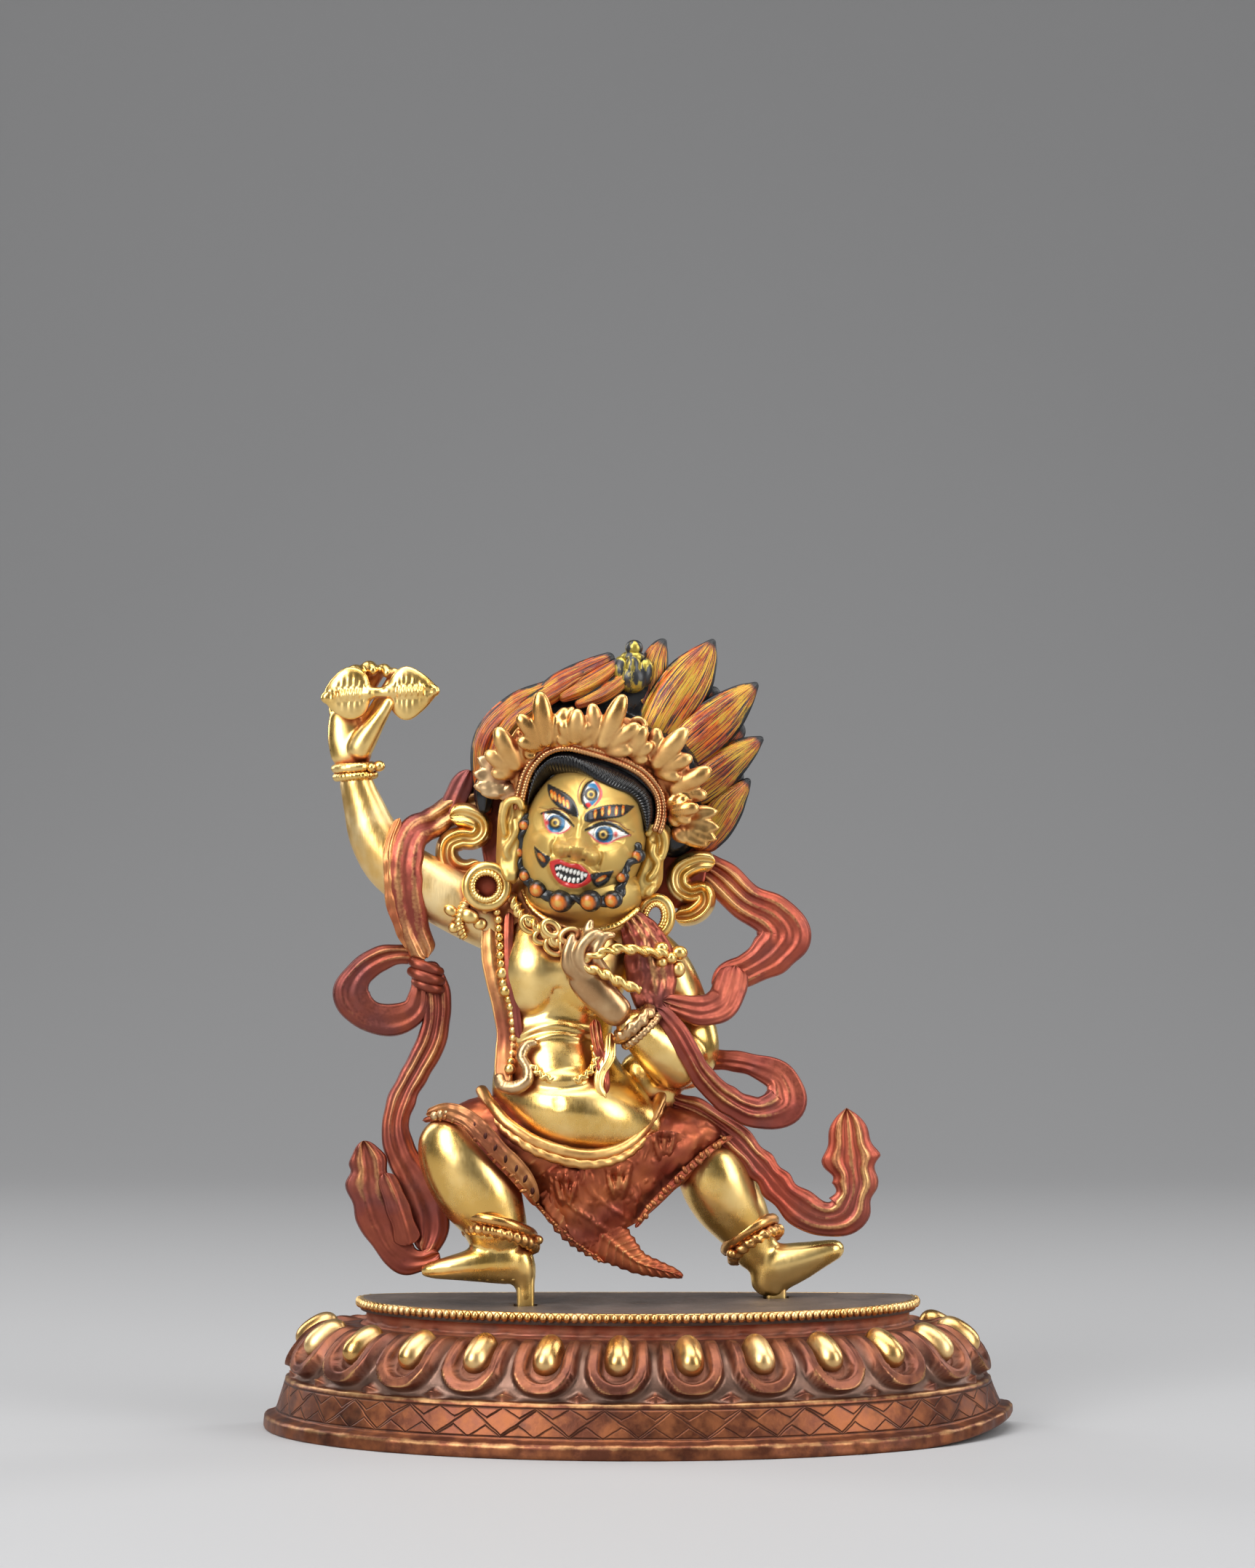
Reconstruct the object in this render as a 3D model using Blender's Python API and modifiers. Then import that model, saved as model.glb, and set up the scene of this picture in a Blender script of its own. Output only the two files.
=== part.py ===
"""A small gilt copper statue of a striding wrathful guardian on its lotus base.

Two castings: the figure, with its scarf, crown, flaming hair, vajra and noose, and the lotus base,
whose deck has a slot for the tang under each heel. Metres, +Z up, front towards -Y, origin in the
middle of the base's footprint, on the surface that it stands on.
"""

import math

import bmesh
import bpy
import numpy as np
from mathutils import Matrix, Vector

# The figure
FIGURE_HEIGHT = 0.096  # from the line its feet stand on to the tips of its hair
EYE_DISTANCE = 0.700  # the figure's points are given as seen from this far in front of it
EYE_HEIGHT = 0.0746  # the eye above that line
EYE_SIDE = -0.0016  # the eye, right of the figure's own zero
FIGURE_SETBACK = 0.007  # the figure's plane, in front of the base's widest line
CAST_GRAIN = 0.00042  # the finest detail of the figure's casting
FIGURE_FACES = 6400

# The lotus base
DECK_WIDTH = 0.0824
DECK_FRONT = 0.0242  # how far the deck's edge bows forward of its widest line
DECK_BACK = 0.0060  # and behind it
BASE_HEIGHT = 0.0193
BEAD_RIM_HEIGHT = 0.0020
NECK_INSET = 0.0016
NECK_HEIGHT = 0.0152  # where the neck meets the petals
PETAL_REACH = 0.0096  # how far the petals' slope runs out from the deck's edge
LEDGE_REACH = 0.0108
LEDGE_HEIGHT = 0.0074
BAND_REACH = 0.0122
BAND_FOOT_HEIGHT = 0.0026
FOOT_REACH = 0.0141
FOOT_HEIGHT = 0.0021
BACK_SHARE = 0.28  # the flat back flares by this share of the front's flare
BACK_SQUARENESS = 3.4  # exponent of the back's rounded rectangle
CURL_HEIGHT = 0.0022  # the foot's right end is bent up by this much
CURL_START = 0.70  # from this share of the half width

# Its lotus petals
PETAL_PITCH = 0.0098
PETAL_COUNT = 15
PETAL_SHIFT = -0.28  # the middle petal stands left of the middle by this share of the pitch
BACK_STATIONS = 12
PETAL_RELIEF = (
    (0.0096, 0.0082, 0.0002, 0.0003),  # reach and height on the slope, the boss's rise and the lobe's
    (0.0092, 0.0098, 0.0005, 0.0009),
    (0.0083, 0.0114, 0.0013, 0.0010),
    (0.0067, 0.0132, 0.0025, 0.0008),
    (0.0045, 0.0145, 0.0028, 0.0006),
    (0.0021, 0.0151, 0.0024, 0.0003),
    (0.0003, 0.0152, 0.0010, 0.0000),
)
BOSS_SHARE = 0.40  # the boss's width and the lobe's, as shares of the pitch
LOBE_SHARE = 0.80

# The tangs under the heels, and their slots
TANG_DEPTH = 0.0030
TANG_THICKNESS = 0.0024
SLOT_CLEARANCE = 0.0003
RIGHT_TANG = (-17.1, -5.4, 2.6)  # middle and width, in the figure's units
LEFT_TANG = (21.0, 6.0, 3.0)

UNIT = FIGURE_HEIGHT / 100
DECK_HALF = DECK_WIDTH / 2
FOOT_FRONT = DECK_FRONT + FOOT_REACH
FOOT_BACK = DECK_BACK + FOOT_REACH * BACK_SHARE
WIDEST_Y = (FOOT_FRONT - FOOT_BACK) / 2
FIGURE_Y = WIDEST_Y - FIGURE_SETBACK
STANDING_HEIGHT = BASE_HEIGHT + 0.75 * UNIT
VIEWER = Vector((0, -1, 0))


def at(x, y, z):
    """A point of the figure in hundredths of its height: x and z as the eye sees them in the figure's
    plane, and y its depth behind that plane, along the line of sight."""
    depth = 1 + y * UNIT / EYE_DISTANCE
    return Vector(
        (
            EYE_SIDE + (x * UNIT - EYE_SIDE) * depth,
            FIGURE_Y + y * UNIT,
            STANDING_HEIGHT + EYE_HEIGHT + (z * UNIT - EYE_HEIGHT) * depth,
        )
    )


def clear_scene():
    for thing in list(bpy.data.objects):
        bpy.data.objects.remove(thing)


def new_collection(name):
    made = bpy.data.collections.new(name)
    bpy.context.scene.collection.children.link(made)
    return made


def material(name, colour, roughness):
    made = bpy.data.materials.new(name)
    made.use_nodes = True
    shader = made.node_tree.nodes["Principled BSDF"]
    shader.inputs["Base Color"].default_value = (*colour, 1)
    shader.inputs["Roughness"].default_value = roughness
    shader.inputs["Metallic"].default_value = 1.0
    return made


def object_from(bm, name, collection):
    """A mesh object from bm, faces pointing out."""
    bmesh.ops.recalc_face_normals(bm, faces=bm.faces)
    mesh = bpy.data.meshes.new(name)
    bm.to_mesh(mesh)
    bm.free()
    made = bpy.data.objects.new(name, mesh)
    collection.objects.link(made)
    return made


def smooth(stations, per_span, closed=False):
    """Catmull-Rom curve through the rows of stations, per_span steps to a span."""
    rows = np.array(stations, float)
    count = len(rows)
    spans = count if closed else count - 1
    out = []
    for i in range(spans):
        if closed:
            p0, p1, p2, p3 = (rows[(i + k) % count] for k in (-1, 0, 1, 2))
        else:
            p0, p1, p2, p3 = (rows[min(max(i + k, 0), count - 1)] for k in (-1, 0, 1, 2))
        for step in range(per_span):
            t = step / per_span
            out.append(
                0.5
                * (
                    2 * p1
                    + (p2 - p0) * t
                    + (2 * p0 - 5 * p1 + 4 * p2 - p3) * t**2
                    + (3 * p1 - p0 - 3 * p2 + p3) * t**3
                )
            )
    if not closed:
        out.append(rows[-1])
    return np.array(out)


def loft(name, rings, collection, closed=False):
    """A skin over rings of equally many points, capped at both ends unless it closes on itself."""
    bm = bmesh.new()
    grid = [[bm.verts.new(p) for p in ring] for ring in rings]
    count = len(grid[0])
    pairs = list(zip(grid, grid[1:]))
    if closed:
        pairs.append((grid[-1], grid[0]))
    for lower, upper in pairs:
        for i in range(count):
            j = (i + 1) % count
            bm.faces.new((lower[i], lower[j], upper[j], upper[i]))
    if not closed:
        bm.faces.new(grid[0])
        bm.faces.new(grid[-1])
    bmesh.ops.triangulate(bm, faces=bm.faces)
    return object_from(bm, name, collection)


def body_form(name, stations, collection, sides=16, per_span=2):
    """A trunk of level ellipses: each station is x, y, z, half width and half depth."""
    rings = []
    for x, y, z, half_width, half_depth in smooth(stations, per_span):
        angles = [2 * math.pi * k / sides for k in range(sides)]
        rings.append(
            [at(x + half_width * math.cos(a), y + half_depth * math.sin(a), z) for a in angles]
        )
    return loft(name, rings, collection)


def tube(name, stations, collection, resolution=2, per_span=2, closed=False):
    """A round limb, rope or ring through stations of x, y, z and radius, made a mesh."""
    rows = smooth(stations, per_span, closed)
    data = bpy.data.curves.new(name, "CURVE")
    data.dimensions = "3D"
    data.bevel_depth = UNIT
    data.bevel_resolution = resolution
    data.use_fill_caps = not closed
    spline = data.splines.new("POLY")
    spline.points.add(len(rows) - 1)
    for point, (x, y, z, radius) in zip(spline.points, rows):
        point.co = (*at(x, y, z), 1)
        point.radius = radius
    spline.use_cyclic_u = closed
    guide = bpy.data.objects.new(name, data)
    collection.objects.link(guide)
    bpy.context.view_layer.update()
    graph = bpy.context.evaluated_depsgraph_get()
    mesh = bpy.data.meshes.new_from_object(guide.evaluated_get(graph))
    bm = bmesh.new()
    bm.from_mesh(mesh)
    bpy.data.meshes.remove(mesh)
    bpy.data.objects.remove(guide)
    bmesh.ops.remove_doubles(bm, verts=bm.verts, dist=UNIT / 1000)
    bmesh.ops.triangulate(bm, faces=bm.faces)
    return object_from(bm, name, collection)


def blob(name, centre, radii, collection, tilt=0.0, segments=10, rings=6):
    """An ellipsoid about a figure point; tilt turns it clockwise as the viewer sees it, in degrees."""
    bm = bmesh.new()
    turn = Matrix.Rotation(math.radians(tilt), 4, "Y")
    scale = Matrix.Diagonal(Vector((*radii, 1 / UNIT)) * UNIT)
    bmesh.ops.create_uvsphere(
        bm,
        u_segments=segments,
        v_segments=rings,
        radius=1,
        matrix=Matrix.Translation(at(*centre)) @ turn @ scale,
    )
    return object_from(bm, name, collection)


def ribbon(name, stations, collection, thickness=2.0, per_span=2, closed=False, folds=2):
    """A fluted strip facing the viewer: stations are x, y, z and width. Its front has folds grooves."""
    rows = smooth(stations, per_span, closed)
    points = [at(*row[:3]) for row in rows]
    count = len(points)
    crests = 2 * folds + 1
    rings = []
    for i, row in enumerate(rows):
        ahead = points[(i + 1) % count] if closed else points[min(i + 1, count - 1)]
        behind = points[i - 1] if closed else points[max(i - 1, 0)]
        across = (ahead - behind).normalized().cross(VIEWER).normalized()
        half = row[3] * UNIT / 2
        thick = thickness * UNIT / 2
        ring = [points[i] - across * half - VIEWER * thick * 0.6]
        for k in range(crests + 2):
            share = k / (crests + 1)
            edge = k in (0, crests + 1)
            lift = 0.1 if edge else (1.0 if k % 2 else 0.35)
            ring.append(points[i] + across * half * (2 * share - 1) + VIEWER * thick * lift)
        ring.append(points[i] + across * half - VIEWER * thick * 0.6)
        rings.append(ring)
    return loft(name, rings, collection, closed)


def plate(name, outline, depth, thickness, collection):
    """A flat sheet cut to an outline of x and z pairs, its middle at that depth."""
    data = bpy.data.curves.new(name, "CURVE")
    data.dimensions = "2D"
    data.fill_mode = "BOTH"
    data.extrude = thickness * UNIT / 2
    spline = data.splines.new("POLY")
    spline.points.add(len(outline) - 1)
    middle = at(0, depth, 0)
    for point, (x, z) in zip(spline.points, outline):
        place = at(x, depth, z)
        point.co = (place.x - middle.x, place.z - middle.z, 0, 1)
    spline.use_cyclic_u = True
    guide = bpy.data.objects.new(name, data)
    guide.matrix_world = Matrix.Translation(middle) @ Matrix.Rotation(math.pi / 2, 4, "X")
    collection.objects.link(guide)
    bpy.context.view_layer.update()
    graph = bpy.context.evaluated_depsgraph_get()
    mesh = bpy.data.meshes.new_from_object(guide.evaluated_get(graph))
    mesh.transform(guide.matrix_world)
    bm = bmesh.new()
    bm.from_mesh(mesh)
    bpy.data.meshes.remove(mesh)
    bpy.data.objects.remove(guide)
    bmesh.ops.remove_doubles(bm, verts=bm.verts, dist=UNIT / 1000)
    bmesh.ops.triangulate(bm, faces=bm.faces)
    return object_from(bm, name, collection)


def cast_whole(name, forms, into, finish):
    """One closed casting from all the overlapping objects of the forms collection."""
    bm = bmesh.new()
    for piece in list(forms.objects):
        bm.from_mesh(piece.data)
        mesh = piece.data
        bpy.data.objects.remove(piece)
        bpy.data.meshes.remove(mesh)
    whole = object_from(bm, name, into)
    whole.data.materials.append(finish)
    fused = whole.modifiers.new("one casting", "REMESH")
    fused.mode = "VOXEL"
    fused.voxel_size = CAST_GRAIN
    bpy.context.view_layer.update()
    graph = bpy.context.evaluated_depsgraph_get()
    count = len(whole.evaluated_get(graph).data.polygons) * 2
    light = whole.modifiers.new("fewer faces", "DECIMATE")
    light.ratio = FIGURE_FACES / count
    light.use_collapse_triangulate = True
    bpy.context.view_layer.update()
    graph = bpy.context.evaluated_depsgraph_get()
    mesh = bpy.data.meshes.new_from_object(whole.evaluated_get(graph))
    whole.modifiers.clear()
    whole.data = mesh
    keep_largest_shell(mesh)
    return whole


def keep_largest_shell(mesh):
    """Drops the specks that thinning leaves beside the casting."""
    bm = bmesh.new()
    bm.from_mesh(mesh)
    left = set(bm.faces)
    shells = []
    while left:
        shell = {left.pop()}
        edge = list(shell)
        while edge:
            near = {f for e in edge.pop().edges for f in e.link_faces} & left
            left -= near
            shell |= near
            edge += near
        shells.append(shell)
    shells.sort(key=len)
    for shell in shells[:-1]:
        bmesh.ops.delete(bm, geom=list(shell), context="FACES")
    loose = [v for v in bm.verts if not v.link_faces]
    bmesh.ops.delete(bm, geom=loose, context="VERTS")
    bm.to_mesh(mesh)
    bm.free()


def make_trunk(forms):
    """Pelvis, belly, waist, chest and the broad neck."""
    body_form(
        "trunk",
        [
            (-6.5, 0.5, 17, 8.5, 5.0),
            (-7.5, -1.0, 22, 12.0, 8.0),
            (-9.0, -2.5, 27, 12.6, 9.4),
            (-11.0, -2.5, 31.5, 11.4, 8.8),
            (-12.6, -1.5, 36, 9.0, 7.0),
            (-12.8, -1.0, 40, 8.5, 6.2),
            (-12.4, -1.5, 45, 9.8, 6.8),
            (-12.0, -1.0, 50, 11.4, 6.8),
            (-11.5, 0.0, 54.5, 12.0, 5.8),
            (-9.5, -1.0, 58.5, 9.0, 5.4),
            (-8.5, -2.0, 63, 6.5, 5.0),
        ],
        forms,
    )
    blob("right_breast", (-17.5, -4.6, 49.0), (5.2, 3.6, 5.6), forms)
    blob("left_breast", (-6.5, -4.6, 48.5), (4.8, 3.4, 5.2), forms)
    blob("right_shoulder_cap", (-17.0, -1.0, 59.4), (5.6, 4.2, 6.4), forms)
    for name, z, span in (("rib_fold", 40.9, 5.6), ("waist_fold", 38.9, 5.9)):
        tube(
            name,
            [
                (-13 - span, -4.2, z - 0.9, 0.5),
                (-13, -7.6, z, 0.8),
                (-13 + span, -4.6, z - 0.4, 0.5),
            ],
            forms,
            resolution=1,
            per_span=3,
        )


def make_head(forms):
    """Head, nose, brows, lips, ears and the ring of beard curls."""
    blob("skull", (-8.4, -4.5, 69.2), (9.6, 9.0, 12.0), forms, tilt=14, segments=18, rings=12)
    blob("jowls", (-8.0, -4.6, 61.2), (9.6, 7.0, 6.0), forms, segments=14, rings=8)
    blob("nose", (-8.7, -13.3, 68.2), (1.9, 2.4, 2.9), forms, tilt=14)
    blob("lips", (-10.0, -12.2, 64.3), (3.3, 1.9, 2.0), forms, tilt=14)
    tube(
        "right_brow",
        [(-13.5, -11.2, 77.0, 0.5), (-11.6, -12.8, 75.6, 1.0), (-9.4, -13.3, 73.4, 0.6)],
        forms,
        resolution=1,
    )
    tube(
        "left_brow",
        [(-7.8, -13.3, 72.8, 0.6), (-4.6, -12.8, 73.7, 1.0), (-1.4, -10.6, 74.0, 0.5)],
        forms,
        resolution=1,
    )
    for name, x, y, z in (("right_eye", -12.5, -11.6, 71.8), ("left_eye", -5.2, -12.2, 70.1)):
        blob(name, (x, y, z), (2.1, 1.4, 1.4), forms, tilt=14, segments=8, rings=6)
    blob("third_eye", (-7.3, -12.4, 76.1), (1.2, 1.1, 1.8), forms, tilt=14, segments=8, rings=6)
    beard = [
        (-17.1, 71.7),
        (-17.7, 67.4),
        (-17.0, 64.4),
        (-15.2, 62.0),
        (-12.0, 60.3),
        (-8.0, 60.0),
        (-4.2, 60.4),
        (-2.6, 63.7),
        (-0.4, 67.2),
    ]
    for k, (x, z) in enumerate(beard):
        y = -4.5 - 9.0 * math.sqrt(max(0.1, 1 - ((x + 8.6) / 10.4) ** 2 - ((z - 69) / 13) ** 2))
        blob(f"beard_curl_{k}", (x, y, z), (1.6, 1.5, 1.6), forms, segments=7, rings=5)
    ribbon(
        "right_ear",
        [(-18.6, -4.0, 76.6, 2.6), (-19.4, -4.5, 72, 4.0), (-20.0, -4.5, 67.5, 3.6), (-19.6, -4.2, 63.4, 3.4)],
        forms,
        thickness=3.0,
        folds=1,
    )
    ribbon(
        "left_ear",
        [(2.6, -1.8, 72.0, 2.6), (2.3, -2.2, 69, 4.2), (1.6, -2.2, 65, 4.0), (1.0, -2.6, 60.8, 3.6)],
        forms,
        thickness=3.0,
        folds=1,
    )
    ring("right_earring", (-22.8, -6.0, 62.3), (3.0, 2.6), 1.15, forms)
    ring("left_earring", (2.4, -4.0, 56.9), (2.4, 3.1), 1.1, forms, tilt=12)


def ring(name, centre, radii, thick, forms, tilt=0.0, count=12, collection=None):
    """A round bead of metal bent to an upright oval ring."""
    x, y, z = centre
    c, s = math.cos(math.radians(tilt)), math.sin(math.radians(tilt))
    stations = []
    for k in range(count):
        a = 2 * math.pi * k / count
        u, v = radii[0] * math.cos(a), radii[1] * math.sin(a)
        stations.append((x + u * c - v * s, y, z + u * s + v * c, thick))
    return tube(name, stations, forms, resolution=1, per_span=1, closed=True)


def make_hair(forms):
    """Swept locks on the right of the head, the topknot, and five flames on its left."""
    plate(
        "hair_back",
        [
            (-22.5, 75), (-24.5, 80), (-23.5, 84.5), (-20.5, 88.5), (-16, 91.5), (-9, 94.3),
            (-3, 97.3), (2.5, 97.0), (4.0, 94.0), (9.5, 89.5), (12.5, 84.5), (12.5, 79.0),
            (12.6, 72.5), (10.0, 68.0), (6.5, 66.5), (0, 72), (-8, 76), (-18, 75),
        ],
        2.4,
        5.0,
        forms,
    )
    locks = [
        [(-22.8, 0.4, 74.5, 0.8), (-24.2, 0.4, 80, 1.2), (-23.6, 0.4, 84, 1.7), (-19.8, 0.4, 88.6, 1.9), (-15, 0.2, 91.2, 1.4)],
        [(-19, 0.0, 87.4, 1.2), (-14, -0.2, 91.0, 1.8), (-8, -0.2, 93.4, 1.7), (-4, 0.2, 95.6, 1.0)],
    ]
    for k, lock in enumerate(locks):
        tube(f"swept_lock_{k}", lock, forms, resolution=1, per_span=2)
    flames = [
        [(-2.0, 1.0, 90, 3.6), (0.6, 1.0, 94, 4.6), (2.6, 1.0, 97.4, 4.0), (3.9, 1.0, 99.7, 1.2)],
        [(1.0, 0.6, 88, 4.0), (5.0, 0.2, 92.5, 6.4), (8.8, 0.4, 96.4, 5.4), (11.4, 0.8, 99.7, 1.4)],
        [(4.0, 0.6, 84, 4.0), (9.6, 0.0, 87.4, 5.8), (14.2, 0.2, 90.2, 5.0), (18.0, 0.8, 92.6, 1.3)],
        [(6.0, 0.8, 79, 4.0), (11.0, 0.2, 81.4, 5.6), (15.6, 0.4, 83.4, 4.6), (18.7, 0.8, 84.3, 1.4)],
        [(9.6, 1.0, 71, 3.0), (12.2, 0.6, 73.6, 4.8), (14.8, 0.4, 76.4, 4.4), (16.9, 0.8, 78.4, 1.3)],
    ]
    for k, flame in enumerate(flames):
        ribbon(f"flame_{k}", flame, forms, thickness=4.4, folds=2)
    blob("hair_mass", (-6.0, -1.6, 82.0), (14.5, 6.0, 9.0), forms, tilt=8, segments=14, rings=8)
    blob("hair_mass_left", (4.6, -1.0, 79.0), (7.0, 4.6, 8.0), forms, segments=10, rings=6)
    blob("topknot", (-1.6, -0.6, 94.6), (3.0, 2.8, 2.6), forms, segments=8, rings=6)
    blob("topknot_jewel", (-0.8, -0.6, 98.0), (1.5, 1.5, 1.8), forms, segments=8, rings=6)


def make_crown(forms):
    """Hair roll, beaded diadem band and its leaves."""
    tube(
        "hair_roll",
        [
            (-16.4, -8.0, 74.6, 0.7), (-15.4, -9.6, 78.2, 1.0), (-11.6, -11.2, 80.8, 1.1),
            (-6.0, -11.2, 79.9, 1.1), (-1.4, -9.6, 77.6, 1.1), (1.0, -7.6, 73.8, 1.0), (1.0, -7.2, 70.9, 0.6),
        ],
        forms,
        resolution=1,
    )
    tube(
        "diadem_band",
        [
            (-19.0, -5.6, 75.8, 1.0), (-17.2, -8.6, 80.4, 1.3), (-12.6, -10.4, 83.2, 1.4),
            (-6.4, -10.4, 82.4, 1.4), (-0.4, -8.8, 79.8, 1.4), (3.2, -6.0, 75.8, 1.2), (3.6, -4.8, 71.6, 0.9),
        ],
        forms,
        resolution=2,
    )
    leaves = [
        (-21.0, -5.2, 79.0, 3.2, 1.8, -75), (-18.3, -6.6, 83.4, 1.9, 3.4, -12), (-18.6, -5.8, 87.0, 1.7, 2.4, -30),
        (-15.4, -7.8, 86.2, 1.7, 3.0, -20), (-13.9, -8.0, 89.2, 1.5, 3.2, -8), (-11.9, -8.4, 87.4, 1.5, 2.8, 14),
        (-9.4, -9.0, 86.4, 2.2, 3.0, 0), (-7.0, -8.6, 87.6, 1.6, 2.6, 10), (-4.6, -8.4, 87.8, 1.6, 3.2, 22),
        (-2.4, -8.0, 88.6, 1.4, 3.4, 30), (-0.4, -7.8, 85.6, 2.3, 1.9, 0), (-2.2, -8.6, 83.0, 2.4, 1.6, 10),
        (3.0, -6.6, 83.2, 1.6, 3.0, 18), (5.4, -5.8, 84.2, 1.4, 3.0, 32), (6.4, -5.2, 81.8, 1.3, 2.2, 45),
        (5.4, -5.2, 78.6, 1.8, 2.6, 50), (8.4, -4.4, 78.2, 1.5, 3.2, 55), (7.4, -4.0, 71.8, 3.6, 1.7, 22),
    ]
    for k, (x, y, z, wide, tall, tilt) in enumerate(leaves):
        blob(f"crown_leaf_{k}", (x, y, z), (wide, 2.2, tall), forms, tilt=tilt, segments=8, rings=5)


def make_right_arm(forms):
    """The raised arm, its hand and the vajra across it."""
    tube(
        "right_arm",
        [
            (-19.0, 0.0, 54.0, 4.2), (-25.0, -0.5, 58.0, 4.6), (-31.5, -0.5, 61.6, 4.5),
            (-37.6, 0.0, 66.0, 4.4), (-40.6, 0.2, 70.2, 3.9), (-42.2, 0.2, 75.4, 3.0), (-43.2, 0.2, 80.5, 2.3),
        ],
        forms,
        per_span=3,
    )
    ring_about("right_bracelet", (-43.0, 0.2, 79.4), (3.1, 2.9), 1.15, 6, forms)
    blob("armlet", (-26.6, -4.0, 57.6), (2.6, 2.2, 2.4), forms, segments=8, rings=5)
    tube(
        "right_palm",
        [(-43.4, 0.2, 79, 2.1), (-44.0, 0.4, 83.6, 3.2), (-44.8, 0.6, 87, 2.6), (-44.6, 0.8, 89.5, 2.0)],
        forms,
    )
    tube(
        "right_thumb",
        [(-42.4, -0.6, 82.6, 1.5), (-40.6, -1.4, 86.2, 1.6), (-38.2, -2.4, 88.8, 1.1), (-37.2, -3.0, 91.6, 0.8)],
        forms,
        resolution=1,
    )
    for k, (x, y) in enumerate(((-44.4, 2.0), (-42.4, 2.2), (-40.2, 2.0))):
        tube(
            f"right_finger_{k}",
            [(-45 + k, 1.6, 87.5, 1.1), (x, y, 91.5, 1.1), (x + 1.0, 0.6, 94.6, 1.0), (x + 2.8, -1.0, 94.8, 0.7)],
            forms,
            resolution=1,
        )
    tube("right_index", [(-38.6, 1.8, 92.6, 0.8), (-37.4, 1.2, 94.2, 0.8), (-36.6, 0.8, 95.4, 0.7)], forms, resolution=1)
    tube(
        "vajra_bar",
        [
            (-48.4, -0.8, 91.0, 0.6), (-47.4, -0.8, 91.1, 1.0), (-44.6, -0.8, 91.3, 1.5), (-41.4, -0.8, 91.5, 1.4),
            (-39.4, -0.8, 91.6, 1.2), (-37.2, -0.8, 91.7, 1.2), (-34.6, -0.8, 91.9, 1.5), (-31.6, -0.8, 92.0, 1.0),
            (-29.8, -0.8, 92.1, 0.7),
        ],
        forms,
        per_span=1,
    )
    for side, centre, first in (("outer", (-43.8, 91.2), 0), ("inner", (-34.2, 91.8), 1)):
        for k in range(4):
            a = math.radians(45 + 90 * k)
            x, z = centre
            tube(
                f"vajra_{side}_prong_{k}",
                [
                    (x - 3.6, -0.8 + 0.5 * math.cos(a), z + 0.5 * math.sin(a), 0.6),
                    (x, -0.8 + 2.4 * math.cos(a), z + 2.6 * math.sin(a), 1.1),
                    (x + 3.6, -0.8 + 0.5 * math.cos(a), z + 0.5 * math.sin(a), 0.6),
                ],
                forms,
                resolution=1,
            )


def ring_about(name, centre, radii, thick, tilt, forms, lean=0.0, count=12):
    """A bangle: a level ring of metal, tilted as the viewer sees it and leaning towards them."""
    x, y, z = centre
    stations = []
    for k in range(count):
        a = 2 * math.pi * k / count
        u, v = radii[0] * math.cos(a), radii[1] * math.sin(a)
        lift = u * math.sin(math.radians(tilt)) + v * math.sin(math.radians(lean))
        stations.append((x + u * math.cos(math.radians(tilt)), y + v, z + lift, thick))
    return tube(name, stations, forms, resolution=1, per_span=1, closed=True)


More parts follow.
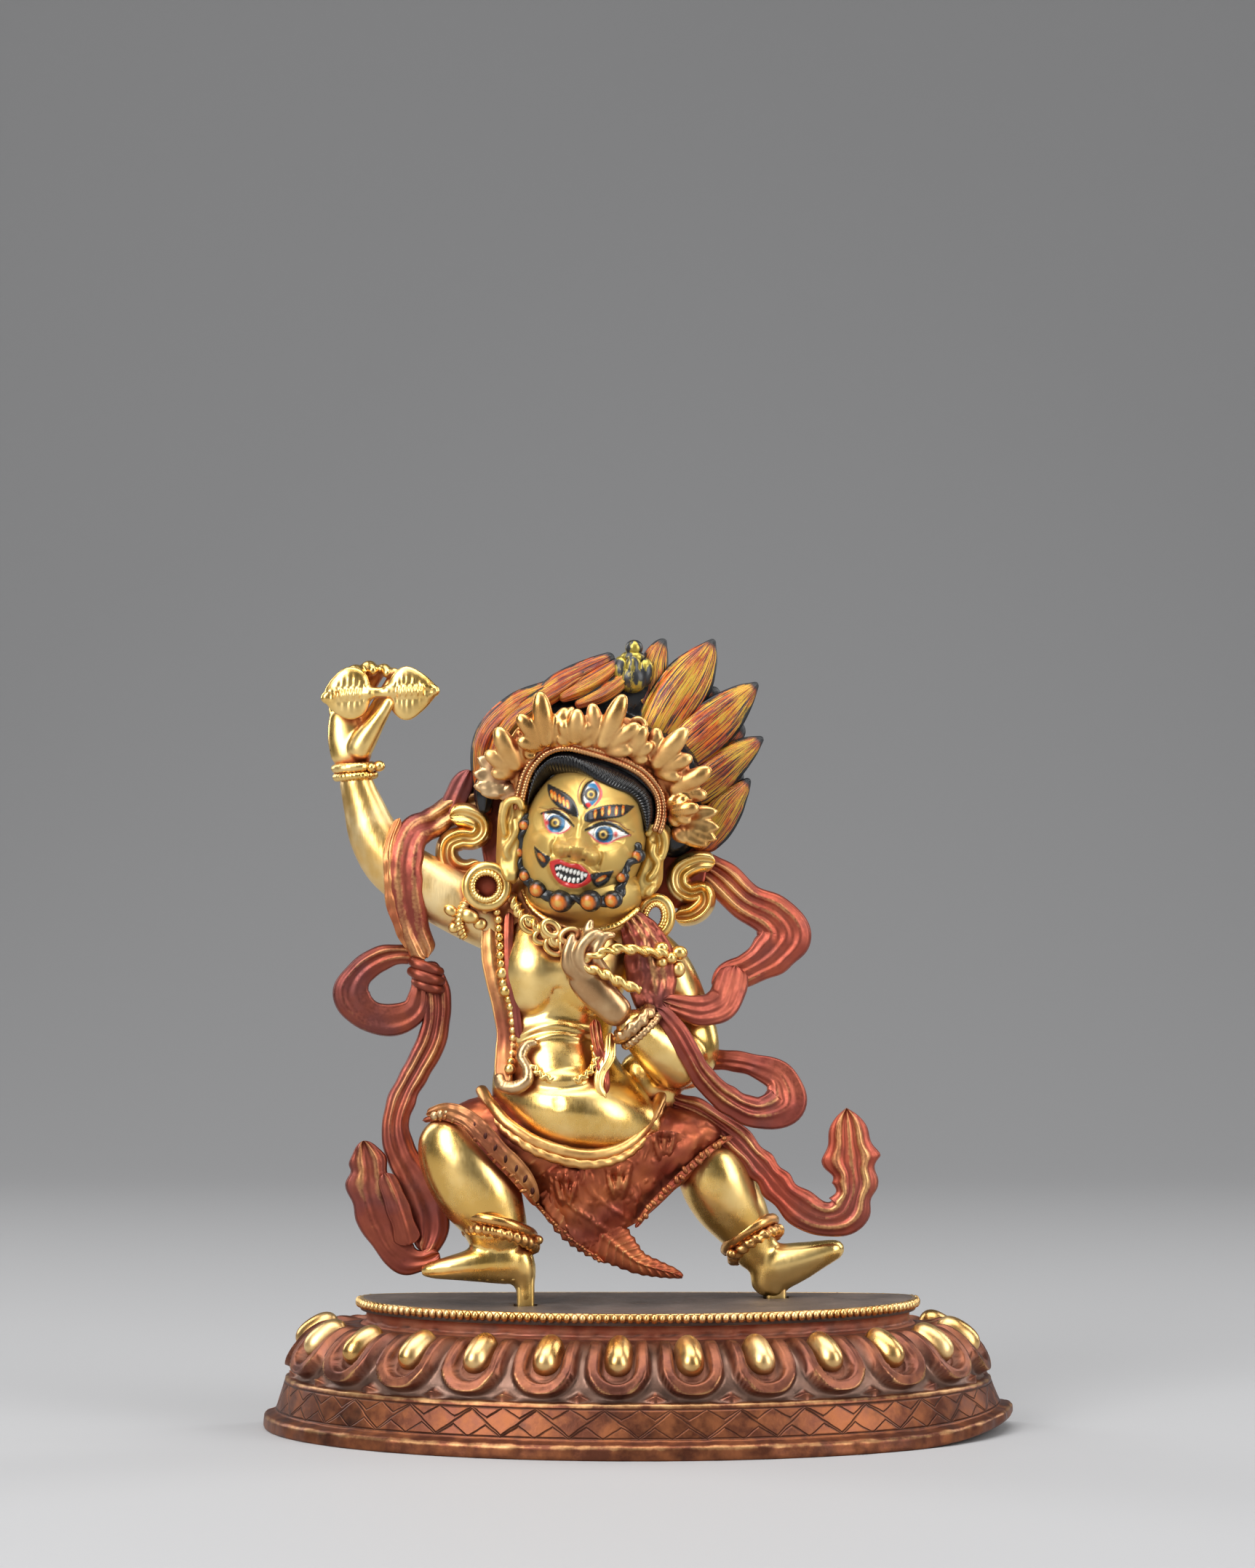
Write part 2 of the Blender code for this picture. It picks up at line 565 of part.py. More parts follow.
def make_left_arm(forms):
    """The arm across the chest, its hand, and the noose it holds."""
    tube(
        "left_upper_arm",
        [(-1.0, -0.5, 54, 4.2), (3.6, -0.5, 49.5, 4.4), (6.6, 0.0, 43.5, 4.2), (8.0, -0.5, 37.5, 4.4), (7.0, -2.0, 33.2, 3.6)],
        forms,
    )
    tube(
        "left_forearm",
        [(8.4, -1.5, 34.2, 3.4), (6.0, -3.6, 35.6, 4.4), (3.0, -6.6, 37.8, 4.0), (-1.2, -9.6, 41.4, 2.7), (-4.4, -11.0, 44.0, 2.4)],
        forms,
    )
    ring_about("left_bracelet", (-1.2, -10.2, 41.6), (2.9, 2.3), 1.0, -58, forms)
    blob("left_elbow", (6.4, -1.0, 34.6), (4.6, 4.4, 3.4), forms, tilt=14)
    blob("left_flank", (1.8, 1.5, 32.0), (4.2, 4.0, 5.6), forms, tilt=-38)
    blob("left_hand", (-6.8, -11.0, 46.6), (4.6, 1.9, 2.9), forms, tilt=38, segments=10, rings=8)
    fingers = [
        [(-8.6, -11.4, 47.6, 1.0), (-10.8, -12.4, 50.0, 1.1), (-10.4, -12.6, 52.4, 0.9), (-9.8, -12.4, 54.2, 0.6)],
        [(-7.0, -11.2, 48.6, 1.0), (-9.4, -13.2, 50.8, 1.0), (-8.6, -13.8, 53.0, 0.9), (-6.4, -13.4, 54.6, 0.7)],
        [(-6.0, -11.2, 52.0, 0.8), (-8.0, -12.6, 54.0, 1.0), (-7.2, -12.8, 56.4, 0.8), (-6.8, -12.6, 57.4, 0.5)],
        [(-4.4, -11.6, 49.0, 0.9), (-6.6, -12.8, 51.6, 0.9), (-5.0, -12.8, 54.8, 0.8), (-3.2, -12.0, 54.6, 0.6)],
    ]
    for k, finger in enumerate(fingers):
        tube(f"left_finger_{k}", finger, forms, resolution=1)
    tube(
        "noose_upper",
        [(-9.6, -12.0, 50.8, 0.8), (-5.5, -12.0, 51.8, 0.9), (-1.6, -10.4, 52.6, 0.9), (2.6, -7.6, 51.6, 0.8), (5.6, -5.0, 50.8, 1.0)],
        forms,
        resolution=1,
    )
    tube(
        "noose_lower",
        [(-9.6, -12.2, 50.0, 0.7), (-6.2, -12.4, 49.0, 0.8), (-2.8, -11.6, 47.4, 0.9), (0.6, -10.4, 46.0, 0.7)],
        forms,
        resolution=1,
    )
    blob("noose_hook_upper", (5.8, -4.6, 52.0), (1.7, 1.6, 1.6), forms, segments=8, rings=5)
    blob("noose_hook_lower", (6.0, -4.4, 49.4), (1.4, 1.5, 1.7), forms, segments=8, rings=5)
    tube(
        "neck_chain",
        [(-17.2, -4.8, 58.4, 0.7), (-15.0, -7.6, 55.4, 0.9), (-12.4, -9.2, 53.4, 1.1), (-10.6, -10.4, 51.6, 0.9)],
        forms,
        resolution=1,
    )


def make_legs(forms):
    """Both shins with their anklets, the feet and the tangs under the heels."""
    tube(
        "right_shin",
        [(-28.6, -5.0, 25.0, 3.0), (-28.2, -5.2, 22.6, 5.0), (-26.0, -5.4, 18.4, 6.2), (-23.6, -5.4, 14.2, 6.0), (-21.8, -5.4, 9.6, 4.8), (-20.8, -5.4, 6.4, 4.2)],
        forms,
        resolution=3,
    )
    ring_about("right_anklet", (-21.2, -5.4, 9.3), (5.6, 5.0), 1.0, -15, forms, count=14)
    ring_about("right_anklet_beads", (-20.8, -5.4, 7.8), (5.4, 4.8), 0.9, -15, forms, count=14)
    tube(
        "right_foot",
        [(-16.6, -5.4, 4.6, 1.4), (-18.6, -5.4, 4.6, 3.0), (-22.4, -5.8, 4.6, 3.0), (-26.6, -6.4, 3.9, 2.3), (-31.0, -7.2, 3.1, 1.5), (-33.4, -7.6, 2.7, 0.8)],
        forms,
    )
    tube(
        "left_shin",
        [(11.6, 4.0, 22.0, 2.6), (11.8, 4.2, 19.6, 4.8), (13.6, 4.8, 15.2, 5.0), (15.8, 5.4, 11.4, 4.4), (18.0, 6.0, 7.6, 3.5), (18.8, 6.0, 4.4, 2.8)],
        forms,
        resolution=3,
    )
    ring_about("left_anklet", (17.4, 5.8, 8.2), (4.1, 3.9), 0.85, 38, forms, count=14)
    ring_about("left_anklet_beads", (18.2, 5.8, 6.8), (4.1, 3.9), 0.85, 38, forms, count=14)
    tube(
        "left_foot",
        [(18.6, 6.0, 1.2, 1.0), (19.2, 6.0, 3.0, 2.6), (22.0, 5.8, 4.6, 2.9), (25.6, 5.4, 6.0, 2.1), (29.2, 5.0, 6.8, 1.4), (31.4, 4.8, 7.2, 0.8)],
        forms,
    )
    for name, (x, y, width), top in (("right_tang", RIGHT_TANG, 3.4), ("left_tang", LEFT_TANG, 3.0)):
        size, centre = tang_box(x, y, width, top)
        box(name, size, centre, forms)


def tang_box(x, y, width, top):
    """Size and middle of a tang that runs from the foot, top units up, to its depth under the deck."""
    head = at(x, y, top)
    low = BASE_HEIGHT - TANG_DEPTH
    size = Vector((width * UNIT, TANG_THICKNESS, head.z - low))
    return size, Vector((head.x, head.y, (head.z + low) / 2))


def box(name, size, centre, collection):
    bm = bmesh.new()
    matrix = Matrix.Translation(centre) @ Matrix.Diagonal((*size, 1))
    bmesh.ops.create_cube(bm, size=1, matrix=matrix)
    bmesh.ops.triangulate(bm, faces=bm.faces)
    return object_from(bm, name, collection)


def make_skirt(forms):
    """The tiger skin: a sleeve over each thigh, the belt, and the tail between the legs."""
    tube(
        "right_thigh_skin",
        [(-8.0, 0.5, 21.5, 6.6), (-15.0, -0.5, 23.0, 7.2), (-22.5, -2.4, 23.2, 6.6), (-28.0, -3.6, 24.6, 4.0)],
        forms,
        resolution=3,
    )
    tube(
        "left_thigh_skin",
        [(-5.0, 1.0, 21.0, 6.6), (1.0, 1.0, 22.0, 7.6), (7.0, 2.2, 22.0, 6.6), (11.8, 3.4, 21.6, 4.6)],
        forms,
        resolution=3,
    )
    plate(
        "skirt_tail",
        [
            (-19, 20), (-16.4, 14.2), (-12, 10), (-8, 6.8), (-4, 4.2), (0, 2.8), (4, 3.0), (6.6, 2.8),
            (5.2, 5.2), (2.4, 6.4), (0.3, 7.4), (0.0, 9.4), (1.2, 11.6), (4.0, 14.0), (7.6, 16.6), (9, 20), (-5, 22),
        ],
        -1.0,
        4.2,
        forms,
    )
    tube(
        "belt",
        [
            (-24.0, -1.0, 30.6, 0.9), (-20.6, -6.2, 26.0, 1.2), (-14.8, -9.4, 22.4, 1.2), (-8.0, -10.2, 20.9, 1.2),
            (-2.8, -9.0, 22.2, 1.2), (1.4, -6.0, 25.6, 1.2), (3.8, -1.0, 29.8, 0.9),
        ],
        forms,
        resolution=1,
        per_span=3,
    )


def make_vest(forms):
    """The long scarf edge and bead strings from the shoulder over the belly."""
    ribbon(
        "chest_scarf",
        [
            (-21.6, -3.6, 57.5, 3.2), (-22.2, -4.4, 52, 3.2), (-21.6, -4.6, 46, 3.2), (-20.6, -4.6, 40, 3.0),
            (-20.2, -6.4, 35, 3.6), (-19.2, -9.0, 32.4, 3.2),
        ],
        forms,
        thickness=2.4,
        folds=1,
    )
    tube(
        "scarf_curl",
        [(-20.6, -9.2, 32.0, 0.9), (-18.0, -10.2, 31.8, 0.9), (-16.6, -10.2, 33.8, 0.8), (-17.8, -9.4, 36.4, 0.8), (-15.4, -8.8, 37.8, 0.6)],
        forms,
        resolution=1,
    )
    tube(
        "belly_garland",
        [(-15.6, -9.6, 32.6, 0.7), (-12.0, -10.6, 32.0, 0.8), (-8.6, -10.2, 33.0, 0.8), (-6.8, -8.8, 35.8, 0.9), (-6.2, -7.2, 40.2, 1.0), (-8.4, -7.6, 43.6, 0.6)],
        forms,
        resolution=1,
    )
    ribbon(
        "shoulder_cloth",
        [(-1.0, -4.4, 57.0, 5.0), (0.8, -5.0, 52.0, 7.4), (0.6, -5.0, 47.0, 9.0), (1.4, -5.4, 43.4, 7.0), (3.0, -5.8, 40.6, 3.4)],
        forms,
        thickness=3.0,
        folds=1,
    )


def make_scarf(forms):
    """The long scarf: behind the head, over both arms, its bows and its tails."""
    ribbon(
        "scarf_behind_head",
        [(-29.0, 3.6, 73.8, 4.0), (-25.0, 3.8, 73.6, 8.0), (-18.0, 3.8, 71.0, 9.0), (-8.0, 3.8, 68.0, 9.0), (4.0, 3.8, 64.8, 9.0), (10.0, 3.6, 63.6, 6.4)],
        forms,
        thickness=2.6,
    )
    ribbon(
        "scarf_over_right_arm",
        [
            (-22.5, 3.0, 75.6, 4.0), (-27.5, 2.2, 74.0, 5.0), (-31.2, 0.5, 71.8, 4.6), (-34.2, -2.6, 70.0, 5.0), (-35.4, -4.2, 66.0, 5.4),
            (-35.2, -4.0, 61.0, 5.4), (-34.2, -2.4, 56.0, 4.8), (-32.4, -1.2, 51.6, 4.2), (-31.0, -0.8, 47.4, 4.0),
            (-30.6, -0.8, 43.0, 4.4), (-31.4, -1.0, 38.6, 4.4), (-33.6, -1.4, 34.2, 4.2), (-35.8, -2.0, 30.0, 4.2),
            (-36.9, -2.6, 25.6, 4.0), (-36.0, -3.2, 21.4, 4.4), (-33.8, -3.8, 17.4, 5.2), (-32.4, -4.0, 13.4, 5.6), (-32.6, -4.0, 10.0, 5.4),
        ],
        forms,
        thickness=2.4,
    )
    blob("scarf_knot", (-32.2, -1.6, 49.0), (2.9, 1.9, 2.8), forms, segments=10, rings=6)
    ribbon(
        "right_bow",
        [
            (-34.2, -0.8, 51.4, 2.6), (-38.4, -0.8, 51.4, 3.6), (-42.2, -0.8, 48.8, 4.6), (-43.4, -0.8, 45.6, 6.6),
            (-40.8, -0.8, 43.0, 5.0), (-37.0, -0.8, 42.4, 4.6), (-33.6, -0.8, 44.2, 4.6), (-33.6, -0.8, 48.4, 2.4),
        ],
        forms,
        thickness=2.2,
        closed=True,
        folds=1,
    )
    ribbon(
        "right_tail",
        [(-30.6, -4.4, 9.8, 3.4), (-32.0, -4.4, 6.8, 4.0), (-35.0, -4.4, 5.6, 4.4), (-37.8, -4.4, 7.6, 5.0), (-39.4, -4.4, 11.4, 6.0), (-40.8, -4.4, 15.6, 6.4), (-41.0, -4.4, 19.6, 5.8), (-41.8, -4.4, 23.4, 2.6)],
        forms,
        thickness=2.2,
    )
    ribbon(
        "tail_fold",
        [(-34.8, -4.6, 7.6, 4.0), (-35.8, -4.6, 11.0, 3.8), (-37.2, -4.6, 15.0, 3.4), (-38.6, -4.6, 18.4, 2.6)],
        forms,
        thickness=1.6,
        folds=1,
    )
    ribbon(
        "left_bow_of_neck",
        [
            (8.6, 3.2, 66.0, 3.4), (12.4, 3.2, 63.6, 5.4), (16.4, 3.0, 59.8, 6.0), (20.4, 2.8, 57.6, 6.6), (22.0, 2.8, 54.8, 7.6),
            (20.2, 2.6, 51.8, 6.6), (16.6, 2.4, 49.4, 5.2), (13.2, 2.2, 48.0, 4.0), (12.6, 1.8, 46.0, 4.6), (12.6, 1.2, 43.4, 5.2), (9.6, 0.6, 42.8, 4.0), (5.6, 0.0, 44.0, 3.2),
        ],
        forms,
        thickness=2.4,
    )
    ribbon(
        "scarf_over_left_arm",
        [
            (3.0, -8.6, 43.4, 2.4), (5.6, -9.2, 40.4, 3.4), (7.8, -8.6, 36.6, 3.4), (10.0, -7.0, 33.0, 3.6), (13.4, -4.4, 29.8, 4.2),
            (18.0, -2.6, 28.0, 4.6), (21.8, -1.4, 29.4, 5.6), (21.4, -0.6, 32.8, 4.8), (17.8, 0.0, 34.8, 3.6), (14.0, 0.8, 35.6, 3.2), (9.6, 1.6, 35.8, 3.2),
        ],
        forms,
        thickness=2.2,
    )
    ribbon(
        "left_tail",
        [
            (3.4, 1.0, 29.6, 3.6), (9.0, 0.6, 27.6, 4.2), (14.4, 1.2, 24.0, 4.4), (18.8, 1.8, 19.4, 4.6), (22.8, 2.2, 14.8, 5.2), (27.4, 2.8, 12.0, 5.2),
            (31.6, 2.8, 12.6, 5.6), (33.0, 2.8, 16.4, 6.4), (32.4, 2.8, 20.6, 7.8), (32.0, 2.8, 24.6, 6.2), (31.7, 2.8, 28.4, 0.8),
        ],
        forms,
        thickness=2.2,
    )
    ribbon(
        "right_streamer",
        [(-22.0, 0.6, 73.6, 2.6), (-25.6, 0.4, 72.6, 2.4), (-25.4, 0.4, 70.2, 2.2), (-27.8, 0.4, 68.4, 2.2), (-26.6, 0.4, 66.0, 2.2), (-23.4, 0.6, 66.6, 2.4)],
        forms,
        thickness=3.4,
        folds=1,
    )
    ribbon(
        "left_streamer",
        [(10.8, 1.2, 65.6, 1.8), (8.4, 0.8, 65.4, 2.4), (6.8, 0.6, 63.4, 2.4), (8.6, 0.6, 61.2, 2.4), (7.4, 0.8, 58.8, 2.4), (4.4, 1.0, 59.6, 2.6)],
        forms,
        thickness=3.4,
        folds=1,
    )


def make_figure(into, finish):
    forms = new_collection("figure_forms")
    make_trunk(forms)
    make_head(forms)
    make_hair(forms)
    make_crown(forms)
    make_right_arm(forms)
    make_left_arm(forms)
    make_legs(forms)
    make_skirt(forms)
    make_vest(forms)
    make_scarf(forms)
    return cast_whole("figure", forms, into, finish)


def plan_point(offset, angle):
    """The base's plan, offset from the deck's edge: half an ellipse in front, and a flat back."""
    c, s = math.cos(angle), math.sin(angle)
    if s <= 0:
        return Vector(((DECK_HALF + offset) * c, WIDEST_Y + (DECK_FRONT + offset) * s, 0))
    power = 2 / BACK_SQUARENESS
    back = DECK_BACK + offset * BACK_SHARE
    x = (DECK_HALF + offset) * math.copysign(abs(c) ** power, c)
    return Vector((x, WIDEST_Y + back * s**power, 0))


def curl(x):
    """How far the foot's right end is bent up at this x."""
    reach = DECK_HALF + FOOT_REACH
    share = max(0.0, (x / reach - CURL_START) / (1 - CURL_START))
    return CURL_HEIGHT * share**2


def outline_runs():
    """The plan angle at each of many places along the petals' middle line, from the front's middle."""
    fine = 2400
    angles = [-math.pi / 2 + 2 * math.pi * k / fine for k in range(fine + 1)]
    points = [plan_point(PETAL_REACH / 2, a) for a in angles]
    run = np.cumsum([0.0] + [(b - a).length for a, b in zip(points, points[1:])])
    return np.array(angles), run


def petal_stations():
    """Angle of each sweep station, and the shares of the boss's and the lobe's rise that it has."""
    angles, run = outline_runs()
    around = run[-1]
    stations = []
    first = (PETAL_SHIFT - (PETAL_COUNT - 1) / 2) * PETAL_PITCH
    steps = [(-0.5, 0.0, 0.0), (-LOBE_SHARE / 2, 0.0, 0.7), (-BOSS_SHARE / 2, 0.1, 1.0), (-BOSS_SHARE / 4, 0.85, 1.0)]
    steps += [(BOSS_SHARE / 4, 0.85, 1.0), (BOSS_SHARE / 2, 0.1, 1.0), (LOBE_SHARE / 2, 0.0, 0.7)]
    for k in range(PETAL_COUNT):
        for across, boss, lobe in steps:
            stations.append((first + (k + across) * PETAL_PITCH, boss, lobe))
    last = first + (PETAL_COUNT - 0.5) * PETAL_PITCH
    plain = around - PETAL_COUNT * PETAL_PITCH
    for k in range(BACK_STATIONS):
        stations.append((last + plain * k / BACK_STATIONS, 0.0, 0.0))
    placed = []
    for along, boss, lobe in stations:
        placed.append((float(np.interp(along % around, run, angles)), boss, lobe))
    return placed


def make_base_body(collection):
    """The profile carried round the plan, from the foot up to the deck, with its petals raised."""
    rim = BASE_HEIGHT - BEAD_RIM_HEIGHT
    profile = [
        (FOOT_REACH, 0.0, 0.0, 0.0),
        (FOOT_REACH, FOOT_HEIGHT, 0.0, 0.0),
        (BAND_REACH, BAND_FOOT_HEIGHT, 0.0, 0.0),
        (LEDGE_REACH, LEDGE_HEIGHT, 0.0, 0.0),
        *PETAL_RELIEF,
        (-NECK_INSET, NECK_HEIGHT + 0.0002, 0.0, 0.0),
        (-NECK_INSET, rim - 0.0004, 0.0, 0.0),
        (0.0, rim, 0.0, 0.0),
        (0.0003, rim + BEAD_RIM_HEIGHT / 2, 0.0, 0.0),
        (0.0, BASE_HEIGHT, 0.0, 0.0),
    ]
    stations = petal_stations()
    rings = []
    for k, (reach, height, boss, lobe) in enumerate(profile):
        before = profile[max(k - 1, 0)]
        after = profile[min(k + 1, len(profile) - 1)]
        run = Vector((after[0] - before[0], after[1] - before[1])).normalized()
        ring_points = []
        for angle, boss_share, lobe_share in stations:
            rise = max(boss * boss_share, lobe * lobe_share)
            p = plan_point(reach + rise * run.y, angle)
            p.z = height - rise * run.x
            p.z += curl(p.x) * max(0.0, 1 - height / LEDGE_HEIGHT)
            ring_points.append(p)
        rings.append(ring_points)
    return loft("lotus_base", rings, collection)


def make_base(into, finish):
    """The lotus base, with a slot in its deck for each tang."""
    base = make_base_body(into)
    base.data.materials.append(finish)
    cutters = new_collection("base_cutters")
    for name, (x, y, width) in (("right_slot", RIGHT_TANG), ("left_slot", LEFT_TANG)):
        size, centre = tang_box(x, y, width, 3.0)
        size += Vector((2, 2, 0)) * SLOT_CLEARANCE
        centre.z -= SLOT_CLEARANCE
        cutter = box(name, size, centre, cutters)
        cutter.hide_render = True
        cutter.display_type = "WIRE"
        cut = base.modifiers.new(name, "BOOLEAN")
        cut.operation = "DIFFERENCE"
        cut.object = cutter
    return base


def main():
    clear_scene()
    statue = new_collection("vajrapani_statue")
    gold = material("fire gilt copper", (0.80, 0.53, 0.16), 0.28)
    copper = material("oxidised copper", (0.42, 0.17, 0.09), 0.45)
    make_figure(statue, gold)
    make_base(statue, copper)


main()
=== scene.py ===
import math

import bmesh
import bpy
import numpy as np
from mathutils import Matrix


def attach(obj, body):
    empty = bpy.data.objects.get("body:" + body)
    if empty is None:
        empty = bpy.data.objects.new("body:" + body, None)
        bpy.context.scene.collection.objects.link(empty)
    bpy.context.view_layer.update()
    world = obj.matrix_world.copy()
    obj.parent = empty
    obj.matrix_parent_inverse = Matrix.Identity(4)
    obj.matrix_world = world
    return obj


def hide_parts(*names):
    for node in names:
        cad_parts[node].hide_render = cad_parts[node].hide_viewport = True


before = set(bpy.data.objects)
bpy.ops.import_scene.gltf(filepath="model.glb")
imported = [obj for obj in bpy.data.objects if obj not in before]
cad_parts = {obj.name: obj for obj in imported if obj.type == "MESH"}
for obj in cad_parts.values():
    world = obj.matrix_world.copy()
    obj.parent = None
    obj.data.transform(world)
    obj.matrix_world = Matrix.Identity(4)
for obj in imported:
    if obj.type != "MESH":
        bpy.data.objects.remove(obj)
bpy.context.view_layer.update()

# The figure is given in hundredths of its height, as the eye sees it: x to the right, z up from
# the soles, and y the depth behind the figure's plane. The base is given in metres.
stance = {"unit": 0.00096, "eyeDistance": 0.700, "eyeHeight": 0.0746, "eyeSide": -0.0016,
          "planeY": 0.007176, "soleZ": 0.02002, "deckTop": 0.0193}
towardEye = np.array([0.0, -1.0, 0.0])
turn = 2 * math.pi
made = []


def place(p):  # figure hundredths to metres: a point slides out along its line of sight with depth
    p = np.asarray(p, float)
    u = stance["unit"]
    far = 1 + p[..., 1] * u / stance["eyeDistance"]
    x = stance["eyeSide"] + (p[..., 0] * u - stance["eyeSide"]) * far
    y = stance["planeY"] + p[..., 1] * u
    z = stance["soleZ"] + stance["eyeHeight"] + (p[..., 2] * u - stance["eyeHeight"]) * far
    return np.stack((x, y, z), -1)


def through(rows, steps, closed=False):
    # Catmull-Rom: each span blends its four nearest stations as a cubic
    r = np.asarray(rows, float)
    n = len(r)
    t = np.linspace(0, n if closed else n - 1, steps, endpoint=not closed)
    i = np.minimum(t.astype(int), n - 1 if closed else n - 2)
    f = (t - i)[:, None]
    near = [r[(i + k) % n] if closed else r[np.clip(i + k, 0, n - 1)] for k in (-1, 0, 1, 2)]
    a, b, c, d = near
    return 0.5 * (2 * b + (c - a) * f + (2 * a - 5 * b + 4 * c - d) * f**2 + (3 * b - a - 3 * c + d) * f**3)


def travelled(path):  # the distance run along a line of points, from its first one
    return np.concatenate([[0], np.cumsum(np.linalg.norm(np.diff(path, axis=0), axis=1))])


def spaced(rows, count):  # a polyline's points at equal distances along it
    rows = np.asarray(rows, float)
    run = travelled(rows[:, :3])
    want = np.linspace(0, run[-1], count)
    return np.stack([np.interp(want, run, column) for column in rows.T], 1)


def evenly(rows, count):  # the same for the curve through the stations
    return spaced(through(rows, count * 8), count)


def unit(v):
    return v / np.maximum(np.linalg.norm(v, axis=-1, keepdims=True), 1e-9)


def heading(path, closed=False):  # central differences, made unit length
    if closed:
        return unit(np.roll(path, -1, 0) - np.roll(path, 1, 0))
    return unit(np.gradient(path, axis=0))


def bell(x, centre, width):  # exp of minus the squared distance over the squared width
    return np.exp(-(((x - centre) / width) ** 2))


def ease(x, low, high):  # 0 below low, 1 above high, a smooth cubic between
    t = np.clip((x - low) / (high - low), 0, 1)
    return t * t * (3 - 2 * t)


def wobble(p, size, seed=0):  # a soft lumpy field: twice the mean of nine sine waves in seeded directions
    rng = np.random.default_rng(seed)
    waves, cycle = 9, 6.283
    way = unit(rng.normal(size=(waves, np.shape(p)[-1]))) * rng.uniform(0.6, 1.6, (waves, 1)) / size
    return np.sin(np.asarray(p) @ way.T * cycle + rng.uniform(0, cycle, waves)).mean(-1) * 2


def gridFaces(rows, cols, wrapRows, wrapCols):
    i = np.arange(rows if wrapRows else rows - 1)[:, None]
    j = np.arange(cols if wrapCols else cols - 1)[None, :]
    ni, nj = (i + 1) % rows, (j + 1) % cols
    return np.stack([i * cols + j, i * cols + nj, ni * cols + nj, ni * cols + j], -1).reshape(-1, 4)


def setMark(mesh, name, values):  # a named number or colour at each point of a mesh
    count = len(mesh.vertices)
    if np.ndim(values) == 2:
        colours = np.concatenate([values, np.ones((count, 1))], 1).astype(np.float32)
        mesh.attributes.new(name, "FLOAT_COLOR", "POINT").data.foreach_set("color", colours.ravel())
        return mesh
    if name not in mesh.attributes:
        mesh.attributes.new(name, "FLOAT", "POINT")
    mesh.attributes[name].data.foreach_set("value", (values + np.zeros(count)).astype(np.float32))
    return mesh


def pointsOf(mesh, key="co"):  # the points of a mesh, or their normals, as rows of x, y and z
    values = np.empty(len(mesh.vertices) * 3, np.float32)
    mesh.vertices.foreach_get(key, values)
    return values.reshape(-1, 3).astype(float)


def meshOf(name, points, quads, tris, marks):  # points, faces and marks go in as whole arrays
    mesh = bpy.data.meshes.new(name)
    quads, tris = np.asarray(quads, int).reshape(-1, 4), np.asarray(tris, int).reshape(-1, 3)
    loops = np.concatenate([quads.ravel(), tris.ravel()]).astype(np.int32)
    sizes = np.concatenate([np.full(len(quads), 4), np.full(len(tris), 3)])
    starts = np.concatenate([[0], np.cumsum(sizes)[:-1]]).astype(np.int32)
    mesh.vertices.add(len(points))
    mesh.vertices.foreach_set("co", np.asarray(points, np.float32).ravel())
    mesh.loops.add(len(loops))
    mesh.loops.foreach_set("vertex_index", loops)
    mesh.polygons.add(len(sizes))
    mesh.polygons.foreach_set("loop_start", starts)
    mesh.update(calc_edges=True)
    for key, values in marks.items():
        setMark(mesh, key, values)
    bm = bmesh.new()
    bm.from_mesh(mesh)
    bmesh.ops.recalc_face_normals(bm, faces=bm.faces)
    bm.to_mesh(mesh)
    bm.free()
    mesh.shade_smooth()
    return mesh


def tubeMesh(name, grid, closed=False, marks=None, metres=False):
    # rings of points, its ends closed by a fan
    rows, cols = grid.shape[:2]
    points = grid.reshape(-1, 3)
    marks = {key: np.asarray(m, float).reshape(rows * cols, *np.shape(m)[2:])
             for key, m in (marks or {}).items()}
    tris = []
    if not closed:
        j = np.arange(cols)
        last, top = (rows - 1) * cols, rows * cols
        points = np.concatenate([points, [grid[0].mean(0), grid[-1].mean(0)]])
        tris = np.concatenate([np.stack([(j + 1) % cols, j, np.full(cols, top)], -1),
                               np.stack([last + j, last + (j + 1) % cols, np.full(cols, top + 1)], -1)])
        marks = {key: np.concatenate([m, m[:cols].mean(0)[None], m[-cols:].mean(0)[None]])
                 for key, m in marks.items()}
    points = points if metres else place(points)
    return meshOf(name, points, gridFaces(rows, cols, closed, True), tris, marks)


def slabMesh(name, front, back, marks=None):  # two sheets of points, joined along their four edges
    rows, cols = front.shape[:2]
    n = rows * cols
    points = np.concatenate([front.reshape(-1, 3), back.reshape(-1, 3)])
    sheet = gridFaces(rows, cols, False, False)
    index = np.arange(n).reshape(rows, cols)
    rim = np.concatenate([index[0, :-1], index[:-1, -1], index[-1, :0:-1], index[:0:-1, 0]])
    following = np.roll(rim, -1)
    walls = np.stack([rim, following, following + n, rim + n], -1)
    marks = {key: np.concatenate([np.asarray(m, float).reshape(n, *np.shape(m)[2:])] * 2)
             for key, m in (marks or {}).items()}
    return meshOf(name, place(points), np.concatenate([sheet, sheet[:, ::-1] + n, walls]), [], marks)


def gather(name, meshes):  # one mesh from several
    bm = bmesh.new()
    for mesh in meshes:
        bm.from_mesh(mesh)
        bpy.data.meshes.remove(mesh)
    whole = bpy.data.meshes.new(name)
    bm.to_mesh(whole)
    bm.free()
    whole.shade_smooth()
    return whole


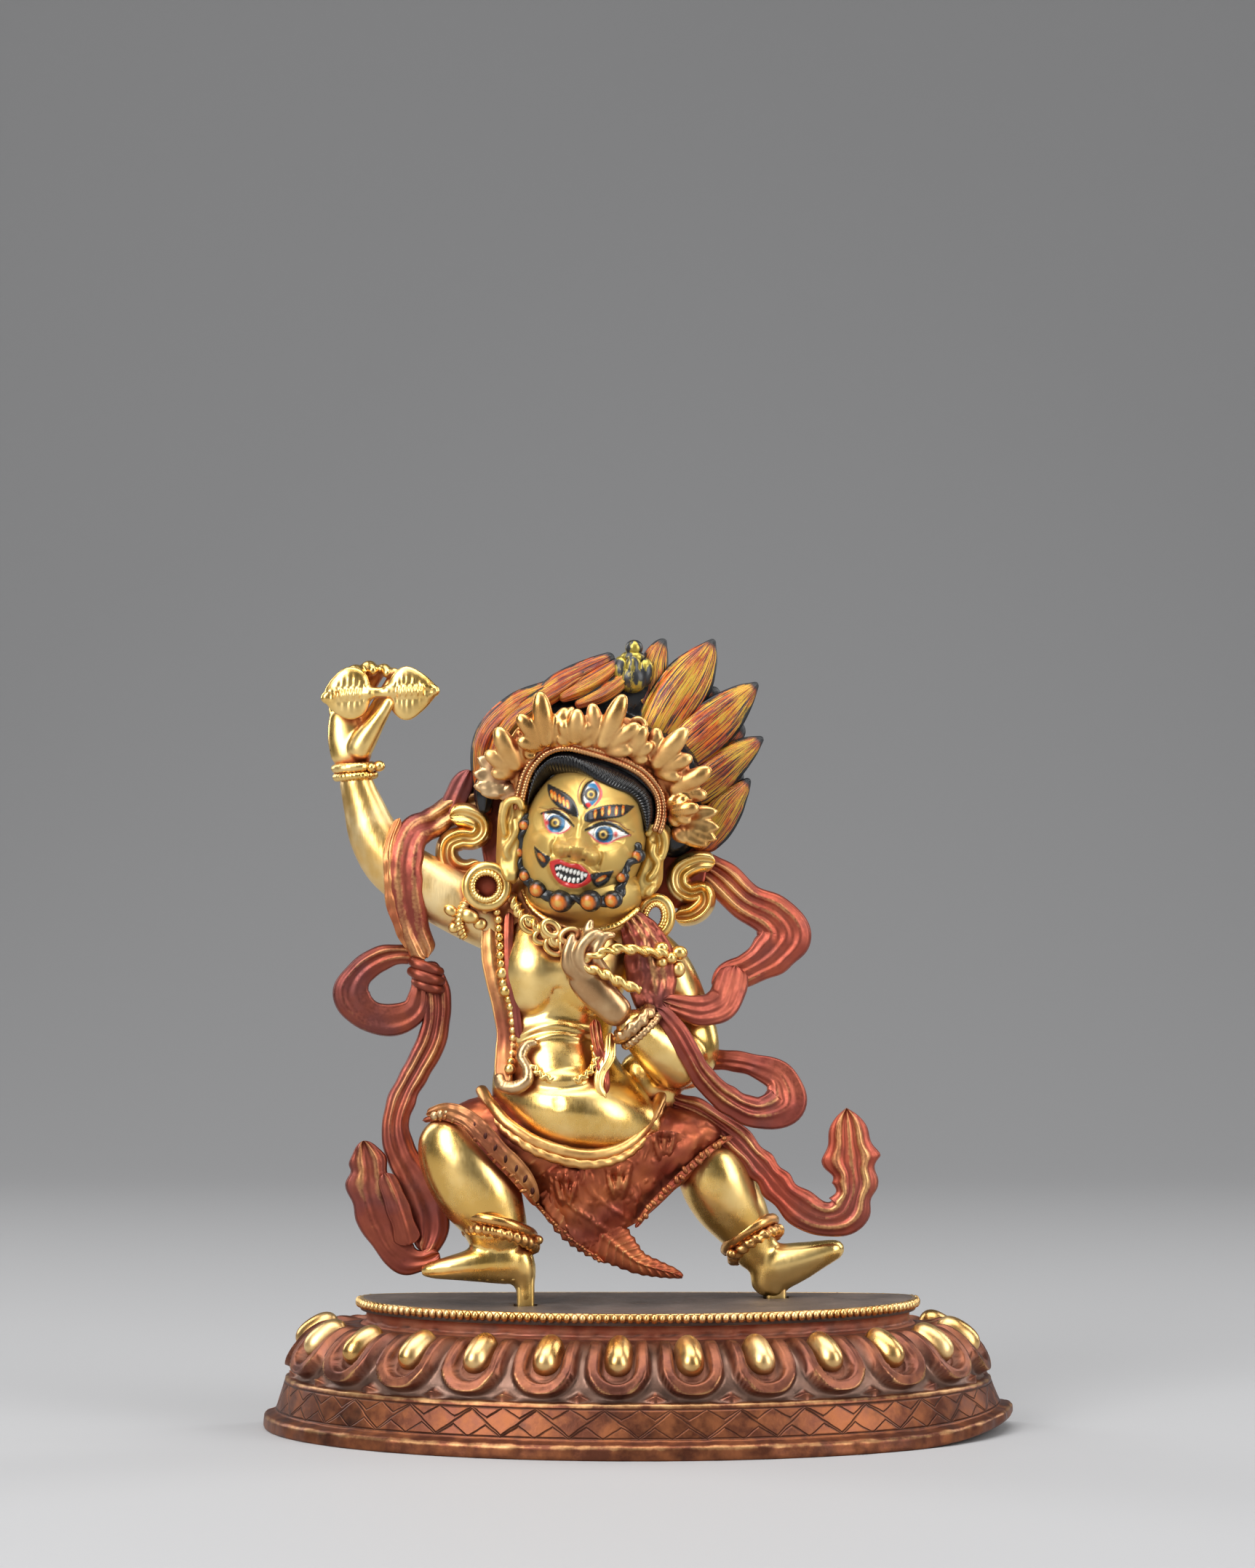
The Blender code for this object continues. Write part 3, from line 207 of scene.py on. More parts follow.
def fused(name, meshes, grain, rounds=2):
    # a voxel skin over overlapping forms, then each point drawn toward its neighbours' mean and a
    # part of the way back, so that the forms keep their bulk
    holder = bpy.data.objects.new(name, gather(name, meshes))
    bpy.context.collection.objects.link(holder)
    skin = holder.modifiers.new("skin", "REMESH")
    skin.mode = "VOXEL"
    skin.voxel_size = grain
    graph = bpy.context.evaluated_depsgraph_get()
    mesh = bpy.data.meshes.new_from_object(holder.evaluated_get(graph))
    bpy.data.objects.remove(holder)
    p = pointsOf(mesh)
    n = len(p)
    e = np.empty(len(mesh.edges) * 2, np.int32)
    mesh.edges.foreach_get("vertices", e)
    a, b = np.concatenate([e[0::2], e[1::2]]), np.concatenate([e[1::2], e[0::2]])
    degree = np.bincount(a, minlength=n)[:, None]
    for weight in (0.6, -0.35) * rounds:
        mean = np.stack([np.bincount(a, p[b, k], n) for k in range(3)], 1) / degree
        p += weight * (mean - p)
    mesh.vertices.foreach_set("co", p.astype(np.float32).ravel())
    mesh.shade_smooth()
    mesh.update()
    return mesh


def piece(name, mesh, finish, node="figure"):
    # an object at the origin that rides and stands for its CAD node
    mesh.name = name
    mesh.materials.clear()
    mesh.materials.append(finish)
    thing = bpy.data.objects.new(name, mesh)
    bpy.context.collection.objects.link(thing)
    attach(thing, "root")
    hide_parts(node)
    made.append(thing)
    return thing


def sweep(name, rows, steps=60, around=20, closed=False, rope=(0, 0, 0), lump=0, marks=False):
    # each ring is centre + side*wide*cos(a) + out*deep*sin(a); rope is the strands, turns and depth
    # of a twist: the ring swells by 1 + depth*cos(strands*a + turns*2pi*t)
    path = through(rows, steps, closed)
    centre, wide = path[:, :3], path[:, 3]
    deep = path[:, 4] if path.shape[1] > 4 else wide
    ahead = heading(centre, closed)
    out = unit(towardEye - ahead * (ahead @ towardEye)[:, None])
    side = np.cross(ahead, out)
    run = travelled(centre)
    if not closed:  # both ends close as half an ellipse
        end = np.minimum(run / np.maximum(wide[0], 0.01), (run[-1] - run) / np.maximum(wide[-1], 0.01))
        dome = np.sqrt(np.clip(1 - (1 - np.clip(end, 0, 1)) ** 2, 0.0004, 1))
        wide, deep = wide * dome, deep * dome
    angle = np.linspace(0, turn, around, endpoint=False)
    strands, turns, depth = rope
    t = np.linspace(0, 1, steps)[:, None]
    swell = 1 + depth * np.cos(strands * angle[None] + turns * 2 * math.pi * t)
    grid = centre[:, None] + side[:, None] * (wide[:, None] * swell * np.cos(angle))[..., None]
    grid += out[:, None] * (deep[:, None] * swell * np.sin(angle))[..., None]
    if lump:
        push = unit(grid - centre[:, None])
        grid += push * (wobble(grid.reshape(-1, 3), lump * 6, 3).reshape(steps, around) * lump)[..., None]
    if not marks:
        return tubeMesh(name, grid, closed)
    tipLength = 2.6
    tip = np.clip(1 - (run[-1] - run) / tipLength, 0, 1)
    kept = {"along": np.repeat(run[:, None], around, 1),
            "across": np.repeat(np.cos(angle)[None], steps, 0),
            "tip": np.repeat(tip[:, None], around, 1)}
    return tubeMesh(name, grid, closed, kept)


def ribbon(name, rows, steps, flutes, thick, rim, closed=False, rough=0.04, seed=1, wave=0.0):
    # a strip facing the viewer: across it s runs -1..1, its front lifted by half the thickness, a
    # bell for each flute (where, width, height) and a lip at each rim
    path = through(rows, steps, closed)
    centre, width = path[:, :3], path[:, 3]
    ahead = heading(centre, closed)
    side = unit(np.cross(ahead, towardEye))
    out = unit(np.cross(side, ahead))
    run = travelled(centre)
    if not closed:
        endLength = 1.2
        end = np.minimum(run, run[-1] - run) / endLength
        width = width * np.sqrt(np.clip(1 - (1 - np.clip(end, 0, 1)) ** 2, 0.02, 1))
    frontCount, backCount = 27, 5
    s = np.concatenate([np.linspace(-1, 1, frontCount), np.linspace(0.90, -0.90, backCount)])
    front = np.arange(len(s)) < frontCount
    drift = 0.05 * np.sin(run / 5.0 + seed)[:, None]
    fold = 0.75 + 0.35 * np.sin(run / 7.0 + 2.0 * seed)[:, None]
    crest = sum(h * fold * bell(s[None], at + drift * (1 - abs(at)), w * 1.35) for at, w, h in flutes)
    lip = rim * bell(np.abs(s), 0.92, 0.09)[None]
    body = 0.5 * thick * (1 - np.abs(s) ** 10)[None]
    lift = np.where(front, body + crest + lip, -0.5 * thick * (1 - np.abs(s) ** 6))
    lift = lift * np.ones((steps, 1))
    uneven = 0.05 * wobble(centre / 3.0, 1.3, seed)[:, None]
    rippled = wave * np.sin(run * 1.15 + 1.6 * np.sin(run * 0.31))[:, None]
    half = width[:, None] * 0.5 * (1 + uneven + rippled)
    grid = centre[:, None] + side[:, None] * (half * s)[..., None] + out[:, None] * lift[..., None]
    noise = wobble(grid.reshape(-1, 3), 2.6, seed + 5).reshape(steps, -1)
    grid += out[:, None] * (noise * rough * front)[..., None]
    height = np.clip((crest + lip) / 0.5, 0, 1) * front
    marks = {"crest": height, "along": np.repeat(run[:, None], len(s), 1),
             "across": np.repeat(s[None], steps, 0)}
    return tubeMesh(name, grid, closed, marks)


def balls(name, rows, around, rings, metres=False):
    # many small ellipsoids: rows of x, y, z, three radii and a tilt in degrees
    rows = np.asarray(rows, float)
    lat = np.linspace(0, math.pi, rings)[1:-1]
    lon = np.linspace(0, turn, around, endpoint=False)
    out, up = np.sin(lat)[:, None], np.cos(lat)[:, None]
    ring = np.stack([out * np.cos(lon), out * np.sin(lon), up * np.ones(around)], -1)
    one = np.concatenate([ring.reshape(-1, 3), [[0, 0, 1], [0, 0, -1]]])
    size = one[None] * rows[:, None, 3:6]
    tilt = np.radians(rows[:, 6])[:, None]
    x = size[..., 0] * np.cos(tilt) + size[..., 2] * np.sin(tilt)
    z = size[..., 2] * np.cos(tilt) - size[..., 0] * np.sin(tilt)
    points = rows[:, None, :3] + np.stack([x, size[..., 1], z], -1)
    k = len(one)
    body = gridFaces(len(lat), around, False, True)
    j = np.arange(around)
    last = (len(lat) - 1) * around
    caps = np.concatenate([np.stack([j, (j + 1) % around, np.full(around, k - 2)], -1),
                           np.stack([last + (j + 1) % around, last + j, np.full(around, k - 1)], -1)])
    shift = (np.arange(len(rows)) * k)[:, None, None]
    points = points.reshape(-1, 3) if metres else place(points.reshape(-1, 3))
    quads, tris = (body[None] + shift).reshape(-1, 4), (caps[None] + shift).reshape(-1, 3)
    return meshOf(name, points, quads, tris, {})


def leaf(x, y, z, long, wide, tilt, deep, curl, groove):
    # an upright leaf: its half width is wide*sin(pi*t^0.8)^0.75 along its length, its tip nods
    # forward, and its front is grooved along the middle
    steps, around = 22, 18
    t = np.linspace(0, 1, steps)
    half = wide * np.sin(math.pi * np.clip(t, 0.012, 0.988) ** 0.8) ** 0.75
    angle = np.linspace(0, turn, around, endpoint=False)
    c, s = np.cos(angle), np.sin(angle)
    ridge = 1 - groove * bell(c, 0, 0.28) * (s > 0)
    a = math.radians(tilt)
    lengthwise = (t - 0.25) * long
    nod = -curl * ease(t, 0.55, 1.0) * long * 0.25
    gx = x + lengthwise[:, None] * math.sin(a) + half[:, None] * c * math.cos(a)
    gz = z + lengthwise[:, None] * math.cos(a) - half[:, None] * c * math.sin(a)
    gy = y + nod[:, None] - deep * (half[:, None] / wide) * s * ridge
    return tubeMesh("leaf", np.stack([gx, gy * np.ones_like(gx), gz], -1))


def ringPath(x, y, z, rx, rz, thick, tilt=0, count=24, start=0, sweepAngle=360):
    # stations round an upright oval, or round a part of it
    a = np.radians(start + np.linspace(0, sweepAngle, count, endpoint=sweepAngle < 360))
    u, v = rx * np.cos(a), rz * np.sin(a)
    c, s = math.cos(math.radians(tilt)), math.sin(math.radians(tilt))
    level, even = np.full(count, float(y)), np.full(count, float(thick))
    return np.stack([x + u * c + v * s, level, z - u * s + v * c, even], 1)


def bangle(x, y, z, rx, ry, thick, tilt, dip=0):  # stations round a limb: a level oval, tilted as seen
    count = 24
    a = np.radians(np.linspace(0, 360, count, endpoint=False))
    u, v = rx * np.cos(a), ry * np.sin(a)
    t = math.radians(tilt)
    even = np.full(count, float(thick))
    return np.stack([x + u * math.cos(t), y + v, z + u * math.sin(t) + dip * np.sin(a), even], 1)


def outlineDistance(p, rows, closed=True):
    # distance to a polyline: inside a closed one it is negative, and an open one also gives how far
    # along it the nearest place lies, from 0 to 1
    a = np.asarray(rows, float)
    b = np.roll(a, -1, 0) if closed else a[1:]
    a = a if closed else a[:-1]
    ab = b - a
    ap = p[:, None] - a[None]
    t = np.clip((ap * ab).sum(-1) / np.maximum((ab * ab).sum(-1), 1e-9), 0, 1)
    d = np.linalg.norm(ap - t[..., None] * ab, axis=-1)
    if not closed:
        k = d.argmin(1)
        return d.min(1), (k + t[np.arange(len(p)), k]) / len(a)
    crosses = (a[None, :, 1] > p[:, None, 1]) != (b[None, :, 1] > p[:, None, 1])
    climb = np.where(np.abs(ab[None, :, 1]) < 1e-9, 1e-9, ab[None, :, 1])
    at = a[None, :, 0] + (p[:, None, 1] - a[None, :, 1]) * ab[None, :, 0] / climb
    inside = (crosses & (p[:, None, 0] < at)).sum(1) % 2 == 1
    return np.where(inside, -1, 1) * d.min(1)


# Finishes. Each starts from a Principled shader and two short ways to add and wire its nodes.
def nodeTools(tree):
    def wire(value, socket):
        if isinstance(value, bpy.types.NodeSocket):
            tree.links.new(value, socket)
        else:
            socket.default_value = value

    def add(kind, inputs, out=0, **settings):
        node = tree.nodes.new("ShaderNode" + kind)
        for key, value in settings.items():
            setattr(node, key, value)
        for key, value in inputs.items():
            wire(value, node.inputs[key])
        return node.outputs[out]

    return add, wire


def finish(name):
    material = bpy.data.materials.new(name)
    material.use_nodes = True
    tree = material.node_tree
    return (material, tree.nodes["Principled BSDF"], *nodeTools(tree))


def blendOf(add, share, first, second):
    wrap = lambda c: c if isinstance(c, bpy.types.NodeSocket) else (*c, 1)
    return add("Mix", {0: share, 6: wrap(first), 7: wrap(second)}, out=2, data_type="RGBA")


def remap(add, value, low, high, first=0.0, last=1.0):
    return add("MapRange", {0: value, 1: low, 2: high, 3: first, 4: last})


def total(add, *terms):
    result = terms[0]
    for term in terms[1:]:
        result = add("Math", {0: result, 1: term}, operation="ADD")
    return result


def share(add, first, second):
    return add("Math", {0: first, 1: second}, operation="MULTIPLY")


def cloud(add, vector, scale, detail=4.0, roughness=0.55):
    return add("TexNoise", {"Vector": vector, "Scale": scale, "Detail": detail, "Roughness": roughness})


def mark(add, name, out="Fac"):
    return add("Attribute", {}, out=out, attribute_name=name)


giltLook = {"rich": (0.76, 0.47, 0.125), "pale": (0.90, 0.64, 0.25), "red": (0.50, 0.15, 0.06),
            "paintedShade": (0.12, 0.045, 0.022), "redFrom": 0.62, "redTo": 1.05, "redMost": 0.88, "shadeFrom": 1.05,
            "shadeTo": 1.6, "glossy": 0.22, "dull": 0.31, "scratch": 0.05, "lumps": 0.12,
            "grain": (1.0, 1.0, 0.09)}


def gilt(name, **changes):  # polished fire gold, copper red in its hollows and painted shade in the deepest of them, brushed one way
    look = {**giltLook, **changes}
    material, shader, add, wire = finish(name)
    spot = add("TexCoord", {}, out="Object")
    broad, mid, fine = cloud(add, spot, 160), cloud(add, spot, 620), cloud(add, spot, 2600, 3.0)
    depth = total(add, mark(add, "hollow"), remap(add, broad, 0.3, 0.7, -0.18, 0.18),
                  remap(add, mid, 0.3, 0.7, -0.10, 0.10))
    red = remap(add, depth, look["redFrom"], look["redTo"], 0.0, look["redMost"])
    # painted shade: where the hollow mark is highest the gold darkens toward near black
    paintedShade = remap(add, depth, look["shadeFrom"], look["shadeTo"], 0.0, 0.85)
    metal = blendOf(add, remap(add, broad, 0.38, 0.62), look["rich"], look["pale"])
    wire(blendOf(add, paintedShade, blendOf(add, red, metal, look["red"]), look["paintedShade"]),
         shader.inputs["Base Color"])
    streaks = cloud(add, add("Mapping", {"Vector": spot, "Scale": look["grain"]}), 3200, 2.0)
    gloss = remap(add, broad, 0.35, 0.65, look["glossy"], look["dull"])
    wire(total(add, gloss, share(add, red, 0.20), remap(add, streaks, 0.4, 0.7, 0.0, 0.04),
               remap(add, fine, 0.4, 0.7, 0.0, 0.02)), shader.inputs["Roughness"])
    shader.inputs["Metallic"].default_value = 1.0
    worked = add("Bump", {"Strength": look["lumps"], "Distance": 0.00022,
                          "Height": cloud(add, spot, 420, 2.0)})
    brushed = add("Bump", {"Strength": look["scratch"], "Distance": 0.00006, "Height": streaks,
                           "Normal": worked})
    wire(brushed, shader.inputs["Normal"])
    return material


# dark is the colour of the painted shade in the hollows
rustLook = {"warm": (0.33, 0.066, 0.040), "bright": (0.43, 0.105, 0.056), "plum": (0.155, 0.050, 0.046),
            "dark": (0.070, 0.020, 0.018), "gold": (0.78, 0.46, 0.18), "goldFrom": 0.72, "goldTo": 1.25,
            "goldMost": 0.75, "plumMost": 0.6}


def rust(name, **changes):  # red copper with plum patches and painted shade in its hollows, rubbed to gold along its ridges and lips
    look = {**rustLook, **changes}
    material, shader, add, wire = finish(name)
    spot = add("TexCoord", {}, out="Object")
    broad, mid, fine = cloud(add, spot, 130), cloud(add, spot, 480, 5.0), cloud(add, spot, 2400, 3.0)
    hollow = mark(add, "hollow")
    metal = blendOf(add, remap(add, broad, 0.38, 0.66), look["warm"], look["bright"])
    metal = blendOf(add, remap(add, total(add, cloud(add, spot, 70, 3.0), share(add, mid, 0.25)), 0.58,
                               0.74, 0.0, look["plumMost"]), metal, look["plum"])
    # painted shade: the copper darkens toward dark where the hollow mark is high
    metal = blendOf(add, remap(add, total(add, hollow, remap(add, mid, 0.3, 0.7, -0.12, 0.12)), 0.70, 1.35,
                               0.0, 0.8), metal, look["dark"])
    worn = total(add, mark(add, "crest"), remap(add, broad, 0.3, 0.7, -0.30, 0.30),
                 remap(add, fine, 0.3, 0.7, -0.12, 0.12))
    worn = remap(add, worn, look["goldFrom"], look["goldTo"], 0.0, look["goldMost"])
    wire(blendOf(add, worn, metal, look["gold"]), shader.inputs["Base Color"])
    wire(total(add, remap(add, fine, 0.35, 0.7, 0.40, 0.54), share(add, worn, -0.12)),
         shader.inputs["Roughness"])
    shader.inputs["Metallic"].default_value = 0.92
    pitted = add("Bump", {"Strength": 0.14, "Distance": 0.00010, "Height": mid})
    wire(add("Bump", {"Strength": 0.15, "Distance": 0.00004, "Height": fine, "Normal": pitted}),
         shader.inputs["Normal"])
    return material


def painted(name):  # the face's colours and its matt gold come with the mesh; painted shade browns the gold in its hollows
    material, shader, add, wire = finish(name)
    spot = add("TexCoord", {}, out="Object")
    mid, fine = cloud(add, spot, 500), cloud(add, spot, 2600, 3.0)
    colour, gold = mark(add, "paint", "Color"), mark(add, "gild")
    # painted shade: the gold darkens toward brown where the hollow mark is high
    shade = remap(add, total(add, mark(add, "hollow"), remap(add, mid, 0.3, 0.7, -0.1, 0.1)), 0.55, 1.2,
                  0.0, 0.55)
    shadedPaint = blendOf(add, share(add, shade, gold), colour, (0.30, 0.13, 0.03))
    wire(shadedPaint, shader.inputs["Base Color"])
    wire(remap(add, gold, 0.0, 1.0, 0.0, 0.62), shader.inputs["Metallic"])
    wire(total(add, remap(add, gold, 0.0, 1.0, 0.30, 0.40), remap(add, fine, 0.35, 0.7, -0.04, 0.06)),
         shader.inputs["Roughness"])
    wire(add("Bump", {"Strength": 0.12, "Distance": 0.00006, "Height": mid}), shader.inputs["Normal"])
    return material


def hairPaint(name, **changes):  # gold and orange brush strokes along each lock, over red and black, with painted shade black in its hollows
    look = {"black": (0.008, 0.009, 0.011), "red": (0.20, 0.014, 0.006), "orange": (0.54, 0.095, 0.007),
            "gold": (0.50, 0.31, 0.042), "blackTo": 0.474, "goldFrom": 0.50, **changes}
    material, shader, add, wire = finish(name)
    spot = add("TexCoord", {}, out="Object")
    along, across = mark(add, "along"), mark(add, "across")
    stroke = add("CombineXYZ", {0: share(add, across, 5.4), 1: share(add, along, 0.030),
                                2: share(add, mark(add, "seed"), 7.0)})
    broad, thin = cloud(add, stroke, 2.0, 3.0), cloud(add, stroke, 5.6, 3.0, 0.62)
    patch = cloud(add, spot, 300, 4.0)
    hollow = mark(add, "hollow")
    warm = blendOf(add, remap(add, total(add, broad, remap(add, patch, 0.3, 0.7, -0.10, 0.10)), 0.40, 0.52),
                   look["red"], look["orange"])
    gilded = remap(add, total(add, thin, remap(add, patch, 0.3, 0.7, -0.08, 0.08)), look["goldFrom"],
                   look["goldFrom"] + 0.05)
    warm = blendOf(add, gilded, warm, look["gold"])
    side = total(add, add("Math", {0: across}, operation="ABSOLUTE"),
                 remap(add, patch, 0.3, 0.7, -0.12, 0.12))
    # the black: painted strokes, edges and tips, the shadow mark, and painted shade where the hollow mark
    # is high
    dark = total(add, remap(add, thin, look["blackTo"] - 0.05, look["blackTo"], 1.0, 0.0),
                 remap(add, hollow, 0.75, 1.35, 0.0, 1.0), remap(add, side, 0.84, 0.98, 0.0, 0.9),
                 mark(add, "shadow"), remap(add, total(add, mark(add, "tip"),
                     remap(add, thin, 0.3, 0.7, -0.35, 0.35)), 0.45, 0.8))
    dark = remap(add, dark, 0.35, 0.75)
    wire(blendOf(add, dark, warm, look["black"]), shader.inputs["Base Color"])
    wire(share(add, gilded, remap(add, dark, 0.0, 1.0, 0.75, 0.0)), shader.inputs["Metallic"])
    wire(remap(add, patch, 0.35, 0.7, 0.30, 0.48), shader.inputs["Roughness"])
    wire(add("Bump", {"Strength": 0.55, "Distance": 0.00012, "Height": thin}), shader.inputs["Normal"])
    return material


def blackPaint(name):  # glossy black with a faint comb of strokes
    material, shader, add, wire = finish(name)
    spot = add("TexCoord", {}, out="Object")
    mid = cloud(add, spot, 900, 4.0)
    wire(blendOf(add, remap(add, mid, 0.5, 0.8), (0.006, 0.006, 0.007), (0.020, 0.020, 0.018)),
         shader.inputs["Base Color"])
    wire(remap(add, mid, 0.35, 0.7, 0.14, 0.26), shader.inputs["Roughness"])
    wire(add("Bump", {"Strength": 0.20, "Distance": 0.00008, "Height": mid}), shader.inputs["Normal"])
    return material


def knotPaint(name):  # dull green gold brushed over black
    material, shader, add, wire = finish(name)
    spot = add("TexCoord", {}, out="Object")
    streak = cloud(add, add("Mapping", {"Vector": spot, "Scale": (1.0, 1.0, 0.25)}), 1100, 4.0)
    gilded = remap(add, total(add, streak, remap(add, cloud(add, spot, 380), 0.3, 0.7, -0.12, 0.12)), 0.47,
                   0.55)
    wire(blendOf(add, gilded, (0.014, 0.015, 0.017), (0.40, 0.31, 0.06)), shader.inputs["Base Color"])
    wire(share(add, gilded, 0.8), shader.inputs["Metallic"])
    shader.inputs["Roughness"].default_value = 0.36
    wire(add("Bump", {"Strength": 0.5, "Distance": 0.00012, "Height": streak}), shader.inputs["Normal"])
    return material


patinaLook = {"brown": (0.098, 0.036, 0.022), "orange": (0.205, 0.070, 0.031),
              "dark": (0.042, 0.019, 0.014), "dust": (0.125, 0.078, 0.063), "edge": (0.62, 0.40, 0.18),
              "dustMost": 0.75, "line": (0.022, 0.012, 0.010), "metal": 0.85}


def patina(name, **changes):
    # brown copper, orange where rubbed, grey dust in its hollows, dark in its cut lines
    look = {**patinaLook, **changes}
    material, shader, add, wire = finish(name)
    spot = add("TexCoord", {}, out="Object")
    broad, mid, fine = cloud(add, spot, 90), cloud(add, spot, 380, 5.0, 0.6), cloud(add, spot, 2200, 3.0)
    metal = blendOf(add, remap(add, total(add, mid, remap(add, broad, 0.3, 0.7, -0.12, 0.12)), 0.38, 0.66),
                    look["brown"], look["orange"])
    metal = blendOf(add, remap(add, cloud(add, spot, 210, 3.0), 0.56, 0.74, 0.0, 0.8), metal, look["dark"])
    dusty = remap(add, total(add, mark(add, "hollow"), remap(add, mid, 0.3, 0.7, -0.2, 0.2)), 0.32, 0.80,
                  0.0, look["dustMost"])
    metal = blendOf(add, dusty, metal, look["dust"])
    worn = remap(add, total(add, mark(add, "crest"), remap(add, mid, 0.3, 0.7, -0.3, 0.3)), 0.5, 1.0)
    metal = blendOf(add, worn, metal, look["edge"])
    wire(blendOf(add, mark(add, "line"), metal, look["line"]), shader.inputs["Base Color"])
    wire(total(add, remap(add, mid, 0.35, 0.7, 0.36, 0.52), share(add, dusty, 0.25),
               share(add, worn, -0.12)), shader.inputs["Roughness"])
    wire(remap(add, dusty, 0.0, 1.0, look["metal"], look["metal"] * 0.35), shader.inputs["Metallic"])
    pitted = add("Bump", {"Strength": 0.35, "Distance": 0.00016, "Height": mid})
    wire(add("Bump", {"Strength": 0.25, "Distance": 0.00005, "Height": fine, "Normal": pitted}),
         shader.inputs["Normal"])
    return material


def deckSheet(name):  # dark oxidised sheet under a film of dust, with pale scuffs
    material, shader, add, wire = finish(name)
    spot = add("TexCoord", {}, out="Object")
    broad, mid, fine = cloud(add, spot, 110, 5.0), cloud(add, spot, 700, 4.0), cloud(add, spot, 3200, 2.0)
    sheet = blendOf(add, remap(add, broad, 0.35, 0.65), (0.085, 0.064, 0.054), (0.145, 0.110, 0.092))
    sheet = blendOf(add, remap(add, fine, 0.62, 0.75, 0.0, 0.5), sheet, (0.26, 0.22, 0.19))
    wire(blendOf(add, remap(add, mid, 0.62, 0.8, 0.0, 0.5), sheet, (0.20, 0.09, 0.05)),
         shader.inputs["Base Color"])
    wire(remap(add, mid, 0.35, 0.7, 0.48, 0.66), shader.inputs["Roughness"])
    shader.inputs["Metallic"].default_value = 0.35
    wire(add("Bump", {"Strength": 0.3, "Distance": 0.0001, "Height": broad}), shader.inputs["Normal"])
    return material


bodyGold = gilt("bodyGold", scratch=0.10, redFrom=0.56)
beltGold = gilt("beltGold", rich=(0.60, 0.27, 0.085), pale=(0.78, 0.47, 0.17), red=(0.36, 0.09, 0.045),
                redFrom=0.30, redTo=0.85, glossy=0.28, dull=0.42)
jewelGold = gilt("jewelGold", redFrom=0.40, redTo=0.95, redMost=0.85, glossy=0.22, dull=0.36)
wornGold = gilt("wornSilverGold", rich=(0.46, 0.26, 0.12), pale=(0.62, 0.42, 0.22), red=(0.30, 0.12, 0.07),
                redFrom=0.45, glossy=0.27, dull=0.40)
crownGold = gilt("crownGold", rich=(0.62, 0.32, 0.10), pale=(0.80, 0.50, 0.19), red=(0.40, 0.13, 0.048),
                 redFrom=0.14, redTo=0.72, redMost=0.85, glossy=0.24, dull=0.36)
armGold = gilt("brushedArmGold", rich=(0.80, 0.50, 0.16), pale=(0.86, 0.66, 0.34), glossy=0.30, dull=0.46,
               scratch=0.35)
mattGold = gilt("mattEarGold", rich=(0.60, 0.41, 0.125), pale=(0.68, 0.48, 0.17), glossy=0.42, dull=0.52,
                scratch=0.04, redFrom=0.95, redTo=1.5, redMost=0.6)
bandGold = gilt("copperGoldBand", rich=(0.40, 0.19, 0.085), pale=(0.60, 0.33, 0.14), redFrom=0.45,
                redTo=0.95, glossy=0.28, dull=0.42)
redBand = rust("copperBand", goldFrom=0.6, plumMost=0.3)
scarfRust = rust("scarfRust")
scarfDeep = rust("scarfDeep", warm=(0.19, 0.044, 0.031), bright=(0.30, 0.078, 0.042), goldFrom=0.70,
                 goldTo=1.3, goldMost=0.45, plumMost=0.8)
scarfPlum = rust("scarfPlum", warm=(0.26, 0.060, 0.043), bright=(0.36, 0.095, 0.055), plumMost=0.9)
vestCopper = rust("vestCopper", warm=(0.40, 0.12, 0.055), bright=(0.62, 0.28, 0.10), goldFrom=0.28,
                  goldTo=0.75, goldMost=0.95, plumMost=0.3)
furTuft = rust("furTuft", warm=(0.36, 0.12, 0.045), bright=(0.52, 0.24, 0.085), goldFrom=0.9, plumMost=0.4)
# near-black copper for the hem's slots: painted shade
slotShade = rust("slotShade", warm=(0.045, 0.016, 0.012), bright=(0.07, 0.024, 0.016), goldMost=0.0,
                plumMost=0.2)
skirtRust = rust("skirtRust", warm=(0.29, 0.062, 0.034), bright=(0.50, 0.155, 0.058), goldFrom=0.58,
                 goldTo=1.1, goldMost=0.55, plumMost=0.4)
facePaint = painted("facePaint")
beardPaint = painted("beardPaint")
hairFire = hairPaint("hairFire")
hairSide = hairPaint("hairSide", blackTo=0.475, goldFrom=0.53)
hairDark = hairPaint("hairDark", blackTo=0.54, goldFrom=0.60)
gloss = blackPaint("blackHair")
knotGold = knotPaint("knotGold")
lotusCopper = patina("lotusCopper", brown=(0.135, 0.046, 0.029), orange=(0.25, 0.088, 0.044),
                     dark=(0.055, 0.024, 0.017), dust=(0.110, 0.060, 0.042), dustMost=0.55,
                     line=(0.150, 0.098, 0.075), edge=(0.50, 0.27, 0.11))
footCopper = patina("footCopper", brown=(0.22, 0.10, 0.045), orange=(0.36, 0.18, 0.075), dustMost=0.45)
neckCopper = patina("neckCopper", brown=(0.27, 0.075, 0.040), orange=(0.40, 0.135, 0.062),
                    dark=(0.10, 0.040, 0.030), dust=(0.17, 0.065, 0.045), dustMost=0.75, metal=0.6)
bossGold = gilt("bossGold", rich=(0.58, 0.33, 0.11), pale=(0.78, 0.54, 0.25), red=(0.30, 0.12, 0.05),
                redFrom=0.30, redTo=0.72, redMost=0.92, glossy=0.25, dull=0.40)
deckDusty = deckSheet("deckDusty")
print("stage: finishes")

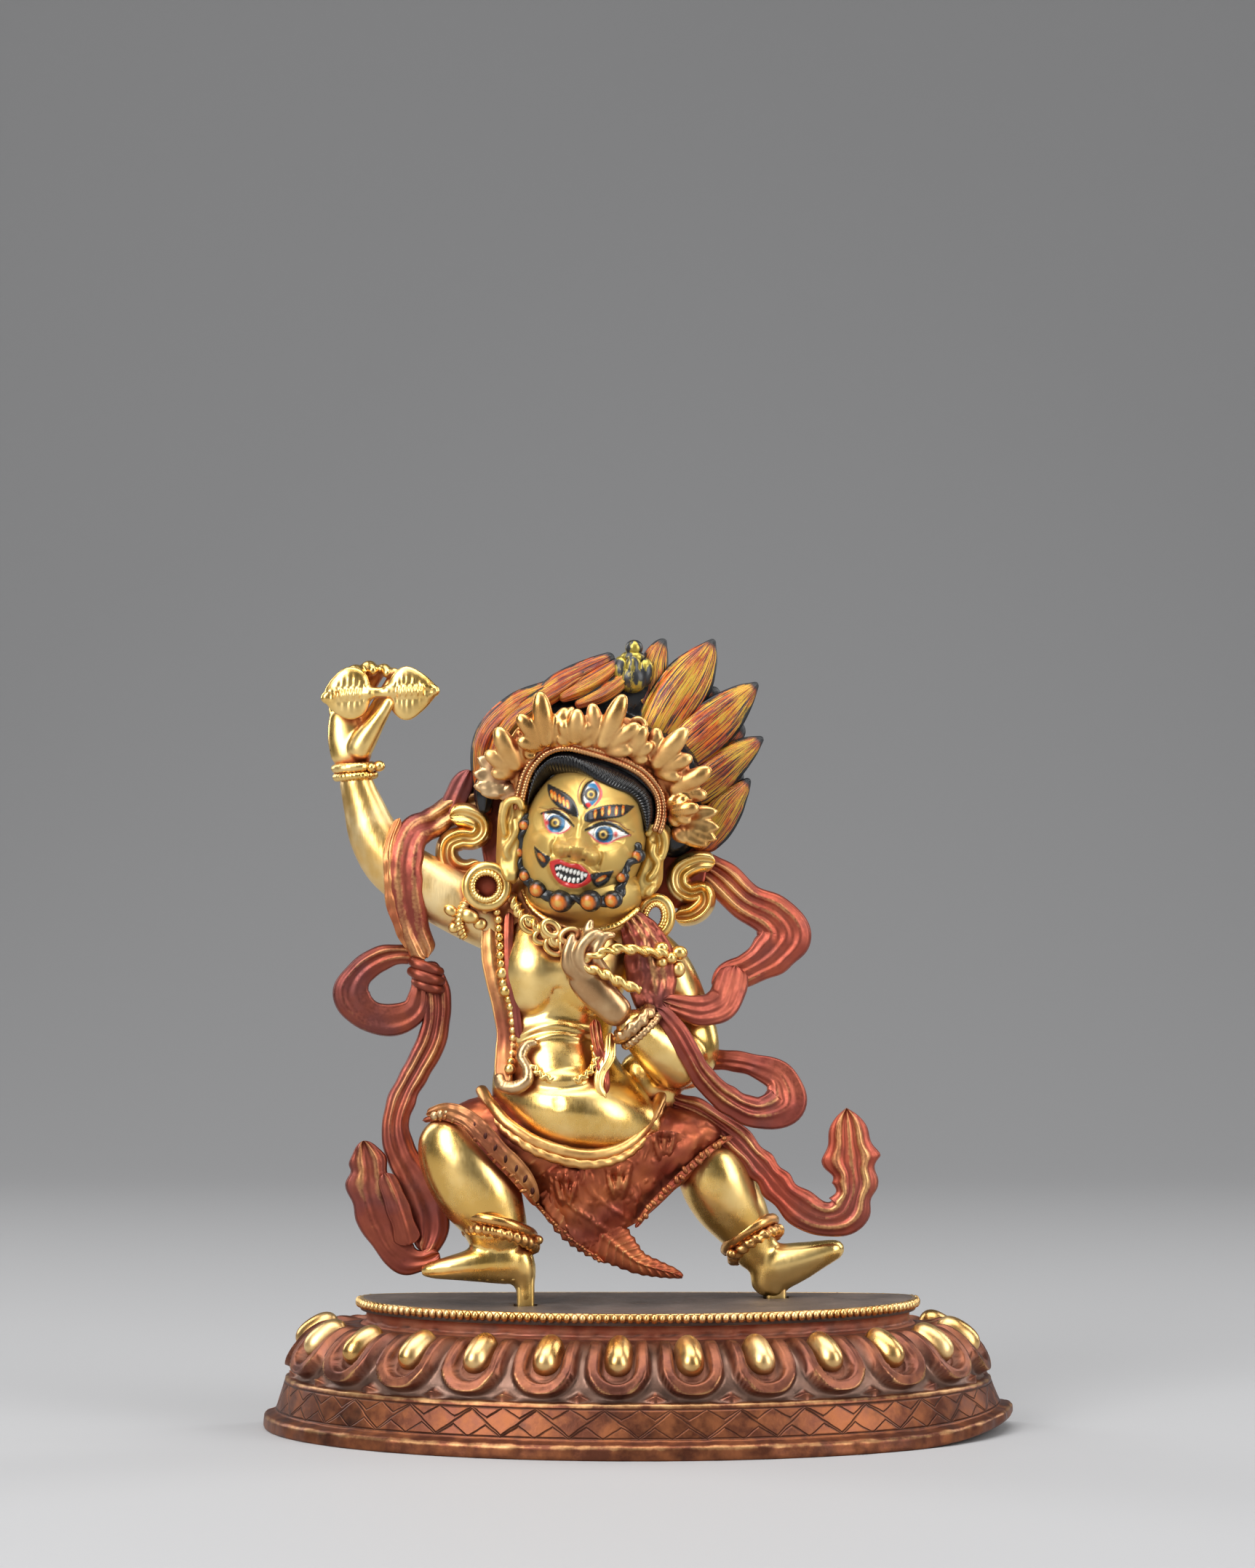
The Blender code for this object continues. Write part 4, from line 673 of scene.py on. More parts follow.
# The head: an egg leaning to its left, its features raised and painted on the front.
head = {"centre": (-8.4, -4.5, 69.2), "radii": (9.6, 9.0, 12.0), "lean": 14, "rows": 164, "front": 146,
        "back": 34}
brows = {"right": [(-13.8, 77.8), (-13.3, 77.6), (-12.1, 77.0), (-10.9, 76.3), (-9.9, 75.4), (-9.3, 74.3),
                   (-9.0, 73.2), (-9.2, 72.6), (-9.9, 72.8), (-10.9, 73.3), (-12.0, 74.0), (-12.9, 74.8),
                   (-13.5, 75.7), (-13.8, 76.7)],
         "left": [(-8.2, 72.6), (-8.0, 73.2), (-7.2, 73.8), (-6.0, 74.2), (-4.6, 74.5), (-2.8, 74.6),
                  (-0.6, 74.4), (-0.9, 73.9), (-1.8, 73.1), (-2.8, 72.6), (-4.4, 72.4), (-6.0, 72.1),
                  (-7.3, 71.8), (-8.1, 72.0)],
         "rightDabs": [(-13.1, 76.1), (-12.6, 75.8), (-11.9, 75.4), (-11.3, 75.0), (-10.7, 74.6)],
         "leftDabs": [(-6.5, 73.1), (-5.4, 73.5), (-4.4, 73.6), (-3.3, 73.6), (-2.3, 73.7)]}
eyes = {"right": [(-14.4, 73.2), (-13.8, 73.0), (-12.9, 73.2), (-11.9, 72.9), (-11.1, 72.3), (-10.3, 71.2),
                  (-10.7, 70.7), (-11.7, 70.2), (-12.7, 70.2), (-13.5, 70.5), (-14.1, 71.5)],
        "left": [(-7.6, 70.3), (-6.8, 70.9), (-5.8, 71.3), (-4.6, 71.3), (-3.4, 70.9), (-2.4, 70.4),
                 (-1.2, 69.9), (-2.4, 69.6), (-3.4, 69.2), (-4.4, 68.7), (-5.6, 68.7), (-6.5, 69.2),
                 (-7.1, 69.8)],
        "rightLid": [(-14.7, 73.2), (-13.8, 73.4), (-12.7, 73.5), (-11.7, 73.1), (-10.8, 72.4),
                     (-9.8, 71.3)],
        "leftLid": [(-8.0, 70.7), (-7.0, 71.1), (-5.8, 71.6), (-4.6, 71.7), (-3.4, 71.3), (-2.4, 70.7),
                    (-1.2, 69.9)],
        "rightCrease": [(-15.0, 74.1), (-13.9, 73.8), (-12.7, 74.0), (-11.7, 73.8), (-10.7, 73.1),
                        (-9.7, 72.0)],
        "leftCrease": [(-7.7, 71.4), (-6.6, 72.0), (-5.4, 72.2), (-4.0, 72.1), (-2.8, 71.7), (-1.8, 70.9),
                       (-0.6, 70.4)],
        "irises": [(-12.6, 71.8), (-5.3, 70.0)],
        "third": [(-6.8, 78.1), (-6.2, 77.3), (-5.9, 76.5), (-6.1, 75.5), (-6.8, 74.6), (-7.7, 74.0),
                  (-8.1, 74.5), (-8.4, 75.4), (-8.3, 76.5), (-7.7, 77.6)],
        "thirdLid": [(-6.9, 78.2), (-7.7, 77.7), (-8.3, 76.6), (-8.5, 75.5), (-8.1, 74.4), (-7.7, 74.0)],
        "thirdCrease": [(-7.9, 78.6), (-8.7, 77.7), (-9.1, 76.5), (-9.1, 75.4), (-8.8, 74.5)],
        "thirdEdge": [(-6.5, 78.0), (-5.9, 77.2), (-5.6, 76.4), (-5.8, 75.4), (-6.6, 74.4)]}
lips = {"outer": [(-13.5, 65.7), (-12.9, 66.1), (-12.0, 66.3), (-11.1, 65.9), (-10.3, 65.6), (-9.3, 65.6),
                  (-8.4, 65.2), (-7.6, 64.4), (-6.9, 63.5), (-7.3, 62.7), (-8.3, 62.1), (-9.5, 61.8),
                  (-10.7, 61.9), (-11.9, 62.5), (-12.8, 63.5), (-13.3, 64.6)],
        "inner": [(-12.7, 65.2), (-11.9, 65.5), (-10.9, 65.1), (-10.1, 64.9), (-9.3, 64.8), (-8.5, 64.4),
                  (-7.7, 64.2), (-7.8, 63.4), (-8.5, 62.7), (-9.5, 62.5), (-10.7, 62.7), (-11.7, 63.1),
                  (-12.4, 64.0)],
        "teeth": [(-12.35, 64.85, 0.26, 0.36), (-11.85, 64.95, 0.27, 0.42), (-11.3, 64.78, 0.27, 0.42),
                  (-10.75, 64.6, 0.28, 0.42), (-10.18, 64.42, 0.28, 0.42), (-9.62, 64.28, 0.28, 0.42),
                  (-9.08, 64.12, 0.27, 0.42), (-8.52, 63.98, 0.26, 0.40), (-8.0, 63.82, 0.25, 0.36),
                  (-12.15, 63.95, 0.24, 0.34), (-11.7, 63.62, 0.25, 0.38), (-11.1, 63.32, 0.27, 0.40),
                  (-10.45, 63.12, 0.28, 0.42), (-9.8, 63.02, 0.28, 0.42), (-9.12, 63.08, 0.27, 0.40),
                  (-8.5, 63.38, 0.25, 0.36)]}
moustache = {"right": [(-15.8, 68.3), (-15.2, 67.8), (-14.3, 67.1), (-13.5, 66.7), (-13.3, 66.3),
                       (-13.8, 65.4), (-14.5, 64.9), (-15.2, 65.7), (-15.6, 66.7), (-15.8, 67.6)],
             "left": [(-7.2, 64.0), (-6.4, 64.2), (-5.2, 64.3), (-3.7, 64.5), (-4.1, 63.6), (-4.6, 62.7),
                      (-5.4, 62.1), (-6.2, 61.9), (-6.9, 62.5), (-7.2, 63.4)],
             "dabs": [(-14.7, 66.5, 0.34, 0.95, -38), (-5.6, 63.3, 0.34, 0.95, 62)]}
features = {
    "bridge": [(-8.3, 75.0), (-8.8, 72.6), (-9.1, 70.0), (-9.3, 68.2)],
    "nose": [(-9.4, 67.7, 2.0, 1.8, 1.1), (-11.5, 67.7, 1.45, 1.35, 1.65), (-7.2, 66.6, 1.45, 1.35, 1.65)],
    "wings": [[(-12.5, 69.3), (-13.1, 68.1), (-12.6, 66.8)], [(-6.3, 68.1), (-5.6, 66.8), (-6.1, 65.6)]],
    "nostrils": [(-10.5, 66.75), (-8.3, 66.2)], "nostrilPaint": [(-10.5, 66.72), (-8.3, 66.17)],
    "cheeks": [(-13.6, 68.3, 2.9, 2.6, 1.05), (-3.9, 66.2, 3.2, 2.8, 1.05)],
    "folds": [[(-12.4, 68.2), (-13.3, 66.9), (-13.9, 65.6)], [(-6.4, 66.9), (-5.9, 65.6), (-6.2, 64.6)]],
    "lipAndChin": [(-9.9, 66.3, 1.0, 0.7, -0.25), (-10.3, 60.8, 2.6, 1.7, 0.9)],
    "thirdBulge": (-7.3, 76.1, 1.5, 2.3, 0.55), "thirdSide": [(-9.6, 79.0), (-8.9, 76.4), (-8.5, 74.6)],
    "thirdIris": (-7.15, 76.1)}
faceColours = {"gold": (0.60, 0.395, 0.110), "black": (0.012, 0.012, 0.012), "blue": (0.006, 0.085, 0.19),
               "white": (0.78, 0.78, 0.72), "sky": (0.012, 0.15, 0.31), "red": (0.50, 0.020, 0.018),
               "dab": (0.52, 0.125, 0.010), "gilt": (0.62, 0.40, 0.09), "pink": (0.62, 0.10, 0.10),
               "brown": (0.16, 0.035, 0.012)}


def headLocal(x, z):  # across and up from the head's middle, turned with its lean
    a = math.radians(head["lean"])
    u, w = x - head["centre"][0], z - head["centre"][2]
    return u * math.cos(a) - w * math.sin(a), u * math.sin(a) + w * math.cos(a)


def headFront(x, z):  # depth of the egg's front under an (x, z)
    u, w = headLocal(np.asarray(x, float), np.asarray(z, float))
    rx, ry, rz = head["radii"]
    return head["centre"][1] - ry * np.sqrt(np.clip(1 - (u / rx) ** 2 - (w / rz) ** 2, 0.02, 1))


def dome(x, z, cx, cz, rx, rz, rise, tilt=0.0, power=0.8):  # rise * (1 - d^2)^power inside a tilted oval
    a = math.radians(tilt)
    u = (x - cx) * math.cos(a) - (z - cz) * math.sin(a)
    w = (x - cx) * math.sin(a) + (z - cz) * math.cos(a)
    return rise * np.clip(1 - (u / rx) ** 2 - (w / rz) ** 2, 0, 1) ** power


def headMesh():
    t = np.linspace(-1, 1, head["rows"])
    level = 0.8 * t + 0.2 * np.sin(t * math.pi / 2)
    level = np.clip(level, -0.9985, 0.9985)
    c = np.concatenate([np.linspace(-1, 1, head["front"]),
                        np.cos(np.linspace(0, math.pi, head["back"] + 2))[1:-1]])
    s = np.sqrt(np.clip(1 - c**2, 0, 1)) * np.where(np.arange(len(c)) < head["front"], -1, 1)
    across = np.sqrt(1 - level**2)[:, None]
    rx, ry, rz = head["radii"]
    a = math.radians(head["lean"])
    u, w = rx * across * c, rz * level[:, None] * np.ones_like(c)
    x = head["centre"][0] + u * math.cos(a) + w * math.sin(a)
    z = head["centre"][2] - u * math.sin(a) + w * math.cos(a)
    y = head["centre"][1] + ry * across * s
    flat = np.stack([x.ravel(), z.ravel()], 1)
    front = (s < -0.05) * np.ones_like(x)
    inFace = front.ravel() > 0
    rise = np.zeros(len(flat))
    colour = np.tile(np.array(faceColours["gold"]), (len(flat), 1))
    gild = np.ones(len(flat))
    p = flat[inFace]

    def coat(mask, key, metal=0.0):  # lay a colour where the mask is near one
        m = np.clip(mask, 0, 1)[:, None]
        colour[inFace] = colour[inFace] * (1 - m) + np.array(faceColours[key]) * m
        gild[inFace] = gild[inFace] * (1 - m[:, 0]) + metal * m[:, 0]

    def within(rows, soft=0.05):
        return ease(-outlineDistance(p, through(rows, len(rows) * 4, True)), -soft, soft)

    def lineDistance(rows, steps):
        return outlineDistance(p, through(rows, steps), False)[0]

    def stroke(rows, thick, taper=0.5):
        d, along = outlineDistance(p, through(rows, len(rows) * 5), False)
        width = thick * (1 - taper + taper * np.sin(math.pi * np.clip(along, 0.04, 0.96)))
        return ease(width - d, -0.05, 0.05)

    px, pz = p[:, 0], p[:, 1]
    lean = head["lean"]
    bump = np.zeros(len(p))
    for key in ("right", "left"):
        d = outlineDistance(p, through(brows[key], 56, True))
        bump += 0.55 * ease(-d, -1.2, 0.3) + 0.20 * ease(-d, -0.1, 0.3)
    for (cx, cz), key in zip(eyes["irises"], ("right", "left")):
        bump -= dome(px, pz, cx, cz, 3.4, 2.5, 0.75, lean)
        d = outlineDistance(p, through(eyes[key], 60, True))
        bump += 1.15 * ease(-d, -0.5, 1.5)
        bump += 0.28 * bell(lineDistance(eyes[key + "Lid"], 40), 0, 0.30)
        bump -= 0.18 * bell(lineDistance(eyes[key + "Crease"], 40), 0, 0.22)
    ridge, along = outlineDistance(p, through(features["bridge"], 40), False)
    bump += (0.65 + 2.5 * along**1.4) * bell(ridge, 0, 0.90 + 0.95 * along)
    bump += sum(dome(px, pz, *row, lean) for row in features["nose"])
    for wing in features["wings"]:
        bump -= 0.45 * bell(lineDistance(wing, 20), 0, 0.38)
    for cx, cz in features["nostrils"]:
        bump -= dome(px, pz, cx, cz, 0.42, 0.30, 0.7, lean)
    bump += sum(dome(px, pz, *row, lean) for row in features["cheeks"])
    for fold in features["folds"]:
        bump -= 0.30 * bell(lineDistance(fold, 20), 0, 0.35)
    bump += sum(dome(px, pz, *row, lean) for row in features["lipAndChin"])
    outer = outlineDistance(p, through(lips["outer"], 80, True))
    inner = outlineDistance(p, through(lips["inner"], 70, True))
    bump += 0.95 * ease(-outer, -0.7, 0.45) - 0.75 * ease(-inner, -0.05, 0.25)
    for cx, cz, rx2, rz2 in lips["teeth"]:
        bump += dome(px, pz, cx, cz, rx2 * 1.1, rz2 * 1.1, 0.42, lean, 0.5)
    for key in ("right", "left"):
        bump += 0.42 * ease(-outlineDistance(p, through(moustache[key], 44, True)), -0.2, 0.4)
    bump += dome(px, pz, *features["thirdBulge"], lean) + 0.16 * bell(lineDistance(eyes["thirdLid"], 40), 0,
        0.25)
    bump += 0.10 * bell(outlineDistance(p, features["thirdSide"], False)[0], 0, 0.5)
    rise[inFace] = bump

    for key in ("right", "left"):
        coat(within(brows[key]), "black")
        tilt = -12 if key == "right" else 4
        for cx, cz in brows[key + "Dabs"]:
            coat(ease(dome(px, pz, cx, cz, 0.25, 0.80, 1, tilt), 0.02, 0.25), "dab", 0.4)
            coat(ease(dome(px, pz, cx - 0.02, cz - 0.15, 0.15, 0.50, 1, tilt), 0.1, 0.4), "gilt", 0.6)
    for (key, corner, lower), (cx, cz) in zip((("right", -1.35, 5), ("left", 1.9, 6)), eyes["irises"]):
        opened = within(eyes[key])
        coat(opened, "white")
        r = np.hypot(px - cx, pz - cz)
        lit = ease(0.7 * (px - cx) - 0.7 * (pz - cz), -0.9, 0.2)
        coat(opened * ease(1.50 - r, -0.10, 0.10) * lit, "sky")
        coat(opened * ease(1.20 - r, -0.05, 0.05), "blue")
        coat(opened * bell(r, 1.50, 0.07) * 0.8, "black")
        coat(opened * ease(0.94 - r, -0.05, 0.05), "black")
        coat(opened * bell(r, 0.47, 0.13), "gilt", 0.6)
        coat(opened * dome(px, pz, cx + corner, cz, 0.45, 0.6, 1), "red")
        coat(stroke(eyes[key + "Lid"], 0.33), "black")
        coat(stroke(eyes[key][lower:] + [eyes[key][0]], 0.13, 0.3), "pink")
        coat(stroke(eyes[key + "Crease"], 0.10, 0.6), "brown")
    third = within(eyes["third"])
    coat(third, "white")
    cx, cz = features["thirdIris"]
    r = np.hypot(px - cx, pz - cz)
    coat(third * ease(1.7 - r, -0.2, 0.1) * ease((px - cx) * 0.5 + np.abs(pz - cz) - 0.9, -0.3, 0.3), "sky")
    coat(third * ease(dome(px, pz, -7.6, 74.4, 0.5, 0.5, 1), 0, 0.3), "red")
    coat(third * ease(1.02 - r, -0.05, 0.05), "black")
    coat(third * bell(r, 0.46, 0.13), "gilt", 0.6)
    coat(stroke(eyes["thirdLid"], 0.27), "black")
    coat(stroke(eyes["thirdEdge"], 0.20), "pink")
    coat(stroke(eyes["thirdCrease"], 0.09, 0.6), "brown")
    for cx, cz in features["nostrilPaint"]:
        coat(0.8 * ease(dome(px, pz, cx, cz, 0.36, 0.24, 1, lean), 0.0, 0.6), "brown", 0.4)
    coat(within(lips["outer"]), "red")
    coat(within(lips["inner"]), "black")
    for cx, cz, rx2, rz2 in lips["teeth"]:
        coat(ease(dome(px, pz, cx, cz, rx2, rz2, 1, lean), 0.05, 0.3), "white")
    for key in ("right", "left"):
        coat(within(moustache[key]), "black")
    for cx, cz, rx2, rz2, tilt in moustache["dabs"]:
        coat(ease(dome(px, pz, cx, cz, rx2, rz2, 1, tilt), 0.02, 0.3), "dab", 0.4)
        coat(ease(dome(px, pz, cx, cz - 0.1, rx2 * 0.5, rz2 * 0.6, 1, tilt), 0.1, 0.4), "gilt", 0.6)
    y = y - rise.reshape(y.shape) * np.clip(-s, 0, 1) ** 0.5
    marks = {"paint": colour.reshape(*x.shape, 3), "gild": gild.reshape(x.shape)}
    return tubeMesh("head", np.stack([x, y, z], -1), False, marks)


piece("head", headMesh(), facePaint)
piece("jowls", balls("jowls", [(-8.2, -4.4, 61.0, 9.0, 6.8, 5.8, 0)], 64, 40), mattGold)
print("stage: head")

# The beard: curls round the jaw, each a black ball with a gilded orange crown, on a black cord.
beard = {"curls": [(-17.2, 71.5, 0.95), (-18.0, 67.4, 0.95), (-17.1, 63.8, 1.0), (-15.2, 61.7, 1.35),
                   (-11.7, 59.9, 1.7), (-7.2, 59.9, 1.6), (-3.8, 60.1, 1.35), (-2.4, 63.6, 1.0),
                   (-0.1, 66.8, 1.15)],
         "cord": [(-17.0, 73.2), (-17.2, 71.5), (-17.6, 69.8), (-18.0, 67.4), (-17.7, 65.4), (-17.1, 63.8),
                  (-15.2, 61.7), (-11.7, 59.9), (-9.5, 60.3), (-7.2, 59.9), (-3.8, 60.1), (-2.6, 61.8),
                  (-2.4, 63.6), (-1.9, 65.2), (-0.1, 66.8), (-0.3, 68.8)]}


def jawFront(x, z):  # depth of the jaw's front under an (x, z): the head's egg or the jowls' ball
    x, z = np.asarray(x, float), np.asarray(z, float)
    under = -4.4 - 6.8 * np.sqrt(np.clip(1 - ((x + 8.2) / 9.0) ** 2 - ((z - 61.0) / 5.8) ** 2, 0.0, 1))
    return np.minimum(headFront(x, z), under)


def beardMesh():
    rows = [(x, float(jawFront(x, z)) - 0.5, z, r * 1.12, r, r * 1.05, 0) for x, z, r in beard["curls"]]
    curls = balls("curls", rows, 26, 18)
    co = pointsOf(curls)
    n = len(co)
    per = n // len(rows)
    tint = np.zeros((n, 3))
    shine = np.zeros(n)
    for k, (x, y, z, r, _, _, _) in enumerate(rows):
        part = slice(k * per, (k + 1) * per)
        middle = place((x - 0.32 * r, y - r * 0.85, z - 0.22 * r))
        away = np.linalg.norm((co[part] - middle) / (r * stance["unit"]), axis=1)
        warm, gold = ease(0.66 - away, -0.10, 0.10)[:, None], ease(0.26 - away, -0.12, 0.12)[:, None]
        shade = np.array(faceColours["black"]) * (1 - warm) + np.array(faceColours["dab"]) * warm
        tint[part] = shade * (1 - gold) + np.array(faceColours["gilt"]) * gold
        shine[part] = gold[:, 0] * 0.7
    path = [(x, float(jawFront(x, z)) - 0.1, z, 0.80) for x, z in beard["cord"]]
    cord = sweep("cord", path, 170, 16, rope=(2, 14, 0.26))
    black = len(cord.vertices)
    mesh = gather("beard", [curls, cord])
    setMark(mesh, "paint", np.concatenate([tint, np.tile(faceColours["black"], (black, 1))]))
    return setMark(mesh, "gild", np.concatenate([shine, np.zeros(black)]))


piece("beard", beardMesh(), beardPaint)

# The combed hair under the diadem, and the corded diadem band.
hairline = {"outer": [(-16.8, 74.5), (-16.6, 76.5), (-15.8, 79.2), (-14.5, 80.8), (-12.7, 82.0),
                      (-10.5, 82.2), (-8.9, 81.8), (-6.4, 81.2), (-4.0, 80.4), (-1.6, 79.3), (0.3, 78.0),
                      (1.9, 76.1), (2.4, 74.1), (2.2, 72.1), (1.4, 70.5)],
            "inner": [(-16.6, 74.5), (-16.1, 75.5), (-15.0, 77.1), (-13.7, 78.4), (-12.5, 79.1),
                      (-10.5, 79.4), (-8.5, 79.1), (-6.0, 78.0), (-3.6, 76.9), (-1.6, 76.1), (-0.4, 75.1),
                      (0.3, 73.7), (0.7, 72.1), (1.0, 70.5)],
            "band": [(-17.9, 73.6), (-17.4, 76.5), (-16.4, 79.5), (-14.6, 81.8), (-12.6, 82.9),
                     (-10.5, 83.1), (-8.6, 82.7), (-6.1, 82.0), (-3.6, 81.2), (-1.2, 80.1), (0.8, 78.7),
                     (2.6, 76.4), (3.2, 74.1), (3.0, 72.0), (2.4, 70.4)]}


def crownDepth(x):  # the crown stands a little in front of the brow, and falls back at the temples
    return np.interp(x, (-21.0, -18.0, -14.0, -9.4, -4.6, -0.4, 3.0, 6.4, 9.0, 12.0),
                     (-5.2, -7.4, -9.2, -10.2, -9.8, -8.8, -7.2, -5.6, -4.4, -3.6))


def combedHair():  # a roll from the outer line to the inner one, fluted across by cos(2 pi run / 0.55)
    outer, inner = evenly(hairline["outer"], 320), evenly(hairline["inner"], 320)
    s = np.linspace(0, 1, 14)[None]
    across = outer[:, None] * (1 - s[..., None]) + inner[:, None] * s[..., None]
    run = travelled(outer)[:, None]
    roll = 0.80 * np.sin(math.pi * np.clip(s, 0.0, 1)) ** 0.6
    swell = roll + 0.13 * np.cos(2 * math.pi * run / 0.55 + 2.5 * s) * np.sin(math.pi * s)
    outerY, innerY = crownDepth(outer[:, 0]) + 0.5, headFront(inner[:, 0], inner[:, 1]) + 0.1
    y = outerY[:, None] * (1 - s) + innerY[:, None] * s
    front = np.stack([across[..., 0], y - swell, across[..., 1]], -1)
    back = front.copy()
    back[..., 1] = y + 1.2
    return slabMesh("combedHair", front, back)


piece("combedHair", combedHair(), gloss)


cords = []
for lift, reach in ((0.0, 0.02), (0.78, 0.10)):
    # two ribbed cords side by side, the outer one a little further back
    line = evenly(hairline["band"], 40)
    out = np.stack([-np.gradient(line[:, 1]), np.gradient(line[:, 0])], 1)
    x, z = (line + unit(out) * lift).T
    rows = np.stack([x, crownDepth(x) - 0.1 + reach, z, 0 * x + 0.46], 1)
    cords.append(sweep("cord", rows, 312, 12, rope=(1, 76, 0.10)))
piece("diademBand", gather("band", cords), bandGold)

# The crown's leaves and scrolls, fused into one casting.
crown = {"fans": [(-18.2, 79.6, -26, 7.6, 1.75), (-13.8, 83.2, -8, 8.8, 1.75), (-9.6, 83.6, 4, 5.6, 1.5),
                  (-5.8, 83.0, 24, 9.2, 1.75), (-1.4, 81.8, 28, 5.4, 1.45), (2.2, 80.0, 40, 8.2, 1.75),
                  (4.8, 76.4, 60, 7.4, 1.65), (4.8, 73.4, 80, 4.6, 1.3)],
         "wall": [(-18.6, 76.4, -20.9, 80.6), (-17.6, 79.6, -20.4, 84.6), (-16.2, 82.0, -18.4, 87.6),
                  (-14.4, 83.2, -14.8, 89.4), (-11.6, 83.8, -11.8, 88.6), (-8.6, 83.6, -8.6, 88.8),
                  (-5.6, 82.6, -4.6, 89.4), (-2.8, 81.8, -0.8, 89.0), (0.0, 80.4, 2.4, 86.4),
                  (2.2, 78.6, 6.6, 84.2), (3.4, 76.6, 8.8, 80.8), (4.0, 74.6, 9.8, 77.2),
                  (4.1, 72.6, 8.6, 74.6)],
         "scrolls": [(-1.0, 83.4, 1.7, 0.62, 20, 330), (-0.2, 86.6, 1.35, 0.60, -60, 320),
                     (-9.6, 88.0, 1.2, 0.55, 90, 320), (-17.2, 85.6, 1.0, 0.5, 160, 300),
                     (5.0, 81.0, 1.1, 0.5, 0, 300), (-16.2, 82.4, 1.1, 0.5, 60, 300)]}


def crownMesh():
    # a wall behind, and fans of five plump lobes: a long middle one, and shorter ones leaning 34
    # and 68 degrees behind it
    forms = []
    lobe = ((0.0, 0.2, 0.50, 0.50), (0.25, 0.7, 0.82, 0.72), (0.52, 1.2, 0.98, 0.90),
            (0.76, 1.5, 0.86, 0.80), (0.91, 1.5, 0.60, 0.56), (1.0, 1.3, 0.30, 0.30))
    for k, (x, z, tilt, long, wide) in enumerate(crown["fans"]):
        for lean, reach, broad in ((0, 1.0, 1.0), (-34, 0.78, 0.86), (34, 0.78, 0.86), (-68, 0.55, 0.78),
                                   (68, 0.55, 0.78)):
            a, size = math.radians(tilt + lean), long * reach
            y = float(crownDepth(x)) - 0.5 - 0.35 * (k % 2) + 0.022 * abs(lean)
            rows = [(x + t * size * math.sin(a), y - lift, z + t * size * math.cos(a),
                     w * 0.94 * wide * broad, d * 0.66 * wide * broad) for t, lift, w, d in lobe]
            forms.append(sweep("lobe", rows, 26, 18))
    wall = evenly(crown["wall"], 90)
    t = np.linspace(0, 0.82, 24)[None, :, None]
    flat = wall[:, None, :2] * (1 - t) + wall[:, None, 2:] * t
    x, z, t = flat[..., 0], flat[..., 1], t[..., 0]
    y = crownDepth(wall[:, 0])[:, None] + 0.3 + 0.9 * t - 0.35 * np.sin(9 * t) * np.cos(2.1 * x)
    forms.append(slabMesh("wall", np.stack([x, y, z], -1), np.stack([x, y + 4.0, z], -1)))
    for x, z, r, thick, start, angle in crown["scrolls"]:
        path = ringPath(x, float(crownDepth(x)) - 1.0, z, r, r, thick, 0, 26, start, angle)
        closing = np.linspace(1, 0.30, 26)
        path[:, 0] = x + (path[:, 0] - x) * closing
        path[:, 2] = z + (path[:, 2] - z) * closing
        forms.append(sweep("scroll", path, 50, 12))
    return fused("crown", forms, 0.00023, 2)


piece("crown", crownMesh(), crownGold)

# Leafy knots at the temples.
temples = {"right": [(-21.2, 78.6, 5.4, 1.5, -80), (-20.6, 77.0, 4.6, 1.3, -104),
                     (-21.6, 80.2, 4.4, 1.3, -62), (-19.6, 79.4, 4.0, 1.5, -30),
                     (-22.4, 77.4, 3.6, 1.1, -92), (-18.8, 77.0, 3.6, 1.4, -130)],
           "left": [(8.0, 71.6, 6.0, 1.4, 98), (7.2, 70.2, 5.2, 1.3, 120), (8.8, 73.0, 4.6, 1.2, 80),
                    (6.2, 72.6, 4.0, 1.4, 60), (9.2, 70.2, 4.0, 1.1, 110), (6.0, 70.6, 3.4, 1.2, 140)]}
for side, y in (("right", -5.6), ("left", -4.2)):
    forms = [leaf(x, y, z, long, wide * 1.15, tilt, 1.3, 0.5, 0.3) for x, z, long, wide,
             tilt in temples[side]]
    piece(side + "TempleKnot", fused("knot", forms, 0.00019, 2), wornGold if side == "right" else crownGold)
print("stage: crown")

# Ears: flat plates with a raised rim and two hollows; rings of two thick cords; red plates behind them.
ears = {"right": {"outer": [(-19.0, 76.2), (-20.8, 75.0), (-21.3, 72.5), (-21.5, 69.0), (-21.6, 66.0),
                            (-21.2, 63.6), (-20.0, 62.4)],
                  "inner": [(-17.2, 76.0), (-16.8, 74.5), (-16.9, 72.0), (-17.4, 69.0), (-18.0, 66.0),
                            (-18.0, 64.0), (-18.8, 62.4)], "y": (-5.4, -9.0),
                  "hollows": [(-18.8, 73.2, 0.95)]},
        "left": {"outer": [(2.4, 72.2), (4.2, 71.6), (5.1, 70.4), (4.6, 68.2), (3.9, 66.0), (3.6, 62.6),
                           (1.8, 60.2)],
                 "inner": [(1.0, 71.2), (0.9, 70.0), (1.1, 68.4), (0.6, 66.0), (-0.2, 64.0), (-0.8, 62.3),
                           (0.4, 60.0)], "y": (-4.2, -7.6),
                 "hollows": [(2.9, 69.0, 0.95)]}}


